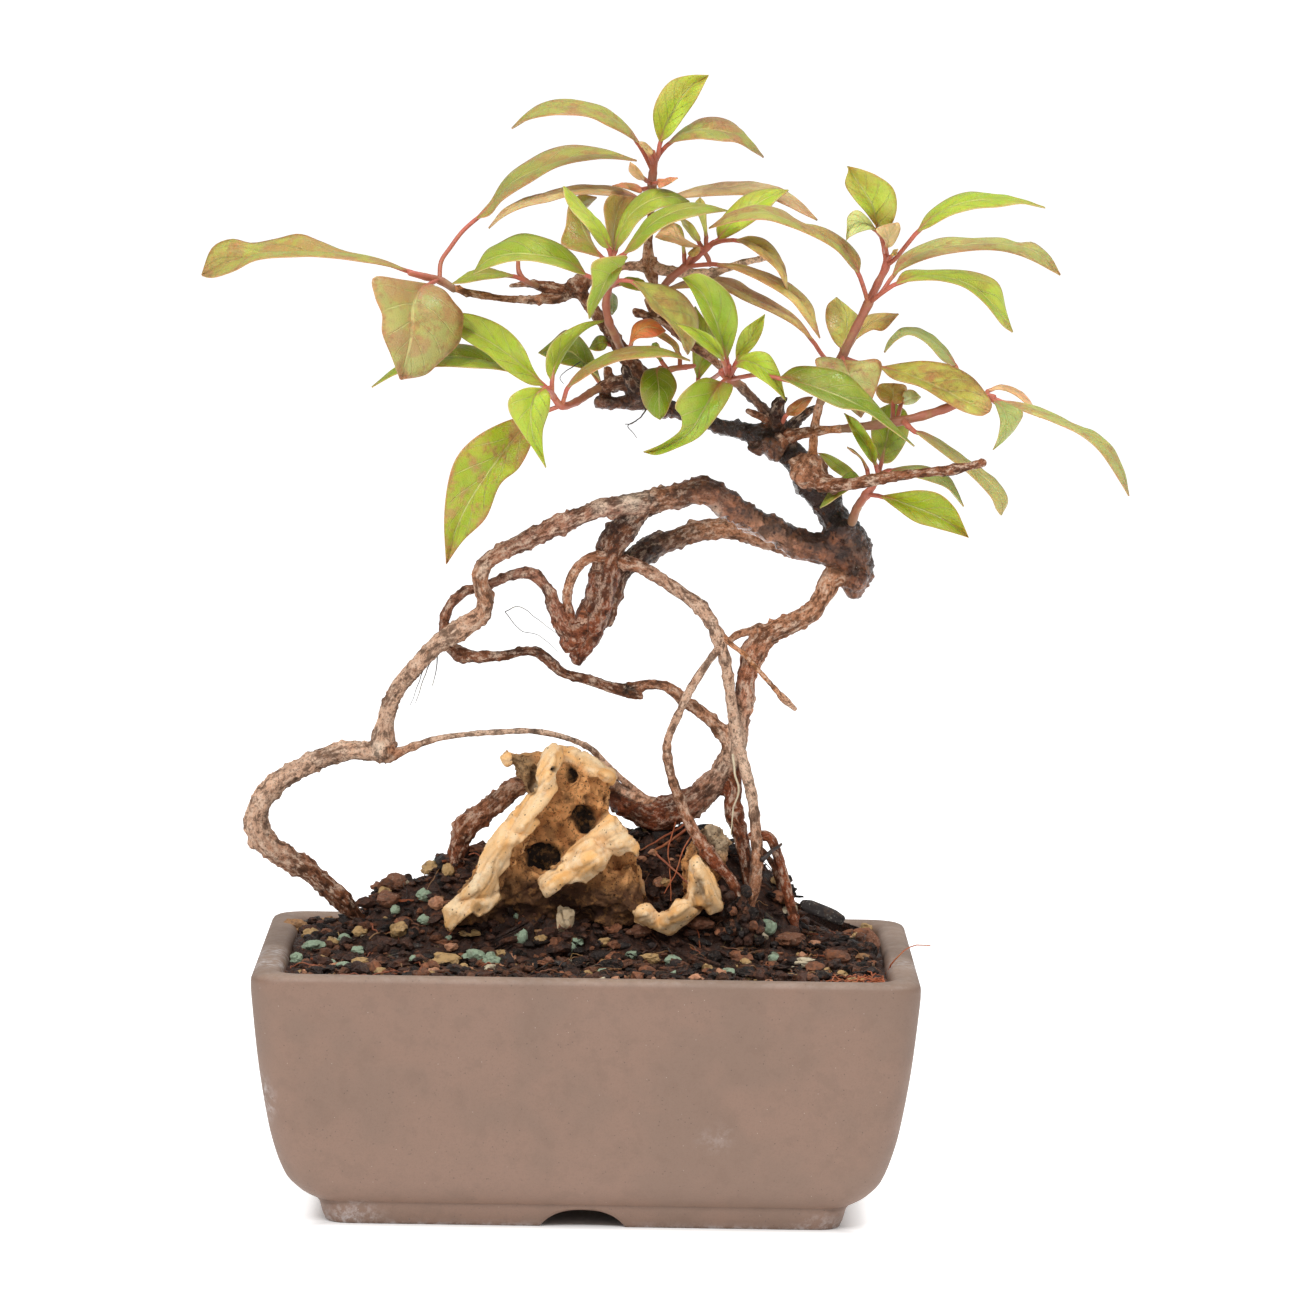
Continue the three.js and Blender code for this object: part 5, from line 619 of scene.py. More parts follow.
             [(861, 458), (854, 450)],
             [(864, 461), (857, 454)]),
    ]),
}


# How much brighter than its own colour the studio shows a plain face turned to the viewer.
LIGHT_GAIN = 1.25
# Colours as they are seen, from 0 to 255. The leaf tones glow, glow_olive and backlit are painted light: the
# brightness of light shining through those leaves, painted into their colour.
TONES = {
    "bright": (160, 184, 46), "fresh": (184, 208, 54), "glow": (206, 228, 78), "lime": (164, 182, 14),
    "green": (152, 182, 40), "deep": (126, 150, 14), "mid": (164, 178, 50), "milky": (214, 224, 144),
    "olive": (178, 178, 84), "glow_olive": (226, 228, 118), "milky_olive": (192, 194, 108),
    "warm": (236, 208, 118), "rose_olive": (192, 188, 112), "rose": (240, 210, 150),
    "brown": (164, 164, 62), "backlit": (192, 166, 78), "pale": (172, 184, 106),
    "yellow": (214, 208, 92), "flame": (238, 124, 66), "ember": (255, 158, 114),
    "peach": (272, 214, 160), "rust": (176, 96, 40),
    "stalk": (206, 108, 88), "stem": (182, 112, 82), "old_stem": (148, 108, 76),
    "dull": (188, 136, 112), "ruddy": (200, 128, 94),
    "grey": (232, 188, 158), "tan": (206, 146, 110), "brown_bark": (158, 100, 70),
    "red_bark": (158, 84, 52), "wet_bark": (58, 32, 20), "dark_bark": (118, 68, 42),
    "fresh_twig": (230, 156, 104), "pale_twig": (255, 216, 186), "straw_twig": (290, 244, 210),
    "scar": (240, 218, 194), "black": (30, 24, 22),
    "cream": (262, 232, 188), "sand": (262, 200, 126), "umber": (164, 104, 58), "earth": (255, 186, 120),
    "stone_grey": (214, 186, 152), "moss_grey": (180, 144, 104), "hole_shade": (34, 24, 18),
    "sea": (160, 180, 152), "ochre": (196, 158, 104), "cream_grain": (224, 208, 176),
    "chip": (46, 38, 36), "humus": (70, 43, 32), "loam": (34, 22, 17), "fibre": (190, 100, 58),
    "clod": (134, 86, 60), "straw": (170, 124, 80),
    "clay": (142, 112, 95), "rim": (166, 140, 122), "bloom": (214, 206, 204),
}

# What each limb's bark looks like at even steps along it: tone and how wet it is, from 0 to 1.
LIMB_LOOKS = {
    "trunk": [("wet_bark", 1), ("wet_bark", 1), ("wet_bark", 1), ("brown_bark", 0.7)],
    "crown": [("dark_bark", 0.8), ("wet_bark", 1)],
    "upperLimb": [("brown_bark", 0.1), ("brown_bark", 0.2), ("dark_bark", 0.5)],
    "leftBranch": [("fresh_twig", 0), ("tan", 0), ("brown_bark", 0.1)],
    "deadStub": [("brown_bark", 0)], "shootKnob": [("brown_bark", 0.2), ("wet_bark", 0.6)],
    "cutStub": [("brown_bark", 0), ("dark_bark", 0.2)], "frontStub": [("wet_bark", 0.2), ("wet_bark", 0.5)],
    "deadTwig": [("brown_bark", 0.2), ("tan", 0.2), ("wet_bark", 1)],
    "deadSpur": [("tan", 0)], "greyTwig": [("tan", 0), ("tan", 0), ("stem", 0)],
    "sideTwig": [("tan", 0), ("straw_twig", 0), ("straw_twig", 0)], "twigStub": [("brown_bark", 0.2)],
    "darkBud": [("wet_bark", 0.2), ("wet_bark", 0.8)], "backStub": [("wet_bark", 0.2), ("wet_bark", 0.6)],
    "underBurr": [("dark_bark", 0.8)], "branchEast": [("brown_bark", 0.1), ("fresh_twig", 0)],
    "branchUp": [("fresh_twig", 0.1), ("tan", 0)], "burr": [("tan", 0.1), ("brown_bark", 0.2)],
    "cutTwig": [("brown_bark", 0), ("brown_bark", 0), ("brown_bark", 0)],
    "archFront": [("dark_bark", 1), ("brown_bark", 1), ("tan", 1), ("brown_bark", 1),
                  ("brown_bark", 0.5), ("tan", 0.1)],
    "greyLimb": [("dull", 0.1), ("dull", 0), ("dull", 0), ("tan", 0), ("grey", 0), ("grey", 0), ("grey", 0)],
    "leftLoop": [("grey", 0), ("grey", 0), ("grey", 0), ("brown_bark", 0), ("dark_bark", 0.1)],
    "stump": [("wet_bark", 0.3), ("dark_bark", 0.4), ("red_bark", 0.3), ("red_bark", 0.3)],
    "archBack": [("tan", 0.3), ("tan", 0.1), ("wet_bark", 0.5), ("brown_bark", 0.1)],
    "rootFront": [("brown_bark", 0.1), ("tan", 0), ("red_bark", 0.1)],
    "rootWeave": [("red_bark", 0.2), ("dull", 0), ("brown_bark", 0.1), ("dark_bark", 0.3),
                  ("brown_bark", 0.1)],
    "rootOver": [("brown_bark", 0.2), ("tan", 0.1), ("tan", 0)],
    "rootlet": [("tan", 0), ("pale_twig", 0), ("pale_twig", 0), ("tan", 0)],
    "mainRoot": [("tan", 0), ("tan", 0), ("ruddy", 0), ("grey", 0), ("red_bark", 0.2),
                 ("red_bark", 0.5), ("tan", 0.3), ("brown_bark", 0.1), ("red_bark", 0)],
    "rootLink": [("tan", 0)],
    "rootLight": [("brown_bark", 0), ("grey", 0), ("grey", 0), ("pale_twig", 0), ("tan", 0),
                  ("brown_bark", 0)],
    "rootFork": [("grey", 0), ("grey", 0), ("tan", 0), ("red_bark", 0.1), ("humus", 0)],
    "tanTwig": [("tan", 0), ("fresh_twig", 0), ("fresh_twig", 0), ("grey", 0)],
    "rootDark": [("red_bark", 0.1), ("dark_bark", 0.2)], "rootRight": [("red_bark", 0.1)],
    "rootThin": [("brown_bark", 0)],
}
# Marks on the bark as they are seen: tone, column, row, radius, strength.
BARK_MARKS = [
    ("scar", 632, 497, 20, 0.75), ("scar", 378, 748, 8, 0.8), ("scar", 600, 506, 12, 0.5),
    ("black", 628, 689, 9, 0.95), ("black", 653, 498, 6, 0.8), ("black", 576, 655, 6, 0.7),
    ("scar", 483, 570, 9, 0.4), ("black", 657, 508, 5, 0.8), ("scar", 715, 512, 9, 0.4),
    ("black", 595, 640, 5, 0.7), ("black", 625, 520, 6, 0.8), ("black", 628, 508, 5, 0.6),
    ("red_bark", 574, 648, 16, 0.7), ("scar", 662, 482, 8, 0.35), ("red_bark", 862, 580, 12, 0.6),
    ("black", 672, 800, 14, 0.5), ("scar", 838, 600, 9, 0.5), ("black", 744, 660, 7, 0.6),
    ("black", 737, 690, 6, 0.6), ("black", 722, 768, 8, 0.6), ("black", 707, 788, 6, 0.5),
]
# Limbs too fine for the bark's grid keep their own tubes.
FINE_LIMBS = (
    "deadSpur", "twigStub", "rootlet", "rootLink", "tanTwig", "rootRight", "rootThin", "rootFork",
    "greyTwig", "sideTwig", "branchUp", "branchEast", "rootLight", "rootFront",
)

# Hair roots: tone, radius, and their way as it is seen: column, row, depth.
HAIRS = [
    ("cream_grain", 0.4, [(733, 755, -3), (735, 775, -4), (739, 790, -4), (733, 810, -3), (731, 835, -3)]),
    ("red_bark", 0.4, [(685, 824, 5), (662, 838, 0), (640, 850, -5)]),
    ("red_bark", 0.5, [(690, 826, 4), (665, 845, 0), (655, 852, -3), (672, 868, -6), (690, 885, -9),
                       (705, 897, -12)]),
    ("fibre", 0.25, [(676, 822, 4), (668, 850, -2), (670, 868, -5), (671, 901, -14)]),
    ("fibre", 0.25, [(695, 830, -5), (683, 850, -8), (676, 872, -12), (664, 893, -16)]),
    ("chip", 0.2, [(437, 655, -1), (436, 672, -2), (432, 686, -2)]),
    ("chip", 0.18, [(430, 662, -1), (422, 684, -3), (416, 703, -4)]),
    ("chip", 0.15, [(424, 668, -1), (416, 690, -2), (410, 706, -2)]),
    ("chip", 0.15, [(505, 612, -3), (520, 607, -6), (545, 625, -5), (558, 634, -3)]),
    ("chip", 0.13, [(505, 612, -3), (520, 630, -8), (540, 636, -8), (558, 652, -3)]),
    ("chip", 0.3, [(647, 408, 0), (641, 417, -3), (632, 423, -4), (625, 424, -4)]),
    ("chip", 0.2, [(636, 421, -3), (628, 426, -5), (633, 433, -5), (637, 438, -5)]),
    ("chip", 0.2, [(580, 362, 2), (566, 371, 0), (560, 378, 0), (563, 384, 0)]),
    ("chip", 0.2, [(783, 452, 0), (785, 461, -2), (787, 468, -2)]),
    ("chip", 0.9, [(762, 860, -6), (770, 853, -5), (781, 844, -3)]),
    ("fibre", 0.4, [(862, 992, 0), (885, 975, -25), (893, 962, -30), (905, 950, -30), (915, 945, -30),
                    (930, 946, -30)]),
]


def linear(colour):
    """What reflects a seen colour (0 to 255) under the studio's light."""
    share = np.asarray(colour, float) / 255
    return np.where(share <= 0.04045, share / 12.92, ((share + 0.055) / 1.055) ** 2.4) / LIGHT_GAIN


def hue(name):
    return linear(TONES[name])


def tone(name, beside=1.0):
    """A named tone with the number that is kept beside it."""
    return np.append(hue(name), beside)


def mixed(first, second, share):
    share = np.clip(np.asarray(share, float), 0, 1)[..., None]
    return first * (1 - share) + second * share


# Paths

def spline(points, shares):
    """A smooth curve through the points, at shares of its stations from 0 to 1."""
    points = np.asarray(points, float)
    ends = np.vstack([2 * points[0] - points[1], points, 2 * points[-1] - points[-2]])
    at = np.clip(np.asarray(shares, float), 0, 1) * (len(points) - 1)
    first = np.minimum(at.astype(int), len(points) - 2)
    w = (at - first)[:, None]
    a, b, c, d = ends[first], ends[first + 1], ends[first + 2], ends[first + 3]
    return (
        (2 * w**3 - 3 * w**2 + 1) * b + (w**3 - 2 * w**2 + w) * (c - a) / 2
        + (3 * w**2 - 2 * w**3) * c + (w**3 - w**2) * (d - b) / 2
    )


def even_shares(points, fractions):
    """Shares of the stations that lie at the given fractions of the curve's length, and the length."""
    shares = np.linspace(0, 1, 201)
    steps = np.linalg.norm(np.diff(spline(points, shares)[:, :3], axis=0), axis=1)
    length = np.concatenate([[0], np.cumsum(steps)])
    return np.interp(np.asarray(fractions) * length[-1], length, shares), length[-1]


def even_path(stations, step, fewest):
    """A smooth path of centres and radii through stations, their shares, and the path's length."""
    placed = [np.append(place(*station[:3]), station[3]) for station in stations]
    _, length = even_shares(placed, [0, 1])
    shares, _ = even_shares(placed, np.linspace(0, 1, max(fewest, int(length / step))))
    return spline(placed, shares), shares, length


def unit(vectors):
    return vectors / np.maximum(np.linalg.norm(vectors, axis=-1, keepdims=True), 1e-9)


def dot(first, second):
    """The product of each row with the other's same row."""
    return np.einsum("ij,ij->i", first, second)


def frames(points):
    """The tangent and two directions across it at each point of a path."""
    tangents = unit(np.gradient(points, axis=0))
    across = np.array([0, 1.0, 0])
    firsts = []
    for tangent in tangents:
        across = unit(across - tangent * across.dot(tangent))
        firsts.append(across)
    firsts = np.array(firsts)
    return tangents, np.cross(firsts, tangents), firsts


# Noise

def wave(points, size, offset=0.0):
    """Smooth noise from about -1 to 1 at each point, with swells of the given size."""
    shift = Vector((offset, offset * 1.7, offset * 0.6))
    return np.array([noise.noise(Vector(point) / size + shift) for point in points])


def cells(points, size, offset=0.0):
    """The distance to the nearest of scattered dots, in shares of their spacing."""
    shift = Vector((offset, offset * 1.3, offset * 0.8))
    return np.array([noise.voronoi(Vector(point) / size + shift)[0][0] for point in points])


def warts(points, size, reach, offset):
    """Scattered round heights: 0 between them, up to the reach in their middles."""
    return np.clip(reach - cells(points, size, offset), 0, 1)


def facets(points, size, offset=0.0):
    """Flat tilted flakes of about the given size, as broken stone has: heights from about -1 to 1."""
    shift = Vector((offset, offset * 1.3, offset * 0.8))
    heights = []
    for point in points:
        at = Vector(point) / size + shift
        near = noise.voronoi(at)[1][0]
        tilt = Vector((math.sin(near.x * 91.7), math.sin(near.y * 57.3), math.sin(near.z * 73.9)))
        heights.append(tilt.dot(at - near) + 0.35 * math.sin(near.x * 37.0 + near.z * 11.0))
    return np.array(heights)


# Meshes

GRAIN_STRETCH = 2.2
# How many sides the tubes have: of thick limbs, of twigs, of stalks, of hair roots and of fibres.
LIMB_SIDES = 20
TWIG_SIDES = 12
STALK_SIDES = 8
HAIR_SIDES = 6
FIBRE_SIDES = 5
# A tube's end: how far out each of its rings lies and how wide it is, in shares of the radius.
DOME = [(0.45, 0.85), (0.8, 0.5)]


def grain(across, over, lengths):
    """Where the wood's own texture is read, drawn out along the limb."""
    return np.column_stack([across, over, lengths / GRAIN_STRETCH]) * MM


def give(mesh, label, rows):
    """Writes a value for each vertex into the mesh."""
    kind, key = (("FLOAT_COLOR", "color") if rows.shape[1] == 4 else ("FLOAT_VECTOR", "vector"))
    layer = mesh.attributes.new(label, kind, "POINT")
    layer.data.foreach_set(key, rows.astype(np.float32).ravel())


def ring_faces(levels, count, first=0):
    """The faces between rings of points that follow each other."""
    faces = []
    for k in range(levels - 1):
        for j in range(count):
            n = (j + 1) % count
            low, high = first + k * count, first + (k + 1) * count
            faces.append((low + j, low + n, high + n, high + j))
    return faces


class Body:
    """Gathers closed shapes, with values at each vertex, into one object."""

    def __init__(self):
        self.points = []
        self.faces = []
        self.values = {}
        self.count = 0

    def add(self, points, faces, **values):
        self.faces += [[corner + self.count for corner in face] for face in faces]
        self.points.append(np.asarray(points, float))
        self.count += len(points)
        for name, value in values.items():
            rows = np.asarray(value, float)
            if rows.ndim == 1:
                rows = np.tile(rows, (len(points), 1))
            self.values.setdefault(name, []).append(rows)

    def tube(self, points, radii, sides, **values):
        """A round tube with domed ends. Values given per point go round each ring."""
        points = np.asarray(points, float)
        radii = np.broadcast_to(np.asarray(radii, float), len(points)).copy()
        tangents = unit(np.gradient(points, axis=0))
        head = [points[0] - tangents[0] * radii[0] * out for out, _ in reversed(DOME)]
        tail = [points[-1] + tangents[-1] * radii[-1] * out for out, _ in DOME]
        path = np.vstack([head, points, tail])
        girths = np.concatenate([
            [radii[0] * share for _, share in reversed(DOME)], radii,
            [radii[-1] * share for _, share in DOME],
        ])
        _, others, firsts = frames(path)
        angles = np.arange(sides) * 2 * math.pi / sides
        rings = (
            path[:, None]
            + others[:, None] * (np.cos(angles)[None, :, None] * girths[:, None, None])
            + firsts[:, None] * (np.sin(angles)[None, :, None] * girths[:, None, None])
        )
        count = len(path)
        faces = ring_faces(count, sides)
        faces.append(tuple(reversed(range(sides))))
        faces.append(tuple(range((count - 1) * sides, count * sides)))
        spread = {}
        for name, value in values.items():
            rows = np.asarray(value, float)
            if rows.ndim == 2:
                rows = np.vstack([rows[:1]] * len(DOME) + [rows] + [rows[-1:]] * len(DOME))
                rows = np.repeat(rows, sides, axis=0)
            spread[name] = rows
        steps = np.linalg.norm(np.diff(path, axis=0), axis=1)
        lengths = np.repeat(np.concatenate([[0], np.cumsum(steps)]), sides)
        turns = np.tile(angles, count)
        girth = np.repeat(girths, sides)
        spread["grain"] = grain(np.cos(turns) * girth, np.sin(turns) * girth, lengths)
        self.add(rings.reshape(-1, 3), faces, **spread)

    def make(self, name, smooth=True):
        mesh = bpy.data.meshes.new(name)
        mesh.from_pydata((np.vstack(self.points) * MM).tolist(), [], self.faces)
        for label, rows in self.values.items():
            if sum(len(part) for part in rows) == self.count:
                give(mesh, label, np.vstack(rows))
        if smooth:
            mesh.shade_smooth()
        piece = bpy.data.objects.new(name, mesh)
        bpy.context.scene.collection.objects.link(piece)
        return piece


def carry(piece, material, slot, *nodes):
    """Dresses a piece in its material, hangs it on the body's empty and hides the nodes that it stands for.
    """
    piece.data.materials.clear()
    piece.data.materials.append(material)
    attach(piece, BODY)
    if nodes:
        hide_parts(*nodes)


def applied(piece):
    """The piece with its modifiers worked into its mesh."""
    old = piece.data
    piece.data = bpy.data.meshes.new_from_object(
        piece.evaluated_get(bpy.context.evaluated_depsgraph_get()))
    piece.modifiers.clear()
    bpy.data.meshes.remove(old)
    return piece


def remeshed(piece, size):
    """The piece's surface rebuilt on an even grid of the given size."""
    modifier = piece.modifiers.new("grid", "REMESH")
    modifier.mode = "VOXEL"
    modifier.voxel_size = size * MM
    modifier.use_smooth_shade = True
    return applied(piece)


def read_points(mesh):
    flat = np.empty(len(mesh.vertices) * 3, np.float32)
    mesh.vertices.foreach_get("co", flat)
    normals = np.empty(len(mesh.vertices) * 3, np.float32)
    mesh.vertices.foreach_get("normal", normals)
    return flat.reshape(-1, 3).astype(float) / MM, normals.reshape(-1, 3).astype(float)


def write_points(mesh, points):
    mesh.vertices.foreach_set("co", (points * MM).astype(np.float32).ravel())
    mesh.update()


def relaxed(mesh, points, rounds):
    """The points moved to the middle of their neighbours, a few rounds over."""
    edges = np.empty(len(mesh.edges) * 2, np.int32)
    mesh.edges.foreach_get("vertices", edges)
    first, second = edges.reshape(-1, 2).T
    degree = np.bincount(first, minlength=len(points)) + np.bincount(second, minlength=len(points))
    for _ in range(rounds):
        total = np.zeros_like(points)
        np.add.at(total, first, points[second])
        np.add.at(total, second, points[first])
        points = (points + total / np.maximum(degree, 1)[:, None]) / 2
    return points


def lump(radius, levels, unevenness, seed):
    """An uneven round body: points and faces."""
    ball = bmesh.new()
    bmesh.ops.create_icosphere(ball, subdivisions=levels, radius=1)
    points = np.array([vertex.co[:] for vertex in ball.verts])
    faces = [tuple(vertex.index for vertex in face.verts) for face in ball.faces]
    ball.free()
    draw = random.Random(seed)
    swell = 1 + unevenness * wave(points, 0.8, draw.uniform(0, 50))
    swell += unevenness * 0.4 * np.array([draw.uniform(-1, 1) for _ in points])
    return points * swell[:, None] * radius, faces


# Materials

# Colours that the materials mix in, as they reflect light: red, green, blue, opaque.
PIGMENTS = {
    "leaf_deep": (0.10, 0.19, 0.02, 1), "leaf_flush": (0.42, 0.17, 0.09, 1),
    "leaf_net": (0.50, 0.56, 0.16, 1), "leaf_vein": (0.66, 0.62, 0.24, 1),
    "leaf_burn": (0.26, 0.09, 0.035, 1), "leaf_rust": (0.46, 0.19, 0.08, 1),
    "leaf_rim": (0.60, 0.50, 0.24, 1), "leaf_red_rim": (0.50, 0.24, 0.10, 1),
    "stem_speck": (0.20, 0.075, 0.04, 1), "stem_green": (0.45, 0.38, 0.13, 1),
    "bark_shade": (0.024, 0.010, 0.005, 1), "bark_dust": (0.76, 0.56, 0.42, 1),
    "bark_warm": (0.36, 0.13, 0.05, 1), "bark_pore": (0.03, 0.014, 0.009, 1),
    "stone_orange": (0.74, 0.36, 0.11, 1), "stone_chalk": (0.90, 0.76, 0.56, 1),
    "stone_dirt": (0.09, 0.045, 0.02, 1), "stone_grime": (0.045, 0.024, 0.012, 1),
    "stone_pore": (0.12, 0.06, 0.03, 1),
    "soil_black": (0.012, 0.007, 0.005, 1), "soil_rust": (0.17, 0.062, 0.028, 1),
    "soil_dry": (0.26, 0.16, 0.10, 1),
    "grain_dirt": (0.07, 0.038, 0.022, 1), "grain_dust": (0.8, 0.75, 0.62, 1),
    "clay_cloud": (0.17, 0.115, 0.085, 1), "clay_mottle": (0.13, 0.082, 0.056, 1),
    "clay_grit": (0.11, 0.07, 0.05, 1), "clay_speck": (0.055, 0.038, 0.03, 1),
    "clay_dust": (0.62, 0.56, 0.50, 1), "paper": (0.82, 0.82, 0.82, 1), "light": (1, 1, 1, 1),
}


class Surface:
    """A material's nodes, made through short calls. Sizes are in millimetres."""

    def __init__(self, name, roughness, **sockets):
        self.material = bpy.data.materials.new(name)
        self.material.use_nodes = True
        self.tree = self.material.node_tree
        self.shader = self.tree.nodes["Principled BSDF"]
        self.finish(Roughness=roughness, **sockets)

    def finish(self, **sockets):
        for socket, value in sockets.items():
            self.set(self.shader, socket.replace("_", " "), value)

    def set(self, node, socket, value):
        target = node.inputs[socket]
        if isinstance(value, bpy.types.NodeSocket):
            self.tree.links.new(value, target)
        elif target.type == "RGBA":
            target.default_value = tuple(PIGMENTS[value] if isinstance(value, str) else value)
        else:
            target.default_value = value

    def node(self, kind, **settings):
        made = self.tree.nodes.new(kind)
        for key, value in settings.items():
            setattr(made, key, value)
        return made

    def math(self, operation, *values, clamp=False):
        made = self.node("ShaderNodeMath", operation=operation, use_clamp=clamp)
        for index, value in enumerate(values):
            self.set(made, index, value)
        return made.outputs[0]

    def times(self, first, second, clamp=False):
        return self.math("MULTIPLY", first, second, clamp=clamp)

    def plus(self, first, second, clamp=False):
        return self.math("ADD", first, second, clamp=clamp)

    def minus(self, first, second, clamp=False):
        return self.math("SUBTRACT", first, second, clamp=clamp)

    def most(self, first, second, clamp=False):
        return self.math("MAXIMUM", first, second, clamp=clamp)

    def off(self, value):
        return self.math("ABSOLUTE", value)

    def attribute(self, name):
        return self.node("ShaderNodeAttribute", attribute_name=name)

    def tint(self):
        """The colour that the mesh gives at each point, and the number beside it."""
        made = self.attribute("tint")
        return made.outputs["Color"], made.outputs["Alpha"]

    def place(self):
        return self.node("ShaderNodeTexCoord").outputs["Object"]

    def parts(self, vector):
        made = self.node("ShaderNodeSeparateXYZ")
        self.set(made, 0, vector)
        return made.outputs

    def noise(self, size, detail=3.0, roughness=0.55, where=None):
        made = self.node("ShaderNodeTexNoise")
        self.set(made, "Vector", self.place() if where is None else where)
        self.set(made, "Scale", 1 / (size * MM))
        self.set(made, "Detail", detail)
        self.set(made, "Roughness", roughness)
        return made.outputs["Fac"]

    def dots(self, size, feature="F1"):
        made = self.node("ShaderNodeTexVoronoi", feature=feature)
        self.set(made, "Vector", self.place())
        self.set(made, "Scale", 1 / (size * MM))
        return made.outputs["Distance"]

    def between(self, value, low, high, start=0.0, end=1.0):
        """A smooth step from the start to the end as the value goes from low to high."""
        made = self.node("ShaderNodeMapRange", interpolation_type="SMOOTHSTEP")
        for index, number in enumerate((value, low, high, start, end)):
            self.set(made, index, number)
        return made.outputs[0]

    def mix(self, share, first, second):
        made = self.node("ShaderNodeMix", data_type="RGBA")
        self.set(made, 0, share)
        self.set(made, 6, first)
        self.set(made, 7, second)
        return made.outputs[2]

    def bump(self, height, depth, below=None):
        made = self.node("ShaderNodeBump")
        self.set(made, "Height", height)
        self.set(made, "Distance", depth * MM)
        if below is not None:
            self.set(made, "Normal", below)
        return made.outputs["Normal"]

    def relief(self, *heights):
        """Stacked bumps: each is a height from 0 to 1 and how many millimetres that is."""
        normal = None
        for height, depth in heights:
            normal = self.bump(height, depth, normal)
        self.finish(Normal=normal)


def leaf_surface():
    surface = Surface("leaf", 0.4, Subsurface_Weight=0.3, Subsurface_Scale=0.0015, Specular_IOR_Level=0.42)
    across, along = surface.parts(surface.attribute("blade").outputs["Vector"])[:2]
    out = surface.off(across)
    own, rust = surface.tint()

    # Side veins leave the rib in pairs and bend towards the tip.
    bend = surface.times(surface.math("POWER", out, 0.75), VEIN_SLANT)
    stagger = surface.times(surface.math("GREATER_THAN", across, 0.0), 0.35)
    vein_place = surface.plus(surface.minus(surface.times(along, VEIN_PAIRS), bend), stagger)
    to_vein = surface.off(surface.minus(surface.math("FRACT", vein_place), 0.5))
    fade = surface.between(out, 0.55, 0.95, 1.0, 0.15)
    vein = surface.times(surface.between(to_vein, 0.012, 0.055, 1.0, 0.0), fade)
    hollow = surface.between(to_vein, 0.0, 0.32)
    rib = surface.between(out, 0.015, 0.06, 1.0, 0.0)
    net = surface.between(surface.dots(1.0, "DISTANCE_TO_EDGE"), 0.0, 0.16, 1.0, 0.0)

    # Each patch between veins is a little deeper, yellower or pinker than the next.
    base = surface.mix(surface.between(surface.noise(8, 2.0), 0.42, 0.72, 0.0, 0.3), own, tone("yellow"))
    deep = surface.mix(0.5, own, "leaf_deep")
    darker = surface.mix(surface.between(surface.noise(4.5, 3.0), 0.42, 0.7, 0.0, 0.34), base, deep)
    flush = surface.times(surface.between(surface.noise(11, 3.0, 0.6), 0.49, 0.60), rust, clamp=True)
    flushed = surface.mix(flush, darker, "leaf_flush")
    # Painted shade: the blade is painted darker in the creases along its sunken veins.
    crease_shaded = surface.mix(surface.between(hollow, 0.0, 0.5, 0.16, 0.0), flushed, deep)
    netted = surface.mix(surface.times(net, 0.08), crease_shaded, "leaf_net")
    lines = surface.most(surface.times(vein, 0.42), surface.times(rib, 0.6))
    veined = surface.mix(lines, netted, "leaf_vein")

    # The blade reddens where the stalk enters it.
    blush = surface.times(surface.between(along, 0.0, 0.2, 0.75, 0.0),
                          surface.between(out, 0.0, 0.8, 1.0, 0.25))
    blushed = surface.mix(blush, veined, tone("stalk"))

    # Rust gathers along the margins and at the tip, and lies in blotches between the veins.
    ragged = surface.noise(2.2, 4.0, 0.7)
    edge = surface.between(surface.plus(out, surface.times(ragged, 0.45)), 1.02, 1.30)
    tip = surface.between(surface.plus(along, surface.times(ragged, 0.35)), 0.98, 1.22)
    patchy = surface.plus(surface.noise(6.5, 4.0, 0.72), surface.times(rust, 0.22))
    spots = surface.between(patchy, 0.60, 0.76)
    reach = surface.plus(surface.times(rust, 1.8), 0.12, clamp=True)
    worn = surface.times(surface.most(edge, tip), reach)
    blotch = surface.times(spots, surface.times(rust, 1.25, clamp=True))
    burnt = surface.mix(surface.between(surface.noise(1.3), 0.4, 0.6), "leaf_burn", "leaf_rust")
    rusty = surface.mix(surface.times(surface.most(worn, blotch, clamp=True), 0.85), blushed, burnt)
    rim = surface.mix(rust, "leaf_rim", "leaf_red_rim")
    surface.finish(
        Base_Color=surface.mix(surface.between(out, 0.955, 0.985, 0.0, 0.6), rusty, rim),
        Roughness=surface.between(surface.noise(5), 0.3, 0.7, 0.30, 0.46),
    )
    surface.relief((surface.minus(1.0, surface.most(vein, rib)), 0.25), (surface.minus(1.0, net), 0.07),
                   (surface.noise(0.5), 0.03))
    return surface.material


def stem_surface():
    surface = Surface("young_stem", 0.45)
    own, _ = surface.tint()
    ring = surface.noise(1.4, 4.0, 0.6)
    speckled = surface.mix(surface.between(ring, 0.5, 0.72, 0.0, 0.45), own, "stem_speck")
    green = surface.between(surface.noise(4), 0.5, 0.8, 0.0, 0.35)
    surface.finish(Base_Color=surface.mix(green, speckled, "stem_green"))
    surface.relief((ring, 0.12))
    return surface.material


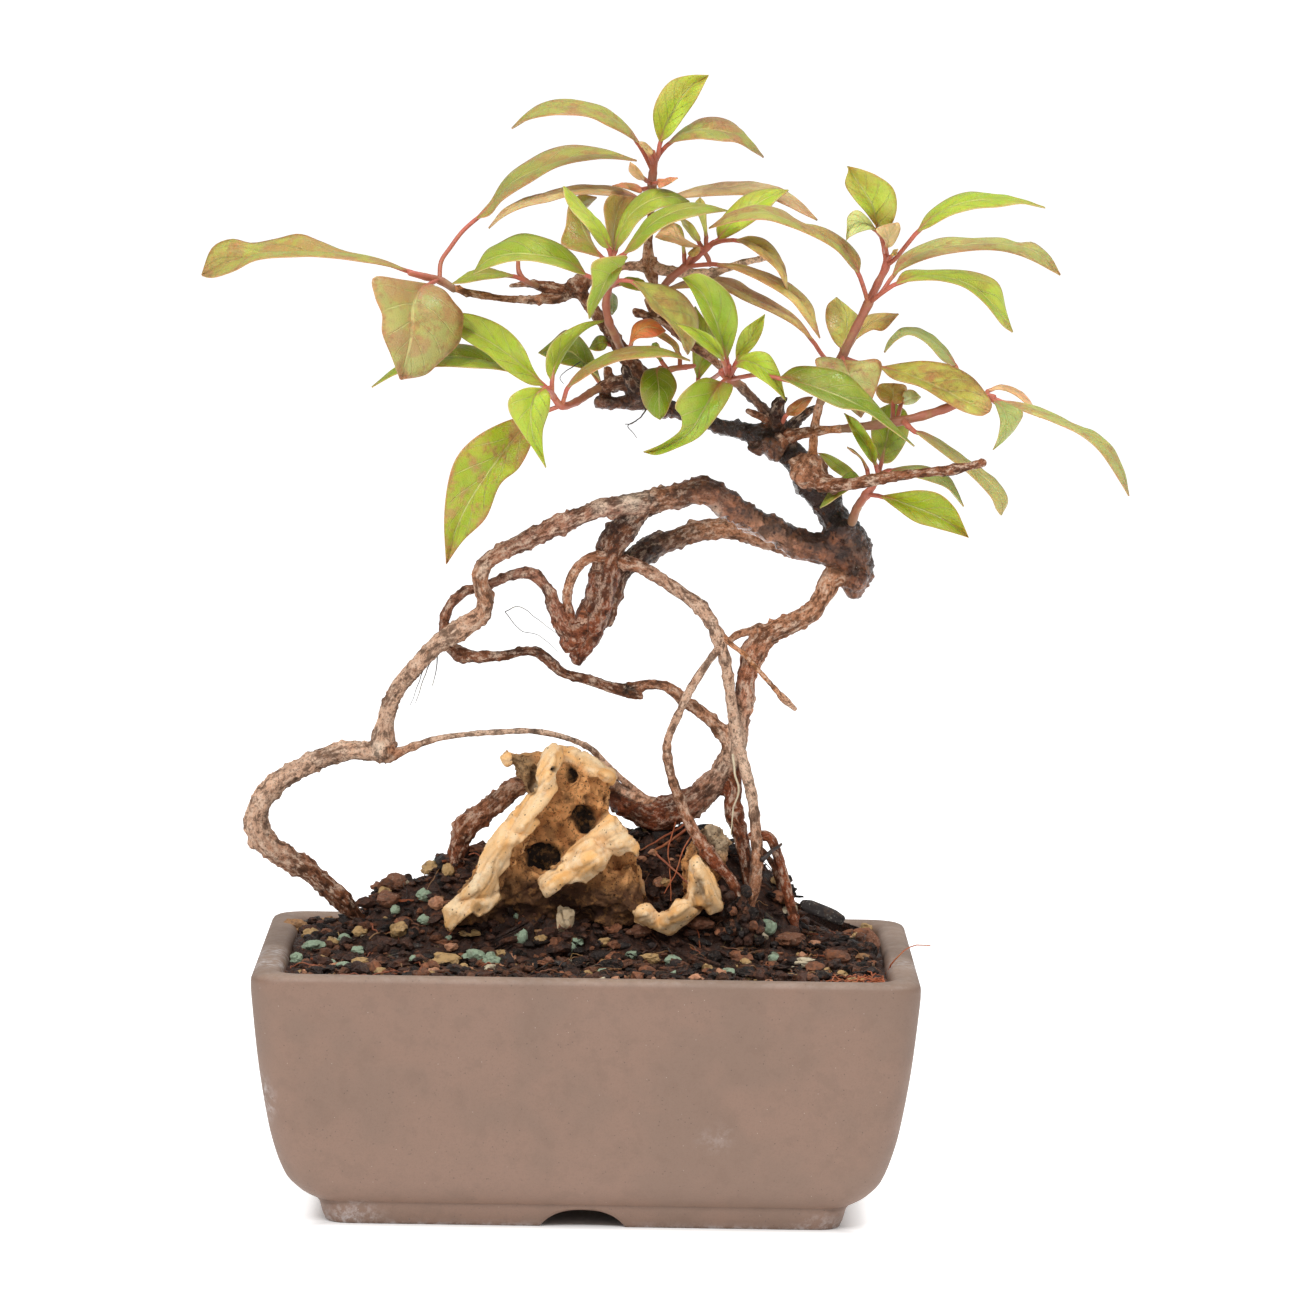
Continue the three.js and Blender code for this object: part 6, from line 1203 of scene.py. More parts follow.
def bark_surface():
    surface = Surface("bark", 0.7, Specular_IOR_Level=0.12, Coat_IOR=1.34, Coat_Roughness=0.08)
    own, wet = surface.tint()
    streaks = surface.noise(1.7, 5.0, 0.68, where=surface.attribute("grain").outputs["Vector"])
    fine = surface.noise(0.75, 5.0, 0.7)
    broad = surface.noise(5.5, 4.0, 0.62)
    shade = surface.mix(0.82, own, "bark_shade")
    light = surface.mix(0.68, own, "bark_dust")
    patched = surface.mix(surface.between(broad, 0.50, 0.60, 0.0, 0.8), own, shade)
    dust = surface.times(surface.between(streaks, 0.48, 0.62), surface.minus(1.0, wet))
    cracked = surface.mix(surface.between(streaks, 0.37, 0.47, 0.9, 0.0), surface.mix(dust, patched, light),
                          shade)
    grainy = surface.mix(surface.between(fine, 0.38, 0.50, 0.7, 0.0), cracked, shade)
    warm = surface.mix(surface.between(surface.noise(3.0, 3.0), 0.52, 0.66, 0.0, 0.45), grainy,
                       surface.mix(0.5, grainy, "bark_warm"))
    pores = surface.between(surface.dots(2.6), 0.14, 0.28, 1.0, 0.0)
    some = surface.between(surface.noise(4, 2.0), 0.45, 0.52)
    dark = surface.plus(surface.times(wet, 0.5), 0.4, clamp=True)
    glossy = surface.minus(wet, surface.times(broad, 0.3))
    surface.finish(
        Base_Color=surface.mix(surface.times(surface.times(pores, some), dark), warm, "bark_pore"),
        Roughness=surface.between(glossy, 0.0, 0.7, 0.62, 0.25),
        Coat_Weight=wet, Coat_Normal=surface.bump(surface.noise(1.3, 3.0), 1.3),
    )
    surface.relief((streaks, 0.9), (fine, 0.5), (pores, 0.3))
    return surface.material


def stone_surface():
    surface = Surface("limestone", 0.9, Specular_IOR_Level=0.25)
    own, stain = surface.tint()
    clean = surface.minus(1.0, stain, clamp=True)
    fine = surface.noise(0.9, 6.0, 0.72)
    middle = surface.noise(3.0, 5.0, 0.68)
    warm = surface.mix(surface.between(middle, 0.50, 0.64, 0.0, 0.5), own,
                       surface.mix(0.5, own, "stone_orange"))
    chalk = surface.mix(surface.times(surface.between(surface.noise(2.4, 4.0), 0.52, 0.66), clean), warm,
                        surface.mix(0.3, own, "stone_chalk"))
    soiled = surface.times(surface.between(surface.noise(4.4, 5.0, 0.7), 0.50, 0.62),
                           surface.plus(surface.times(stain, 0.6), 0.08))
    dirty = surface.mix(soiled, chalk, surface.mix(0.75, own, "stone_dirt"))
    speck = surface.between(fine, 0.36, 0.46, 1.0, 0.0)
    grimy = surface.times(speck, surface.plus(surface.times(stain, 0.8), 0.2))
    pores = surface.times(surface.between(surface.dots(1.7), 0.12, 0.24, 0.85, 0.0),
                          surface.between(surface.noise(3.2, 2.0), 0.48, 0.54))
    surface.finish(Base_Color=surface.mix(pores, surface.mix(grimy, dirty, "stone_grime"), "stone_pore"))
    rough = surface.plus(surface.times(stain, 0.7), 0.3)
    surface.relief((surface.times(middle, rough), 1.0), (surface.times(fine, rough), 0.7),
                   (surface.noise(0.4, 3.0), 0.15))
    return surface.material


def soil_surface():
    surface = Surface("soil", 0.8, Specular_IOR_Level=0.4)
    own, _ = surface.tint()
    fine = surface.noise(0.7, 4.0, 0.7)
    crumb = surface.noise(2.6, 4.0, 0.65)
    # Painted shade: the hollows of the crumb bump are painted near black, as the gaps between crumbs.
    base = surface.mix(surface.between(crumb, 0.38, 0.62, 0.55, 0.0), own, "soil_black")
    clods = surface.noise(3.4, 4.0, 0.7)
    rusty = surface.mix(surface.between(clods, 0.52, 0.66, 0.0, 0.6), base, "soil_rust")
    surface.finish(
        Base_Color=surface.mix(surface.between(fine, 0.58, 0.70, 0.0, 0.5), rusty, "soil_dry"),
        Roughness=surface.between(crumb, 0.42, 0.62, 0.4, 0.95),
    )
    surface.relief((crumb, 1.0), (fine, 0.5))
    return surface.material


def grain_surface():
    surface = Surface("grain", 0.7)
    own, _ = surface.tint()
    fine = surface.noise(0.8, 4.0, 0.65)
    dirt = surface.noise(2.8, 4.0, 0.65)
    stained = surface.mix(surface.between(dirt, 0.52, 0.66, 0.0, 0.8), own,
                          surface.mix(0.7, own, "grain_dirt"))
    surface.finish(Base_Color=surface.mix(surface.between(fine, 0.55, 0.7, 0.0, 0.4), stained,
                                          surface.mix(0.5, own, "grain_dust")))
    surface.relief((dirt, 0.5), (fine, 0.3))
    return surface.material


def pot_surface():
    surface = Surface("unglazed_clay", 0.62)
    own, scuffed = surface.tint()
    clouds = surface.noise(30, 4.0, 0.55)
    fine = surface.noise(0.6, 3.0, 0.6)
    body = surface.mix(surface.between(clouds, 0.42, 0.60, 0.0, 0.85), own,
                       surface.mix(0.5, own, "clay_cloud"))
    mottled = surface.mix(surface.between(surface.noise(7, 5.0, 0.65), 0.48, 0.66, 0.0, 0.45), body,
                          surface.mix(0.5, own, "clay_mottle"))
    grainy = surface.mix(surface.between(fine, 0.35, 0.5, 0.32, 0.0), mottled,
                         surface.mix(0.5, own, "clay_grit"))
    specks = surface.between(surface.dots(1.5), 0.06, 0.15, 1.0, 0.0)
    sparse = surface.between(surface.noise(4, 2.0), 0.50, 0.58)
    flecked = surface.mix(surface.times(surface.times(specks, sparse), 0.75), grainy, "clay_speck")
    dusted = surface.mix(surface.between(surface.dots(3.6), 0.02, 0.05, 0.4, 0.0), flecked, "clay_dust")
    scuff = surface.times(surface.between(surface.noise(2.6, 5.0, 0.7), 0.42, 0.66), scuffed)
    surface.finish(
        Base_Color=surface.mix(scuff, dusted, tone("bloom")),
        Roughness=surface.between(clouds, 0.3, 0.7, 0.50, 0.64),
    )
    surface.relief((surface.noise(12, 3.0), 0.5), (fine, 0.09), (specks, 0.06))
    return surface.material


# Leaves and young stems

VEIN_PAIRS = 6
VEIN_SLANT = 1.9
BLADE_ROWS = 40
BLADE_HALF = 5
# The first and last rows of a blade, in shares of its length: both stop just short of a point.
BLADE_ENDS = (0.008, 0.994)
HALF_THICKNESS = 0.26
# How much thinner the blade is at its margin.
EDGE_THINNING = 0.55
EDGE_WAVE = 0.9
# How far the blade arches out and swells between its veins, in shares of its half width.
BLADE_ARCH = 0.10
BLADE_QUILT = 0.045
STALK_RADIUS = 0.72
RIB_TIP_RADIUS = 0.12
# How far the rib's middle lies below the blade's.
RIB_DEPTH = 0.12
# The rib's colour away from the stalk, as it is seen.
RIB_COLOUR = (206, 196, 120)
STEM_SAMPLE = 0.8
# How strong and how long the joints of a stem are, in shares of its radius and its stations.
JOINT_SWELL = 0.16
JOINT_REACH = 0.03
# The seeds of a shoot's leaves count up from this one.
FIRST_LEAF_SEED = 40


def first_draw(seed):
    """The first number of the solids' own repeatable draw, which sets a leaf's ripple."""
    return ((seed * 1664525 + 1013904223) & 0xFFFFFFFF) / 4294967296


def foot_on(stems, point):
    """The nearest point of the stems, as seen from the front."""
    best = None
    for stem in stems:
        path = spline([station[:3] for station in stem], np.linspace(0, 1, 61))
        away = np.hypot(path[:, 0] - point[0], path[:, 1] - point[1])
        nearest = int(np.argmin(away))
        if best is None or away[nearest] < best[0]:
            best = (away[nearest], path[nearest])
    return tuple(best[1])


def blade_lines(look, along, phase):
    """The middle line of a blade and its two margins, at the given shares of its length."""
    visible = [tuple(point) for point in look["rib"]][look["start"]:]
    middles = spline(visible, even_shares(visible, along)[0])
    spread = np.sin(math.pi * along) ** 0.7
    edges = []
    for side, margin in enumerate(look["margins"]):
        outline = [visible[0], *[(column, row, 0) for column, row in margin], visible[-1]]
        line = spline(outline, even_shares(outline, along)[0])
        ripple = EDGE_WAVE * np.sin(along * 3 * math.pi + phase + side * 2)
        depths = middles[:, 2] + (look["turn"][side] + ripple) * spread
        edges.append(np.array([place(c, r, d) for (c, r, _), d in zip(line, depths)]))
    return np.array([place(*point) for point in middles]), edges


def blade_faces(rows, width):
    """The faces of a thin blade whose back points follow all of its front ones."""
    offset = rows * width
    faces = []
    for k in range(rows - 1):
        for j in range(width - 1):
            a, b = k * width + j, k * width + j + 1
            c, d = b + width, a + width
            faces.append((a, b, c, d))
            faces.append((d + offset, c + offset, b + offset, a + offset))
        for j, flip in ((0, False), (width - 1, True)):
            a, d = k * width + j, (k + 1) * width + j
            rim = (a, d, d + offset, a + offset)
            faces.append(rim[::-1] if flip else rim)
    for k, flip in ((0, True), (rows - 1, False)):
        for j in range(width - 1):
            a, b = k * width + j, k * width + j + 1
            end = (a, b, b + offset, a + offset)
            faces.append(end[::-1] if flip else end)
    return faces


def add_leaf(body, look, seed):
    draw = random.Random(seed)
    along = np.linspace(*BLADE_ENDS, BLADE_ROWS + 1)
    centre, edges = blade_lines(look, along, first_draw(seed) * 2 * math.pi)
    lengthways = unit(np.gradient(centre, axis=0))
    normals = unit(np.cross(lengthways, edges[0] - edges[1]))
    if dot(normals, EYE - centre).sum() < 0:
        normals = -normals
    width = 2 * BLADE_HALF + 1
    slant = draw.uniform(-0.3, 0.3)
    fronts, backs, marks = [], [], []
    for k, way in enumerate(along):
        half = [np.linalg.norm(edges[side][k] - centre[k]) for side in (0, 1)]
        for share in np.linspace(-1, 1, width):
            side = 0 if share < 0 else 1
            out = abs(share)
            point = centre[k] + (edges[side][k] - centre[k]) * out
            vein = way * VEIN_PAIRS - out**0.8 * VEIN_SLANT
            quilt = -math.cos(2 * math.pi * (vein - 0.5)) * out * (1.05 - out) * BLADE_QUILT * half[side]
            arch = BLADE_ARCH * half[side] * math.sin(math.pi * min(1, out * 1.1)) * (1 + slant * share)
            point = point + normals[k] * (arch + quilt)
            thick = HALF_THICKNESS * (1 - EDGE_THINNING * out**3)
            fronts.append(point + normals[k] * thick)
            backs.append(point - normals[k] * thick)
            marks.append((share, way, 0))
    faces = blade_faces(len(along), width)
    middle_row = len(along) // 2
    a = middle_row * width + BLADE_HALF
    first = np.cross(fronts[a + 1] - fronts[a], fronts[a + width] - fronts[a])
    if first.dot(normals[middle_row]) < 0:
        faces = [face[::-1] for face in faces]
    colour = hue(look["tone"]) * draw.uniform(0.9, 1.1)
    upper = np.append(colour, look["rust"])
    lower = np.append(mixed(colour, hue("olive") * 1.15, 0.45), look["rust"])
    tints = np.repeat([upper, lower], len(fronts), axis=0)
    body.add(np.vstack([fronts, backs]), faces, blade=np.array(marks * 2, float), tint=tints)
    return centre, normals


def add_stalk(body, look, centre, normals, stem_colour):
    """The leaf's red stalk, which runs on under the blade as its rib."""
    stations = [place(*point) for point in look["rib"][:look["start"] + 1]]
    lead = spline(stations, np.linspace(0, 1, 4 * len(stations)))[:-1]
    rib = centre - normals * RIB_DEPTH
    path = np.vstack([lead, rib])
    taper = (1 - np.linspace(0, 1, len(rib))) ** 1.6
    radii = np.concatenate([
        np.full(len(lead), STALK_RADIUS), RIB_TIP_RADIUS + (STALK_RADIUS - RIB_TIP_RADIUS) * taper,
    ])
    ways = np.concatenate([np.zeros(len(lead)), np.linspace(0, 1, len(rib))])
    red = hue("stalk")
    pale = mixed(hue(look["tone"]), linear(RIB_COLOUR), 0.6)
    colours = mixed(red, pale, ways * 3.2)
    colours[:len(lead)] = mixed(stem_colour, red, np.linspace(0.4, 1, len(lead)))
    body.tube(path, radii, STALK_SIDES, tint=np.column_stack([colours, np.ones(len(path))]))


def add_stem(body, stations, first, second, seed):
    """A stem with a slight joint at each of its stations."""
    path, shares, _ = even_path(stations, STEM_SAMPLE, 8)
    swell = 1 + 0.10 * wave(path[:, :3], 2.2, seed)
    for joint in np.linspace(0, 1, len(stations))[1:-1]:
        swell += JOINT_SWELL * np.exp(-((shares - joint) / JOINT_REACH) ** 2)
    colours = mixed(hue(first), hue(second), np.linspace(0, 1, len(path)))
    tints = np.column_stack([colours, np.ones(len(path))])
    body.tube(path[:, :3], path[:, 3] * swell, TWIG_SIDES, tint=tints)


def make_shoots():
    blade_finish = leaf_surface()
    stem_finish = stem_surface()
    for name, (slot, stems, leaves) in SHOOTS.items():
        blades, woods = Body(), Body()
        rooted = []
        for stem in stems:
            if rooted:
                stem = [foot_on(rooted, stem[0]) + (stem[0][3],), *stem[1:]]
            rooted.append(stem)
        for index, stem in enumerate(rooted):
            add_stem(woods, stem, "stem" if index else "old_stem", "stalk", index + 1)
        for index, look in enumerate(leaves):
            if rooted:
                look = {**look, "rib": [foot_on(rooted, look["rib"][0]), *look["rib"][1:]]}
            centre, normals = add_leaf(blades, look, FIRST_LEAF_SEED + index)
            add_stalk(woods, look, centre, normals, hue("stem"))
        carry(blades.make(name + "_blades"), blade_finish, slot, name)
        carry(woods.make(name + "_stems"), stem_finish, slot, name)


# Old wood

BARK_GRID = 0.68
LIMB_SAMPLE = 1.0
# How many samples of the limbs each point of the bark takes its colour from, and how softly they
# give way to each other.
SAMPLES_READ = 5
SAMPLE_BLEND = 0.8
# Each limb's texture is read this far along from that of the limb before, so that no two look alike.
TEXTURE_STEP = 37
HAIR_POINTS = 24


def limb_tints(name, count):
    """The colours along a limb, from its looks at even steps."""
    looks = np.array([tone(colour, wet) for colour, wet in LIMB_LOOKS[name]])
    steps = np.linspace(0, 1, len(looks))
    ways = np.linspace(0, 1, count)
    return np.column_stack([np.interp(ways, steps, column) for column in looks.T])


def marked(points, tints):
    """The bark's colours with its scars and dark bands on the side that is seen."""
    columns, rows = seen(points)
    for colour, column, row, radius, strength in BARK_MARKS:
        away = np.hypot(columns - column, rows - row) / radius
        ragged = away + 0.35 * wave(points, 1.6, column)
        share = strength * np.clip(1.6 - 1.5 * ragged, 0, 1)
        tints[:, :3] = mixed(tints[:, :3], hue(colour), share)
    return tints


def bark_height(points, around, lengthways, radius):
    """How far the bark stands out at each point: long ridges, cross wrinkles and warts."""
    girth = np.clip(radius / 3.5, 0.35, 1.25)
    lumps = wave(points, 7.5, 3) * 0.75 * girth
    knobs = wave(points, 3.4, 6) * 0.42 * girth
    rolled = np.column_stack([around * (radius / 1.5)[:, None], lengthways / 6])
    ridges = wave(rolled, 1.0, 9) * 0.32 * girth
    wrinkles = wave(np.column_stack([around * 0.8, lengthways / 1.3]), 1.0, 15) * 0.30 * girth
    spots = warts(points, 4.0, 0.36, 21) * 2.9 + warts(points, 2.1, 0.36, 40) * 1.5
    return lumps + knobs + ridges + wrinkles + spots * np.minimum(girth + 0.1, 1) - 0.22


def nearest_samples(points, samples):
    """For each point the values of the limb it lies on, and a colour blended from its neighbours."""
    tree = KDTree(len(samples))
    for index, sample in enumerate(samples):
        tree.insert(sample[0], index)
    tree.balance()
    nearest, tints = [], []
    for point in points:
        found = tree.find_n(point, SAMPLES_READ)
        depths = np.array([away - samples[index][1] for _, index, away in found])
        weights = np.exp(-(depths - depths.min()) / SAMPLE_BLEND)
        weights /= weights.sum()
        tints.append(sum(w * samples[index][-1] for w, (_, index, _) in zip(weights, found)))
        nearest.append(samples[found[int(np.argmin(depths))][1]])
    return [np.array(column) for column in list(zip(*nearest))[:-1]], np.array(tints)


def raise_bark(mesh, samples):
    """Raises the bark over the wood's core and gives it its colours, with painted light and shade, and the
    way of its texture.
    """
    points, normals = read_points(mesh)
    (centres, radii, tangents, others, firsts, lengths), tints = nearest_samples(points, samples)
    outwards = points - centres
    around = unit(np.column_stack([dot(outwards, others), dot(outwards, firsts)]))
    lengths = lengths + dot(outwards, tangents)
    give(mesh, "grain", grain(around[:, 0] * radii, around[:, 1] * radii, lengths))
    heights = bark_height(points, around, lengths, radii)
    tints = marked(points, tints)
    above = np.clip(normals[:, 2], -1, 1)
    wet = tints[:, 3]
    soaked = np.clip(0.45 + above * 1.3 + wave(points, 5, 77) * 0.9, 0, 1) * wet
    # Painted light and shade: the bark is painted lighter on its raised bumps and darker in its hollows, and
    # dry bark lighter on its upper faces. Wet bark is painted darker on top.
    shade = 1 + heights * (0.26 + 0.2 * wet) + above * 0.18 * (1 - wet) - 0.8 * soaked
    tints[:, :3] *= np.clip(shade, 0.15, 1.6)[:, None]
    write_points(mesh, points + normals * heights[:, None])
    give(mesh, "tint", tints)


def make_hairs():
    hairs = Body()
    for index, (colour, radius, way) in enumerate(HAIRS):
        placed = np.array([place(*station) for station in way])
        path = spline(placed, even_shares(placed, np.linspace(0, 1, HAIR_POINTS))[0])
        path = path + 0.25 * np.column_stack([wave(path, 3, index + shift) for shift in (0, 9, 17)])
        hairs.tube(path, radius * np.linspace(1, 0.45, HAIR_POINTS), HAIR_SIDES, tint=tone(colour, 0.1))
    carry(hairs.make("hair_roots"), bpy.data.materials["young_stem"], "bark")


def make_wood():
    rough, fine, samples = Body(), Body(), []
    for index, (name, stations) in enumerate(LIMBS.items()):
        path, _, length = even_path(stations, LIMB_SAMPLE, 6)
        centres, radii = path[:, :3], path[:, 3]
        lengths = np.linspace(0, length, len(path)) + index * TEXTURE_STEP
        tints = limb_tints(name, len(path))
        samples += zip(centres, radii, *frames(centres), lengths, tints)
        if name in FINE_LIMBS:
            swell = 1 + 0.20 * wave(centres, 2.8, index) + 0.16 * wave(centres, 1.2, index + 5)
            swell += warts(centres, 3.0, 0.4, index) * 0.9
            fine.tube(centres, radii * swell, TWIG_SIDES, tint=marked(centres, tints))
        else:
            rough.tube(centres, radii * (1 + 0.06 * wave(centres, 4, index)), LIMB_SIDES)
    for column, row, depth, radius in KNOTS:
        points, faces = lump(radius, 3, 0.16, int(column))
        rough.add(points + place(column, row, depth), faces)
    piece = remeshed(rough.make("bark_core"), BARK_GRID)
    raise_bark(piece.data, samples)
    finish = bark_surface()
    carry(piece, finish, "bark", "trunk_and_roots")
    carry(fine.make("fine_roots"), finish, "bark", "trunk_and_roots")
    make_hairs()


# Rock

STONE_GRID = 0.62
# The rock's pale slabs as they are seen: outlines of columns and rows. Between them its face is
# worn back, brown and pitted.
SLABS = [
    [(544, 749), (556, 741), (568, 744), (563, 761), (556, 775), (557, 791), (547, 804), (535, 818),
     (540, 823), (525, 840), (513, 849), (511, 864), (499, 878), (501, 899), (490, 912), (479, 918),
     (475, 911), (466, 918), (451, 932), (441, 925), (440, 911), (454, 897), (473, 878), (481, 854),
     (492, 835), (511, 814), (525, 799), (535, 787), (536, 771)],
    [(566, 744), (582, 745), (597, 757), (611, 768), (619, 775), (613, 786), (600, 780), (594, 778),
     (582, 764), (563, 761)],
    [(537, 880), (542, 873), (559, 861), (570, 847), (578, 840), (594, 828), (611, 812), (622, 823),
     (629, 835), (640, 840), (642, 852), (637, 858), (630, 852), (620, 856), (613, 854), (606, 868),
     (597, 875), (587, 883), (568, 884), (559, 890), (547, 899), (541, 892)],
    [(632, 911), (640, 904), (654, 903), (657, 912), (668, 911), (675, 899), (687, 897), (692, 902),
     (699, 916), (682, 927), (673, 937), (661, 935), (649, 928), (635, 921)],
    [(689, 861), (697, 853), (709, 868), (715, 880), (724, 897), (726, 916), (711, 916), (701, 906),
     (693, 906), (687, 899), (688, 887)],
    [(499, 757), (507, 749), (513, 753), (513, 764), (505, 769)],
]
# The way each slab's grain runs as it is seen, in degrees below level towards the right.
SLAB_TURNS = [-60, 30, -32, -20, 62, -25]
# How wide the soft line around a slab is, as it is seen.
SLAB_EDGE = 2.2
# Holes of the rock, sunk into it and painted near black as painted shade, as they are seen: column, row, half
# width, half height, strength.
ROCK_HOLES = [
    (585, 819, 11, 11, 1), (545, 855, 16, 16, 1), (554, 769, 3.4, 3.2, 0.9), (570, 773, 5.5, 8, 0.9),
    (531, 786, 7, 9, 0.55), (560, 905, 12, 9, 0.9), (699, 889, 6, 12, 0.5), (580, 916, 30, 7, 0.9),
    (517, 915, 22, 8, 0.8), (478, 908, 7, 6, 0.5),
]
# Patches of the worn face that have weathered grey: column, row, half width, half height.
GREY_FIN = (520, 772, 18, 26)
GREY_BACK = (722, 832, 26, 24)
# Below this row the rock is painted darker towards its foot, in the soil's colour.
DARK_BASE_ROW = 926
# Left of this column its worn face is painted darker below this row.
DARK_LOW_COLUMN = 650
DARK_LOW_ROW = 866
# How many columns of the view one millimetre of the tree takes up.
SEEN_PER_MM = 3.2


def inside(columns, rows, outline):
    """How far within an outline each seen place lies: 1 well inside, 0 outside, soft at the line."""
    corners = np.array(outline, float)
    crossed = np.zeros(len(columns), bool)
    nearest = np.full(len(columns), np.inf)
    for (x0, y0), (x1, y1) in zip(corners, np.roll(corners, -1, axis=0)):
        spans = (y0 > rows) != (y1 > rows)
        at = x0 + (rows - y0) * (x1 - x0) / np.where(y1 == y0, 1e-9, y1 - y0)
        crossed ^= spans & (columns < at)
        run = np.array([x1 - x0, y1 - y0])
        share = ((columns - x0) * run[0] + (rows - y0) * run[1]) / max(run @ run, 1e-9)
        share = np.clip(share, 0, 1)
        away = np.hypot(columns - x0 - share * run[0], rows - y0 - share * run[1])
        nearest = np.minimum(nearest, away)
    signed = np.where(crossed, nearest, -nearest)
    return np.clip(signed / SLAB_EDGE + 0.5, 0, 1)


def slab_shares(points, columns, rows):
    """How far each point lies on a pale slab, and the way the grain runs there."""
    wobble = wave(points, 2.6, 60) * 2.2
    slab = np.zeros(len(points))
    turn = np.full(len(points), math.radians(SLAB_TURNS[0]))
    for outline, degrees in zip(SLABS, SLAB_TURNS):
        share = inside(columns + wobble, rows - wobble, outline)
        turn = np.where(share > slab, math.radians(degrees), turn)
        slab = np.maximum(slab, share)
    return slab, turn


def from_middle(columns, rows, patch):
    """How far each seen place is from a patch's middle: 1 is on its edge."""
    column, row, half_width, half_height = patch
    return np.hypot((columns - column) / half_width, (rows - row) / half_height)


def hole_shares(points, columns, rows):
    """How far each point lies in a hole of the rock."""
    hole = np.zeros(len(points))
    rough = 0.22 * wave(points, 2.2, 50)
    for *patch, strength in ROCK_HOLES:
        away = from_middle(columns, rows, patch) + rough
        hole = np.maximum(hole, strength * np.clip(2.4 - 2.0 * away, 0, 1))
    return hole


def make_stone():
    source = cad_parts["stone"].data
    body = Body()
    body.add(np.array([vertex.co[:] for vertex in source.vertices]) / MM,
             [list(face.vertices) for face in source.polygons])
    piece = remeshed(body.make("rock"), STONE_GRID)
    points, normals = read_points(piece.data)
    points = relaxed(piece.data, points, 2)
    columns, rows = seen(points)
    slab, turn = slab_shares(points, columns, rows)
    front = np.clip((0.45 - normals[:, 1]) * 2.5, 0, 1)
    hole = hole_shares(points, columns, rows) * front * (normals[:, 2] < 0.75)
    back = np.clip(0.55 + wave(points, 8, 33) * 0.9, 0, 1)
    slab = slab * front + back * (1 - front)
    worn = 1 - slab

    # The slabs are splintered along their grain, the face between them is coarse and pitted.
    along = (columns * np.cos(turn) + rows * np.sin(turn)) / SEEN_PER_MM
    across = (rows * np.cos(turn) - columns * np.sin(turn)) / SEEN_PER_MM
    inwards = points[:, 1]
    stripes = wave(np.column_stack([along / 16, across / 1.15, inwards / 5]), 1.0, 4)
    splinters = facets(np.column_stack([along / 13, across / 3.2, inwards / 9]), 1.0, 3)
    seams = np.abs(wave(np.column_stack([along / 11, across / 3.4, inwards / 9]), 1.0, 30))
    cracks = np.clip(0.10 - seams, 0, 1) * 10
    coarse = wave(points, 3.6, 12)
    fine = wave(points, 1.6, 7)
    chips = facets(points, 2.3, 9)
    ledges = np.abs(wave(points, 6.5, 30))
    pits = warts(points, 4.2, 0.34, 2)
    heights = (
        slab * (0.5 + stripes * 0.30 + splinters * 0.24 - cracks * 0.45 + fine * 0.12)
        + worn * (-1.4 + coarse * 0.9 + fine * 0.85 + chips * 0.6 - ledges * 0.9 - pits * 4.5)
        - hole * 2.2
    )
    write_points(piece.data, points + normals * heights[:, None])

    drift = wave(points, 5, 70)
    pale = mixed(hue("cream"), hue("sand"), 0.55 + stripes * 0.55 + drift * 0.5 - splinters * 0.2)
    pale = mixed(pale, hue("umber"), cracks * 0.4)
    brown = mixed(hue("earth"), hue("umber"), 0.22 + coarse * -0.9 + drift * 0.7)
    colour = mixed(brown, pale, slab)
    for patch, name in ((GREY_FIN, "moss_grey"), (GREY_BACK, "stone_grey")):
        colour = mixed(colour, hue(name), (1.4 - from_middle(columns, rows, patch)) * 1.5 * worn)
    # Painted shade: the holes, and the pits of the worn face, are painted near black.
    colour = mixed(colour, hue("hole_shade"), hole * 1.3 + pits * worn * 2.5)
    colour = mixed(colour, hue("humus"), np.clip((rows - DARK_BASE_ROW) / 14, 0, 1) * (0.2 + 0.6 * worn))
    dark_low = np.clip((rows - DARK_LOW_ROW + 14 * drift) / 30, 0, 0.88)
    colour = mixed(colour, hue("humus"), dark_low * worn * (columns < DARK_LOW_COLUMN))
    give(piece.data, "tint", np.column_stack([colour, worn]))
    carry(piece, stone_surface(), "rock", "stone")


# Soil

SOIL_LEVEL = 75.4
SOIL_HALF = (92.8, 68.3)
SOIL_CORNER = 10
SOIL_CELLS = (176, 124)
# Along the pot's inside the bed keeps to this height in a margin of this width.
SOIL_EDGE = 76.6
SOIL_EDGE_WIDTH = 3
RIDGE_DEPTH = 10
RIDGE_WIDTHS = (21, 27)
# The mound's height above the level along the pot: x from its middle, height.
RIDGE_CREST = [
    (-93, 2), (-78, 3), (-70, 11), (-66, 18), (-52, 21), (-48, 26), (-38, 31), (-20, 34),
    (10, 36), (18, 39), (34, 38.5), (42, 35), (48, 33), (56, 27), (62, 21), (65, 12), (70, 5),
    (93, 3),
]
# The bed's sides below the rim: height, inset at the ends, inset at front and back.
SOIL_SIDES = [(66, 1.5, 1.1), (33, 5.6, 3.7), (17, 11, 7), (13.4, 17, 11)]
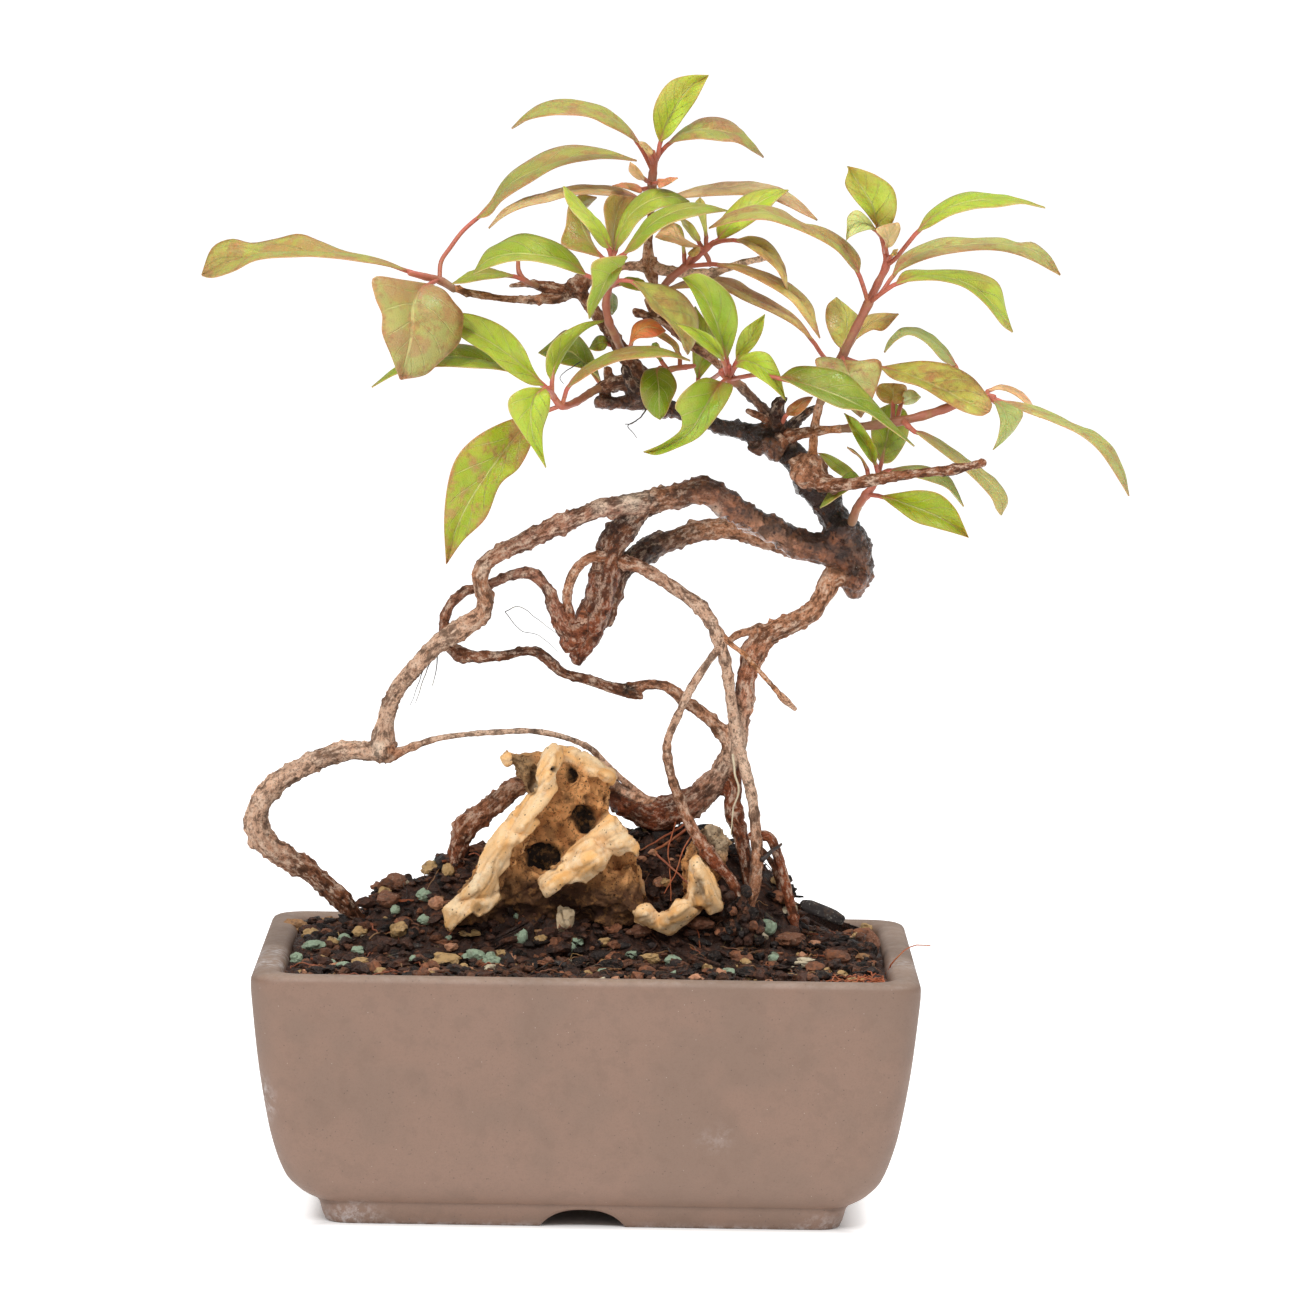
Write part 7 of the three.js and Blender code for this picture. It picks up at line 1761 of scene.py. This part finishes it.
# Grains that the front view picks out: tone, column, row, width and height as they are seen.
GRAINS = [
    ("sea", 315, 950, 25, 12), ("sea", 345, 943, 13, 11), ("sea", 358, 955, 12, 9),
    ("sea", 415, 965, 12, 10), ("sea", 425, 900, 14, 12), ("sea", 425, 925, 12, 10),
    ("sea", 475, 961, 24, 15), ("sea", 492, 966, 18, 14), ("sea", 522, 945, 12, 18),
    ("sea", 570, 952, 12, 10), ("sea", 672, 965, 16, 12), ("sea", 728, 975, 12, 8),
    ("sea", 773, 962, 12, 9), ("sea", 297, 962, 14, 10), ("sea", 345, 970, 18, 9),
    ("ochre", 400, 935, 20, 16), ("ochre", 445, 965, 30, 15), ("ochre", 360, 936, 14, 11),
    ("ochre", 385, 895, 13, 10), ("ochre", 432, 870, 22, 14), ("ochre", 448, 876, 14, 14),
    ("ochre", 465, 849, 12, 10), ("ochre", 470, 936, 20, 8), ("ochre", 540, 945, 12, 9),
    ("ochre", 650, 962, 20, 9), ("ochre", 866, 932, 13, 10), ("ochre", 856, 941, 11, 9),
    ("cream", 565, 925, 18, 24), ("cream_grain", 750, 938, 34, 20), ("cream_grain", 805, 966, 25, 10),
    ("clod", 872, 952, 14, 28), ("ochre", 310, 938, 16, 12), ("ochre", 332, 946, 12, 10),
    ("sea", 395, 915, 10, 8), ("ochre", 500, 958, 12, 9), ("sea", 440, 855, 12, 9),
    ("ochre", 390, 882, 16, 12), ("tan", 436, 908, 15, 14), ("straw", 294, 930, 28, 15),
    ("ochre", 362, 968, 20, 11), ("tan", 452, 951, 14, 10), ("clod", 548, 967, 12, 12),
    ("clod", 395, 868, 24, 16), ("clod", 388, 905, 22, 16), ("straw", 330, 925, 18, 10),
    ("clod", 700, 930, 26, 14), ("clod", 790, 945, 30, 14), ("sea", 768, 932, 14, 15),
    ("ochre", 745, 967, 12, 10), ("sea", 680, 977, 20, 8), ("clod", 640, 935, 22, 12),
]
# Dark chips of wood: column, row, length as seen, turn in degrees.
CHIPS = [
    (800, 928, 20, 25), (366, 903, 18, -10), (700, 945, 26, 15), (620, 950, 24, -8),
    (310, 925, 22, -25), (770, 925, 22, 40), (400, 960, 26, -12), (560, 968, 22, 8),
    (412, 950, 22, 4), (845, 948, 26, 30),
]
CHIP_HALF = (1.8, 1.1)
# The blunt piece of dark wood that lies on the slope at the right: column, row and depth of its
# middle, its half sizes and its turn in degrees.
BLOCK_PLACE = (823, 912, 4)
BLOCK_SIZE = (7.4, 2.4, 2.1)
BLOCK_TURN = 22
BLOCK_BLUNTNESS = 0.6
CRUMB_COUNT = 1150
DUST_COUNT = 2800
CRUMB_TONES = ["humus", "loam", "humus", "clod", "clod", "loam", "chip", "humus"]
CRUMB_SHADES = (0.45, 1.9)
# Crumbs heaped under the low end of the front root.
HEAP_COUNT = 90
HEAP_WAY = [(734, 888, -13), (742, 905, -14), (748, 925, -15)]
SLIVER_COUNT = 150
SLIVER_TONES = ["straw", "fibre", "clod", "chip"]
STRAY_GRAINS = 230
STRAY_TONES = ["sea", "ochre", "ochre", "tan", "tan", "cream_grain", "straw"]
# Fibres start somewhere in the pot's right front corner or anywhere else: spans of x and of y.
CORNER_FIBRES = 30
CORNER_SPANS = ((78, 90), (-65, -50))
FIBRE_COUNT = 260
FIBRE_SPANS = ((-86, 86), (-62, 60))
FIBRE_TONES = ["red_bark", "chip", "humus", "clod", "straw"]
# A fibre turns a little at each of its steps, and is drawn through this many points.
FIBRE_STEPS = 8
FIBRE_POINTS = 22
FULL_TURN = 6.28
# Up to this steepness loose pieces lie as thickly on a slope as on the level.
STEEPEST = 3.2


def soil_height(x, y):
    crest = np.interp(x, *zip(*RIDGE_CREST))
    width = np.where(y < RIDGE_DEPTH, *RIDGE_WIDTHS)
    return SOIL_LEVEL + crest * np.exp(-(((y - RIDGE_DEPTH) / width) ** 2))


def on_soil(column, row):
    """The point of the soil's front that is seen there, or the one of its crest just below."""
    ray = sight(column, row)
    closest, least = None, math.inf
    for y in np.arange(-SOIL_HALF[1], SOIL_HALF[1], 0.5):
        point = EYE + ray * ((y - EYE[1]) / ray[1])
        floor = float(soil_height(point[0] - POT_X, y))
        if point[2] - floor < least:
            least = point[2] - floor
            closest = np.append(point[:2], floor)
        if least <= 0:
            break
    return closest


def rounded_reach(across, along, half, corner):
    """Where a rectangle with round corners ends in a direction given as shares of its halves."""
    x, y = abs(across) * half[0], abs(along) * half[1]
    straight = (half[0] - corner, half[1] - corner)
    if x <= straight[0] or y <= straight[1]:
        return 1.0
    low, high = 0.5, 1.0
    for _ in range(24):
        middle = (low + high) / 2
        within = math.hypot(x * middle - straight[0], y * middle - straight[1]) <= corner
        low, high = (middle, high) if within else (low, middle)
    return low


def bed_places():
    """The places of the bed's grid from the pot's middle, drawn in at its round corners."""
    columns, rows = SOIL_CELLS
    xs, ys = [], []
    for j in range(rows + 1):
        for i in range(columns + 1):
            u, v = 2 * i / columns - 1, 2 * j / rows - 1
            ring = max(abs(u), abs(v), 1e-6)
            reach = rounded_reach(u / ring, v / ring, SOIL_HALF, SOIL_CORNER)
            xs.append(u * reach * SOIL_HALF[0])
            ys.append(v * reach * SOIL_HALF[1])
    return np.array(xs), np.array(ys)


def bed_heights(xs, ys):
    """The bed's crumbly surface."""
    flat = np.column_stack([xs, ys, np.zeros(len(xs))])
    clods = np.clip(0.5 - cells(flat, 5.0, 3), -0.3, 0.5)
    crumbs = 0.5 - cells(flat, 2.4, 8)
    height = soil_height(xs, ys)
    height += wave(flat, 13, 1) * 1.5 + clods * 3.4 + crumbs * 1.7 + wave(flat, 1.6, 5) * 0.5
    edge = np.minimum(SOIL_HALF[0] - np.abs(xs), SOIL_HALF[1] - np.abs(ys))
    level = np.minimum(height, SOIL_EDGE + 0.9 * wave(flat, 4, 2))
    return np.where(edge < SOIL_EDGE_WIDTH, level, height)


def make_bed(finish):
    columns, rows = SOIL_CELLS
    xs, ys = bed_places()
    points = [np.column_stack([xs + POT_X, ys, bed_heights(xs, ys)])]
    faces = []
    wide = columns + 1
    for j in range(rows):
        for i in range(columns):
            a = j * wide + i
            faces.append((a, a + 1, a + 1 + wide, a + wide))
    border = ([i for i in range(columns + 1)]
              + [j * wide + columns for j in range(1, rows + 1)]
              + [rows * wide + i for i in range(columns - 1, -1, -1)]
              + [j * wide for j in range(rows - 1, 0, -1)])
    above = border
    count = len(xs)
    for level, ends, fronts in SOIL_SIDES:
        scale = (1 - ends / SOIL_HALF[0], 1 - fronts / SOIL_HALF[1])
        points.append(np.column_stack([xs[border] * scale[0] + POT_X, ys[border] * scale[1],
                                       np.full(len(border), float(level))]))
        below = list(range(count, count + len(border)))
        for k in range(len(border)):
            n = (k + 1) % len(border)
            faces.append((above[k], below[k], below[n], above[n]))
        above = below
        count += len(border)
    faces.append(tuple(reversed(above)))
    body = Body()
    body.add(np.vstack(points), faces, tint=tone("humus"))
    carry(body.make("soil_bed"), finish, "soil", "soil")


def turned(draw, points, size, stretch=(1, 1, 1)):
    """A loose piece stretched, tilted and turned by chance."""
    spin = Matrix.Rotation(draw.uniform(0, FULL_TURN), 3, "Z")
    tilt = Matrix.Rotation(draw.uniform(-0.5, 0.5), 3, "X")
    return (points * np.array(stretch)) @ np.array(tilt).T @ np.array(spin).T * size


def leaning(points, size, degrees):
    """A piece of the given half sizes, turned in the plane that is seen."""
    return (points * np.array(size)) @ np.array(Matrix.Rotation(math.radians(degrees), 3, "Y")).T


def spot(draw, margin):
    """A place on the soil, as likely on a slope as on the level, and the way out of it."""
    while True:
        x = draw.uniform(-1, 1) * (SOIL_HALF[0] - margin)
        y = draw.uniform(-1, 1) * (SOIL_HALF[1] - margin)
        here = float(soil_height(x, y))
        out = Vector((here - float(soil_height(x + 1, y)), here - float(soil_height(x, y + 1)), 1))
        if draw.uniform(0, STEEPEST) < out.length:
            return np.array([x + POT_X, y, here]), np.array(out.normalized())


def crumb_tint(draw):
    return tone(draw.choice(CRUMB_TONES)) * draw.uniform(*CRUMB_SHADES)


def make_crumbs(draw, finish, rough, small):
    crumbs = Body()
    for index in range(CRUMB_COUNT + DUST_COUNT):
        big = index < CRUMB_COUNT
        points, faces = draw.choice(rough if big else small)
        size = draw.uniform(0.9, 2.4) if big else draw.uniform(0.4, 1.0)
        stretch = (draw.uniform(0.8, 1.9), 1, draw.uniform(0.35, 1))
        where, out = spot(draw, 3.5)
        shaped = turned(draw, points, size, stretch) + where
        crumbs.add(shaped + out * (draw.uniform(-0.1, 0.9) * size + 0.5), faces, tint=crumb_tint(draw))
    for _ in range(HEAP_COUNT):
        points, faces = draw.choice(rough)
        end = spline([place(*station) for station in HEAP_WAY], [draw.uniform(0, 1)])[0]
        end += np.array([draw.uniform(-5, 5), draw.uniform(-4, 3), 0])
        floor = float(soil_height(end[0] - POT_X, end[1]))
        end[2] = draw.uniform(floor, max(floor, end[2]) + 0.8)
        crumbs.add(turned(draw, points, draw.uniform(0.9, 2.0)) + end, faces, tint=crumb_tint(draw))
    for _ in range(SLIVER_COUNT):
        points, faces = draw.choice(rough)
        stretch = (draw.uniform(2.0, 4.5), draw.uniform(0.3, 0.7), draw.uniform(0.25, 0.5))
        where, out = spot(draw, 7)
        shaped = turned(draw, points, draw.uniform(0.7, 1.3), stretch) + where
        crumbs.add(shaped + out * draw.uniform(0.6, 1.8), faces,
                   tint=tone(draw.choice(SLIVER_TONES)) * 0.8)
    carry(crumbs.make("soil_crumbs", smooth=False), finish, "soil")


def half_size(*seen_sizes):
    """Half of each size as it is seen, in millimetres."""
    return tuple(size / (2 * SEEN_PER_MM) for size in seen_sizes)


def make_grains(draw, rough):
    grains = Body()
    for colour, column, row, width, height in GRAINS:
        points, faces = lump(1, 3, 0.2, column)
        points *= (1 + 0.26 * facets(points, 1.3, column))[:, None]
        size = half_size(width, min(width, height * 1.6), height)
        lifted = np.array([0, -size[1] * 0.15 - 0.8, size[2] * 0.35 + 0.8])
        grains.add(points * np.array(size) + on_soil(column, row) + lifted, faces, tint=tone(colour))
    for _ in range(STRAY_GRAINS):
        points, faces = draw.choice(rough)
        size = draw.uniform(0.5, 1.9)
        where, out = spot(draw, 4)
        grains.add(turned(draw, points, size, (1.3, 1, 0.8)) + where + out * size * 0.7, faces,
                   tint=tone(draw.choice(STRAY_TONES)))
    for column, row, length, turn in CHIPS:
        points, faces = lump(1, 2, 0.25, column)
        shaped = leaning(points, half_size(length) + CHIP_HALF, turn)
        grains.add(shaped + on_soil(column, row) + np.array([0, 0.6, 1.0]), faces, tint=tone("chip"))
    points, faces = lump(1, 3, 0.12, 4)
    points = np.sign(points) * np.abs(points) ** BLOCK_BLUNTNESS
    grains.add(leaning(points, BLOCK_SIZE, BLOCK_TURN) + place(*BLOCK_PLACE), faces, tint=tone("chip"))
    carry(grains.make("grains", smooth=False), grain_surface(), "rock")


def make_fibres(draw):
    fibres = Body()
    edge = np.array(SOIL_HALF) - 1.5
    for index in range(FIBRE_COUNT):
        corner = index < CORNER_FIBRES
        start = np.array([draw.uniform(*span) for span in (CORNER_SPANS if corner else FIBRE_SPANS)])
        heading = draw.uniform(0, FULL_TURN)
        length = draw.uniform(4, 15)
        path = []
        for step in range(FIBRE_STEPS + 1):
            heading += draw.uniform(-0.5, 0.5)
            start = start + np.array([math.cos(heading), math.sin(heading)]) * length / FIBRE_STEPS
            start = np.clip(start, -edge, edge)
            lift = 1.0 + 1.2 * math.sin(math.pi * step / FIBRE_STEPS) * draw.uniform(0.4, 1.4)
            path.append((start[0] + POT_X, start[1], float(soil_height(*start)) + lift))
        path = spline(path, np.linspace(0, 1, FIBRE_POINTS))
        radii = draw.uniform(0.12, 0.34) * np.linspace(1, 0.5, FIBRE_POINTS)
        fibres.tube(path, radii, FIBRE_SIDES, tint=tone("fibre" if corner else draw.choice(FIBRE_TONES), 0))
    carry(fibres.make("root_fibres"), bpy.data.materials["young_stem"], "bark")


def make_soil():
    finish = soil_surface()
    make_bed(finish)
    draw = random.Random(5)
    rough = [lump(1, 2, 0.5, seed) for seed in range(12)]
    small = [lump(1, 1, 0.45, seed) for seed in range(20, 32)]
    make_crumbs(draw, finish, rough, small)
    make_grains(draw, rough)
    make_fibres(draw)


# Pot

RIM_HALF = (102.5, 78)
RIM_CORNER = 10
FOOT_HALF = (79.5, 63.5)
FOOT_WALL = 10
# The foot's levels from its hollow round to its outside: how far in they lie, corner, height.
FOOT_RINGS = [
    (FOOT_WALL, 4, 6), (FOOT_WALL, 4, 0.6), (FOOT_WALL - 0.6, 4.4, 0), (0.9, 7.2, 0), (0.2, 7.8, 0.3),
    (0, 8, 1.0),
]
# Above these its outside leans out by this share of its height.
FOOT_HEIGHTS = (2.4, 3.8, 5.2)
FOOT_TOP = 6.2
FOOT_CORNER = 8
FOOT_SPLAY = 0.268
ARCH_HALF = 13.1
ARCH_HEIGHT = 5.2
DRAIN_OFFSET = 42
DRAIN_RADIUS = 6
DRAIN_SIDES = 32
# The drill stands through the pot's floor: the heights of its points.
DRILL_HEIGHTS = (-9, 10, 30)
# The wall's outside from the foot to the rim, then its inside down to the floor: height, inset at
# the ends, inset at front and back.
OUTSIDE = [
    (6.9, 20.4, 13.1), (8.2, 18.1, 11.6), (10, 15.5, 9.9), (13.2, 12.3, 7.9), (16.5, 10.3, 6.6),
    (22.5, 8, 5.1), (32, 5.5, 3.5), (50, 2.5, 1.6), (70, 0.3, 0.2), (75.4, 0, 0),
]
INSIDE = [
    (75, 9.4, 9.4), (66, 10.6, 10.2), (33, 14.6, 12.7), (17, 20, 16), (13.4, 25, 19.3), (13, 26, 20),
]
# The rolled rim between them: height, inset all round.
LIP = [
    (76.6, 0.1), (77.6, 0.8), (78.2, 1.9), (78.4, 3.4), (78.4, 5.6), (78.1, 7.2), (77.3, 8.4), (76.2, 9.1),
]
WALL_LEVELS = 48
CORNER_STEPS = 10
# The lip is painted paler from this height, a painted highlight on the rounded rim, and a fine line of
# painted shade runs where the wall meets the foot.
LIP_HEIGHT = 76.8
SEAM_HEIGHT = 6.6
SEAM_WIDTH = 0.45
# Pale bloom and rubbed places on the clay: x, y, z from the pot's middle, radius, strength.
SCUFFS = [
    (-97, -66, 40, 9, 0.8), (-98, -48, 78, 13, 0.9), (-98, -22, 78, 16, 0.8), (98, -60, 44, 8, 0.5),
    (99, -30, 78, 14, 0.6), (-70, -57, 1, 12, 0.9), (72, -57, 1, 10, 0.8), (40, -70, 30, 7, 0.3),
    (-20, 60, 60, 10, 0.4), (60, 70, 30, 9, 0.5), (-60, 68, 20, 8, 0.4),
]


def arch_height(x):
    """The underside of the foot at a place along the front: an opening in its middle."""
    reach = min(abs(x) / ARCH_HALF, 1)
    return ARCH_HEIGHT * (1 - reach**2.6) ** 0.85


def pot_ring(half_x, half_y, corner, height, arched=False):
    """One level of the pot's wall, and with an arch the foot's opening at front and back."""
    long_side = half_x - corner
    short_side = half_y - corner
    outer = np.linspace(long_side, ARCH_HALF + 0.5, 14)
    middle = np.linspace(ARCH_HALF - 0.05, 0.05 - ARCH_HALF, 33)
    straight = np.concatenate([outer, middle, -outer[::-1]])
    points = []
    for quarter in range(4):
        sign_x = 1 if quarter in (0, 3) else -1
        sign_y = 1 if quarter < 2 else -1
        for step in range(CORNER_STEPS + 1):
            angle = (quarter + step / CORNER_STEPS) * math.pi / 2
            points.append((sign_x * long_side + corner * math.cos(angle),
                           sign_y * short_side + corner * math.sin(angle)))
        if quarter in (0, 2):
            side = straight if quarter == 0 else -straight
            points += [(x, sign_y * half_y) for x in side[1:-1]]
        else:
            side = np.linspace(short_side, -short_side, 24)
            side = side if quarter == 1 else -side
            points += [(sign_x * half_x, y) for y in side[1:-1]]
    ring = np.array([(x, y, height) for x, y in points])
    if arched:
        for point in ring:
            at_side = abs(point[1]) > half_y - 0.01
            if at_side and abs(point[0]) < ARCH_HALF:
                point[2] = max(point[2], arch_height(point[0]) + height * 0.12)
    return ring + np.array([POT_X, 0, 0])


def pot_rings():
    """The pot's levels from the middle of its underside round to the floor inside."""
    foot_x, foot_y = FOOT_HALF
    rings = []
    for index, (inset, corner, height) in enumerate(FOOT_RINGS):
        rings.append(pot_ring(foot_x - inset, foot_y - inset, corner, height, index > 0))
    for height in (*FOOT_HEIGHTS, FOOT_TOP):
        splay = height * FOOT_SPLAY
        rings.append(pot_ring(foot_x + splay, foot_y + splay, FOOT_CORNER, height, height < FOOT_TOP))
    profile = list(spline(OUTSIDE, np.linspace(0, 1, WALL_LEVELS)))
    profile += [(height, inset, inset) for height, inset in LIP] + INSIDE
    for height, ends, fronts in profile:
        rings.append(pot_ring(RIM_HALF[0] - ends, RIM_HALF[1] - fronts, RIM_CORNER, height))
    return rings


def drill_drains(piece):
    for side in (-1, 1):
        drill = Body()
        middle = POT_X + side * DRAIN_OFFSET
        drill.tube([(middle, 0, height) for height in DRILL_HEIGHTS], DRAIN_RADIUS, DRAIN_SIDES)
        tool = drill.make("drill")
        cut = piece.modifiers.new("drain", "BOOLEAN")
        cut.object = tool
        cut.operation = "DIFFERENCE"
        cut.solver = "EXACT"
        applied(piece)
        bpy.data.objects.remove(tool)


def make_pot():
    rings = pot_rings()
    count = len(rings[0])
    faces = [tuple(reversed(range(count))), *ring_faces(len(rings), count)]
    faces.append(tuple(range((len(rings) - 1) * count, len(rings) * count)))
    body = Body()
    body.add(np.vstack(rings), faces)
    piece = body.make("pot_wall")
    drill_drains(piece)
    points, _ = read_points(piece.data)
    heights = points[:, 2]
    # Painted highlight on the lip and painted shade along the line where the wall meets the foot.
    lip = np.clip((heights - LIP_HEIGHT) / 1.2, 0, 1)
    seam_shade = np.exp(-((heights - SEAM_HEIGHT) / SEAM_WIDTH) ** 2) * 0.12
    colour = mixed(hue("clay"), hue("rim"), lip) * (1 - seam_shade)[:, None]
    scuffs = np.maximum(0.5 * np.clip((1.2 - heights) / 0.8, 0, 1), 0.12 * lip)
    for x, y, z, radius, strength in SCUFFS:
        away = np.linalg.norm(points - np.array([POT_X + x, y, z]), axis=1) / radius
        scuffs = np.maximum(scuffs, strength * np.clip(1.5 - 1.5 * away, 0, 1))
    give(piece.data, "tint", np.column_stack([colour, scuffs]))
    piece.data.shade_smooth()
    carry(piece, pot_surface(), "pot_clay", "pot")


# Studio

# Half the paper's width in metres, and the span around the pot's foot in which its glow sets in.
FLOOR_HALF = 150.0
GLOW_SPAN = (-0.006, 0.012)
# The paper glows a little so that it shows white, except under the pot, where leaving the glow out paints a
# shadow.
FLOOR_GLOW = 0.74
WORLD_LIGHT = 0.45
# Lamps: name, place in metres, width, power. All aim at the tree's middle.
SOFTBOXES = [
    ("key", (-0.9, -1.3, 1.5), 0.45, 18), ("top", (0.5, -0.1, 1.8), 0.5, 14),
    ("spark", (0.3, -1.3, 1.3), 0.12, 6),
]
AIM = Vector((0, 0, 0.17))


def linked(name, data):
    """A new object in the scene."""
    made = bpy.data.objects.new(name, data)
    bpy.context.scene.collection.objects.link(made)
    return made


def paper_surface():
    paper = Surface("paper", 0.9, Emission_Color="light", Base_Color="paper")
    x, y = paper.parts(paper.place())[:2]
    # Painted shadow: the glow is left out within the pot's footprint.
    beside = paper.minus(paper.off(paper.minus(x, POT_X * MM)), FOOT_HALF[0] * MM)
    before = paper.minus(paper.off(y), FOOT_HALF[1] * MM)
    paper.finish(Emission_Strength=paper.between(paper.most(beside, before), *GLOW_SPAN, 0.0, FLOOR_GLOW))
    return paper.material


def make_studio():
    scene = bpy.context.scene
    camera = bpy.data.cameras.new("camera")
    camera.sensor_width = SENSOR_WIDTH
    camera.lens = VIEW_SCALE / VIEW_WIDTH * SENSOR_WIDTH
    scene.camera = linked("camera", camera)
    turn = Matrix([RIGHT, UP, -FORWARD]).transposed().to_4x4()
    scene.camera.matrix_world = Matrix.Translation(Vector(EYE * MM)) @ turn
    scene.view_settings.view_transform = "Standard"

    mesh = bpy.data.meshes.new("floor")
    half = FLOOR_HALF
    mesh.from_pydata([(-half, -half, 0), (half, -half, 0), (half, half, 0), (-half, half, 0)], [],
                     [(0, 1, 2, 3)])
    floor = linked("floor", mesh)
    mesh.materials.append(paper_surface())

    world = bpy.data.worlds.new("studio")
    world.use_nodes = True
    background = world.node_tree.nodes["Background"]
    background.inputs["Color"].default_value = PIGMENTS["light"]
    background.inputs["Strength"].default_value = WORLD_LIGHT
    scene.world = world
    for name, where, size, power in SOFTBOXES:
        light = bpy.data.lights.new(name, "AREA")
        light.shape = "SQUARE"
        light.size = size
        light.energy = power
        lamp = linked(name, light)
        lamp.location = where
        lamp.rotation_euler = (AIM - Vector(where)).to_track_quat("-Z", "Y").to_euler()


make_studio()
make_shoots()
make_wood()
make_stone()
make_soil()
make_pot()
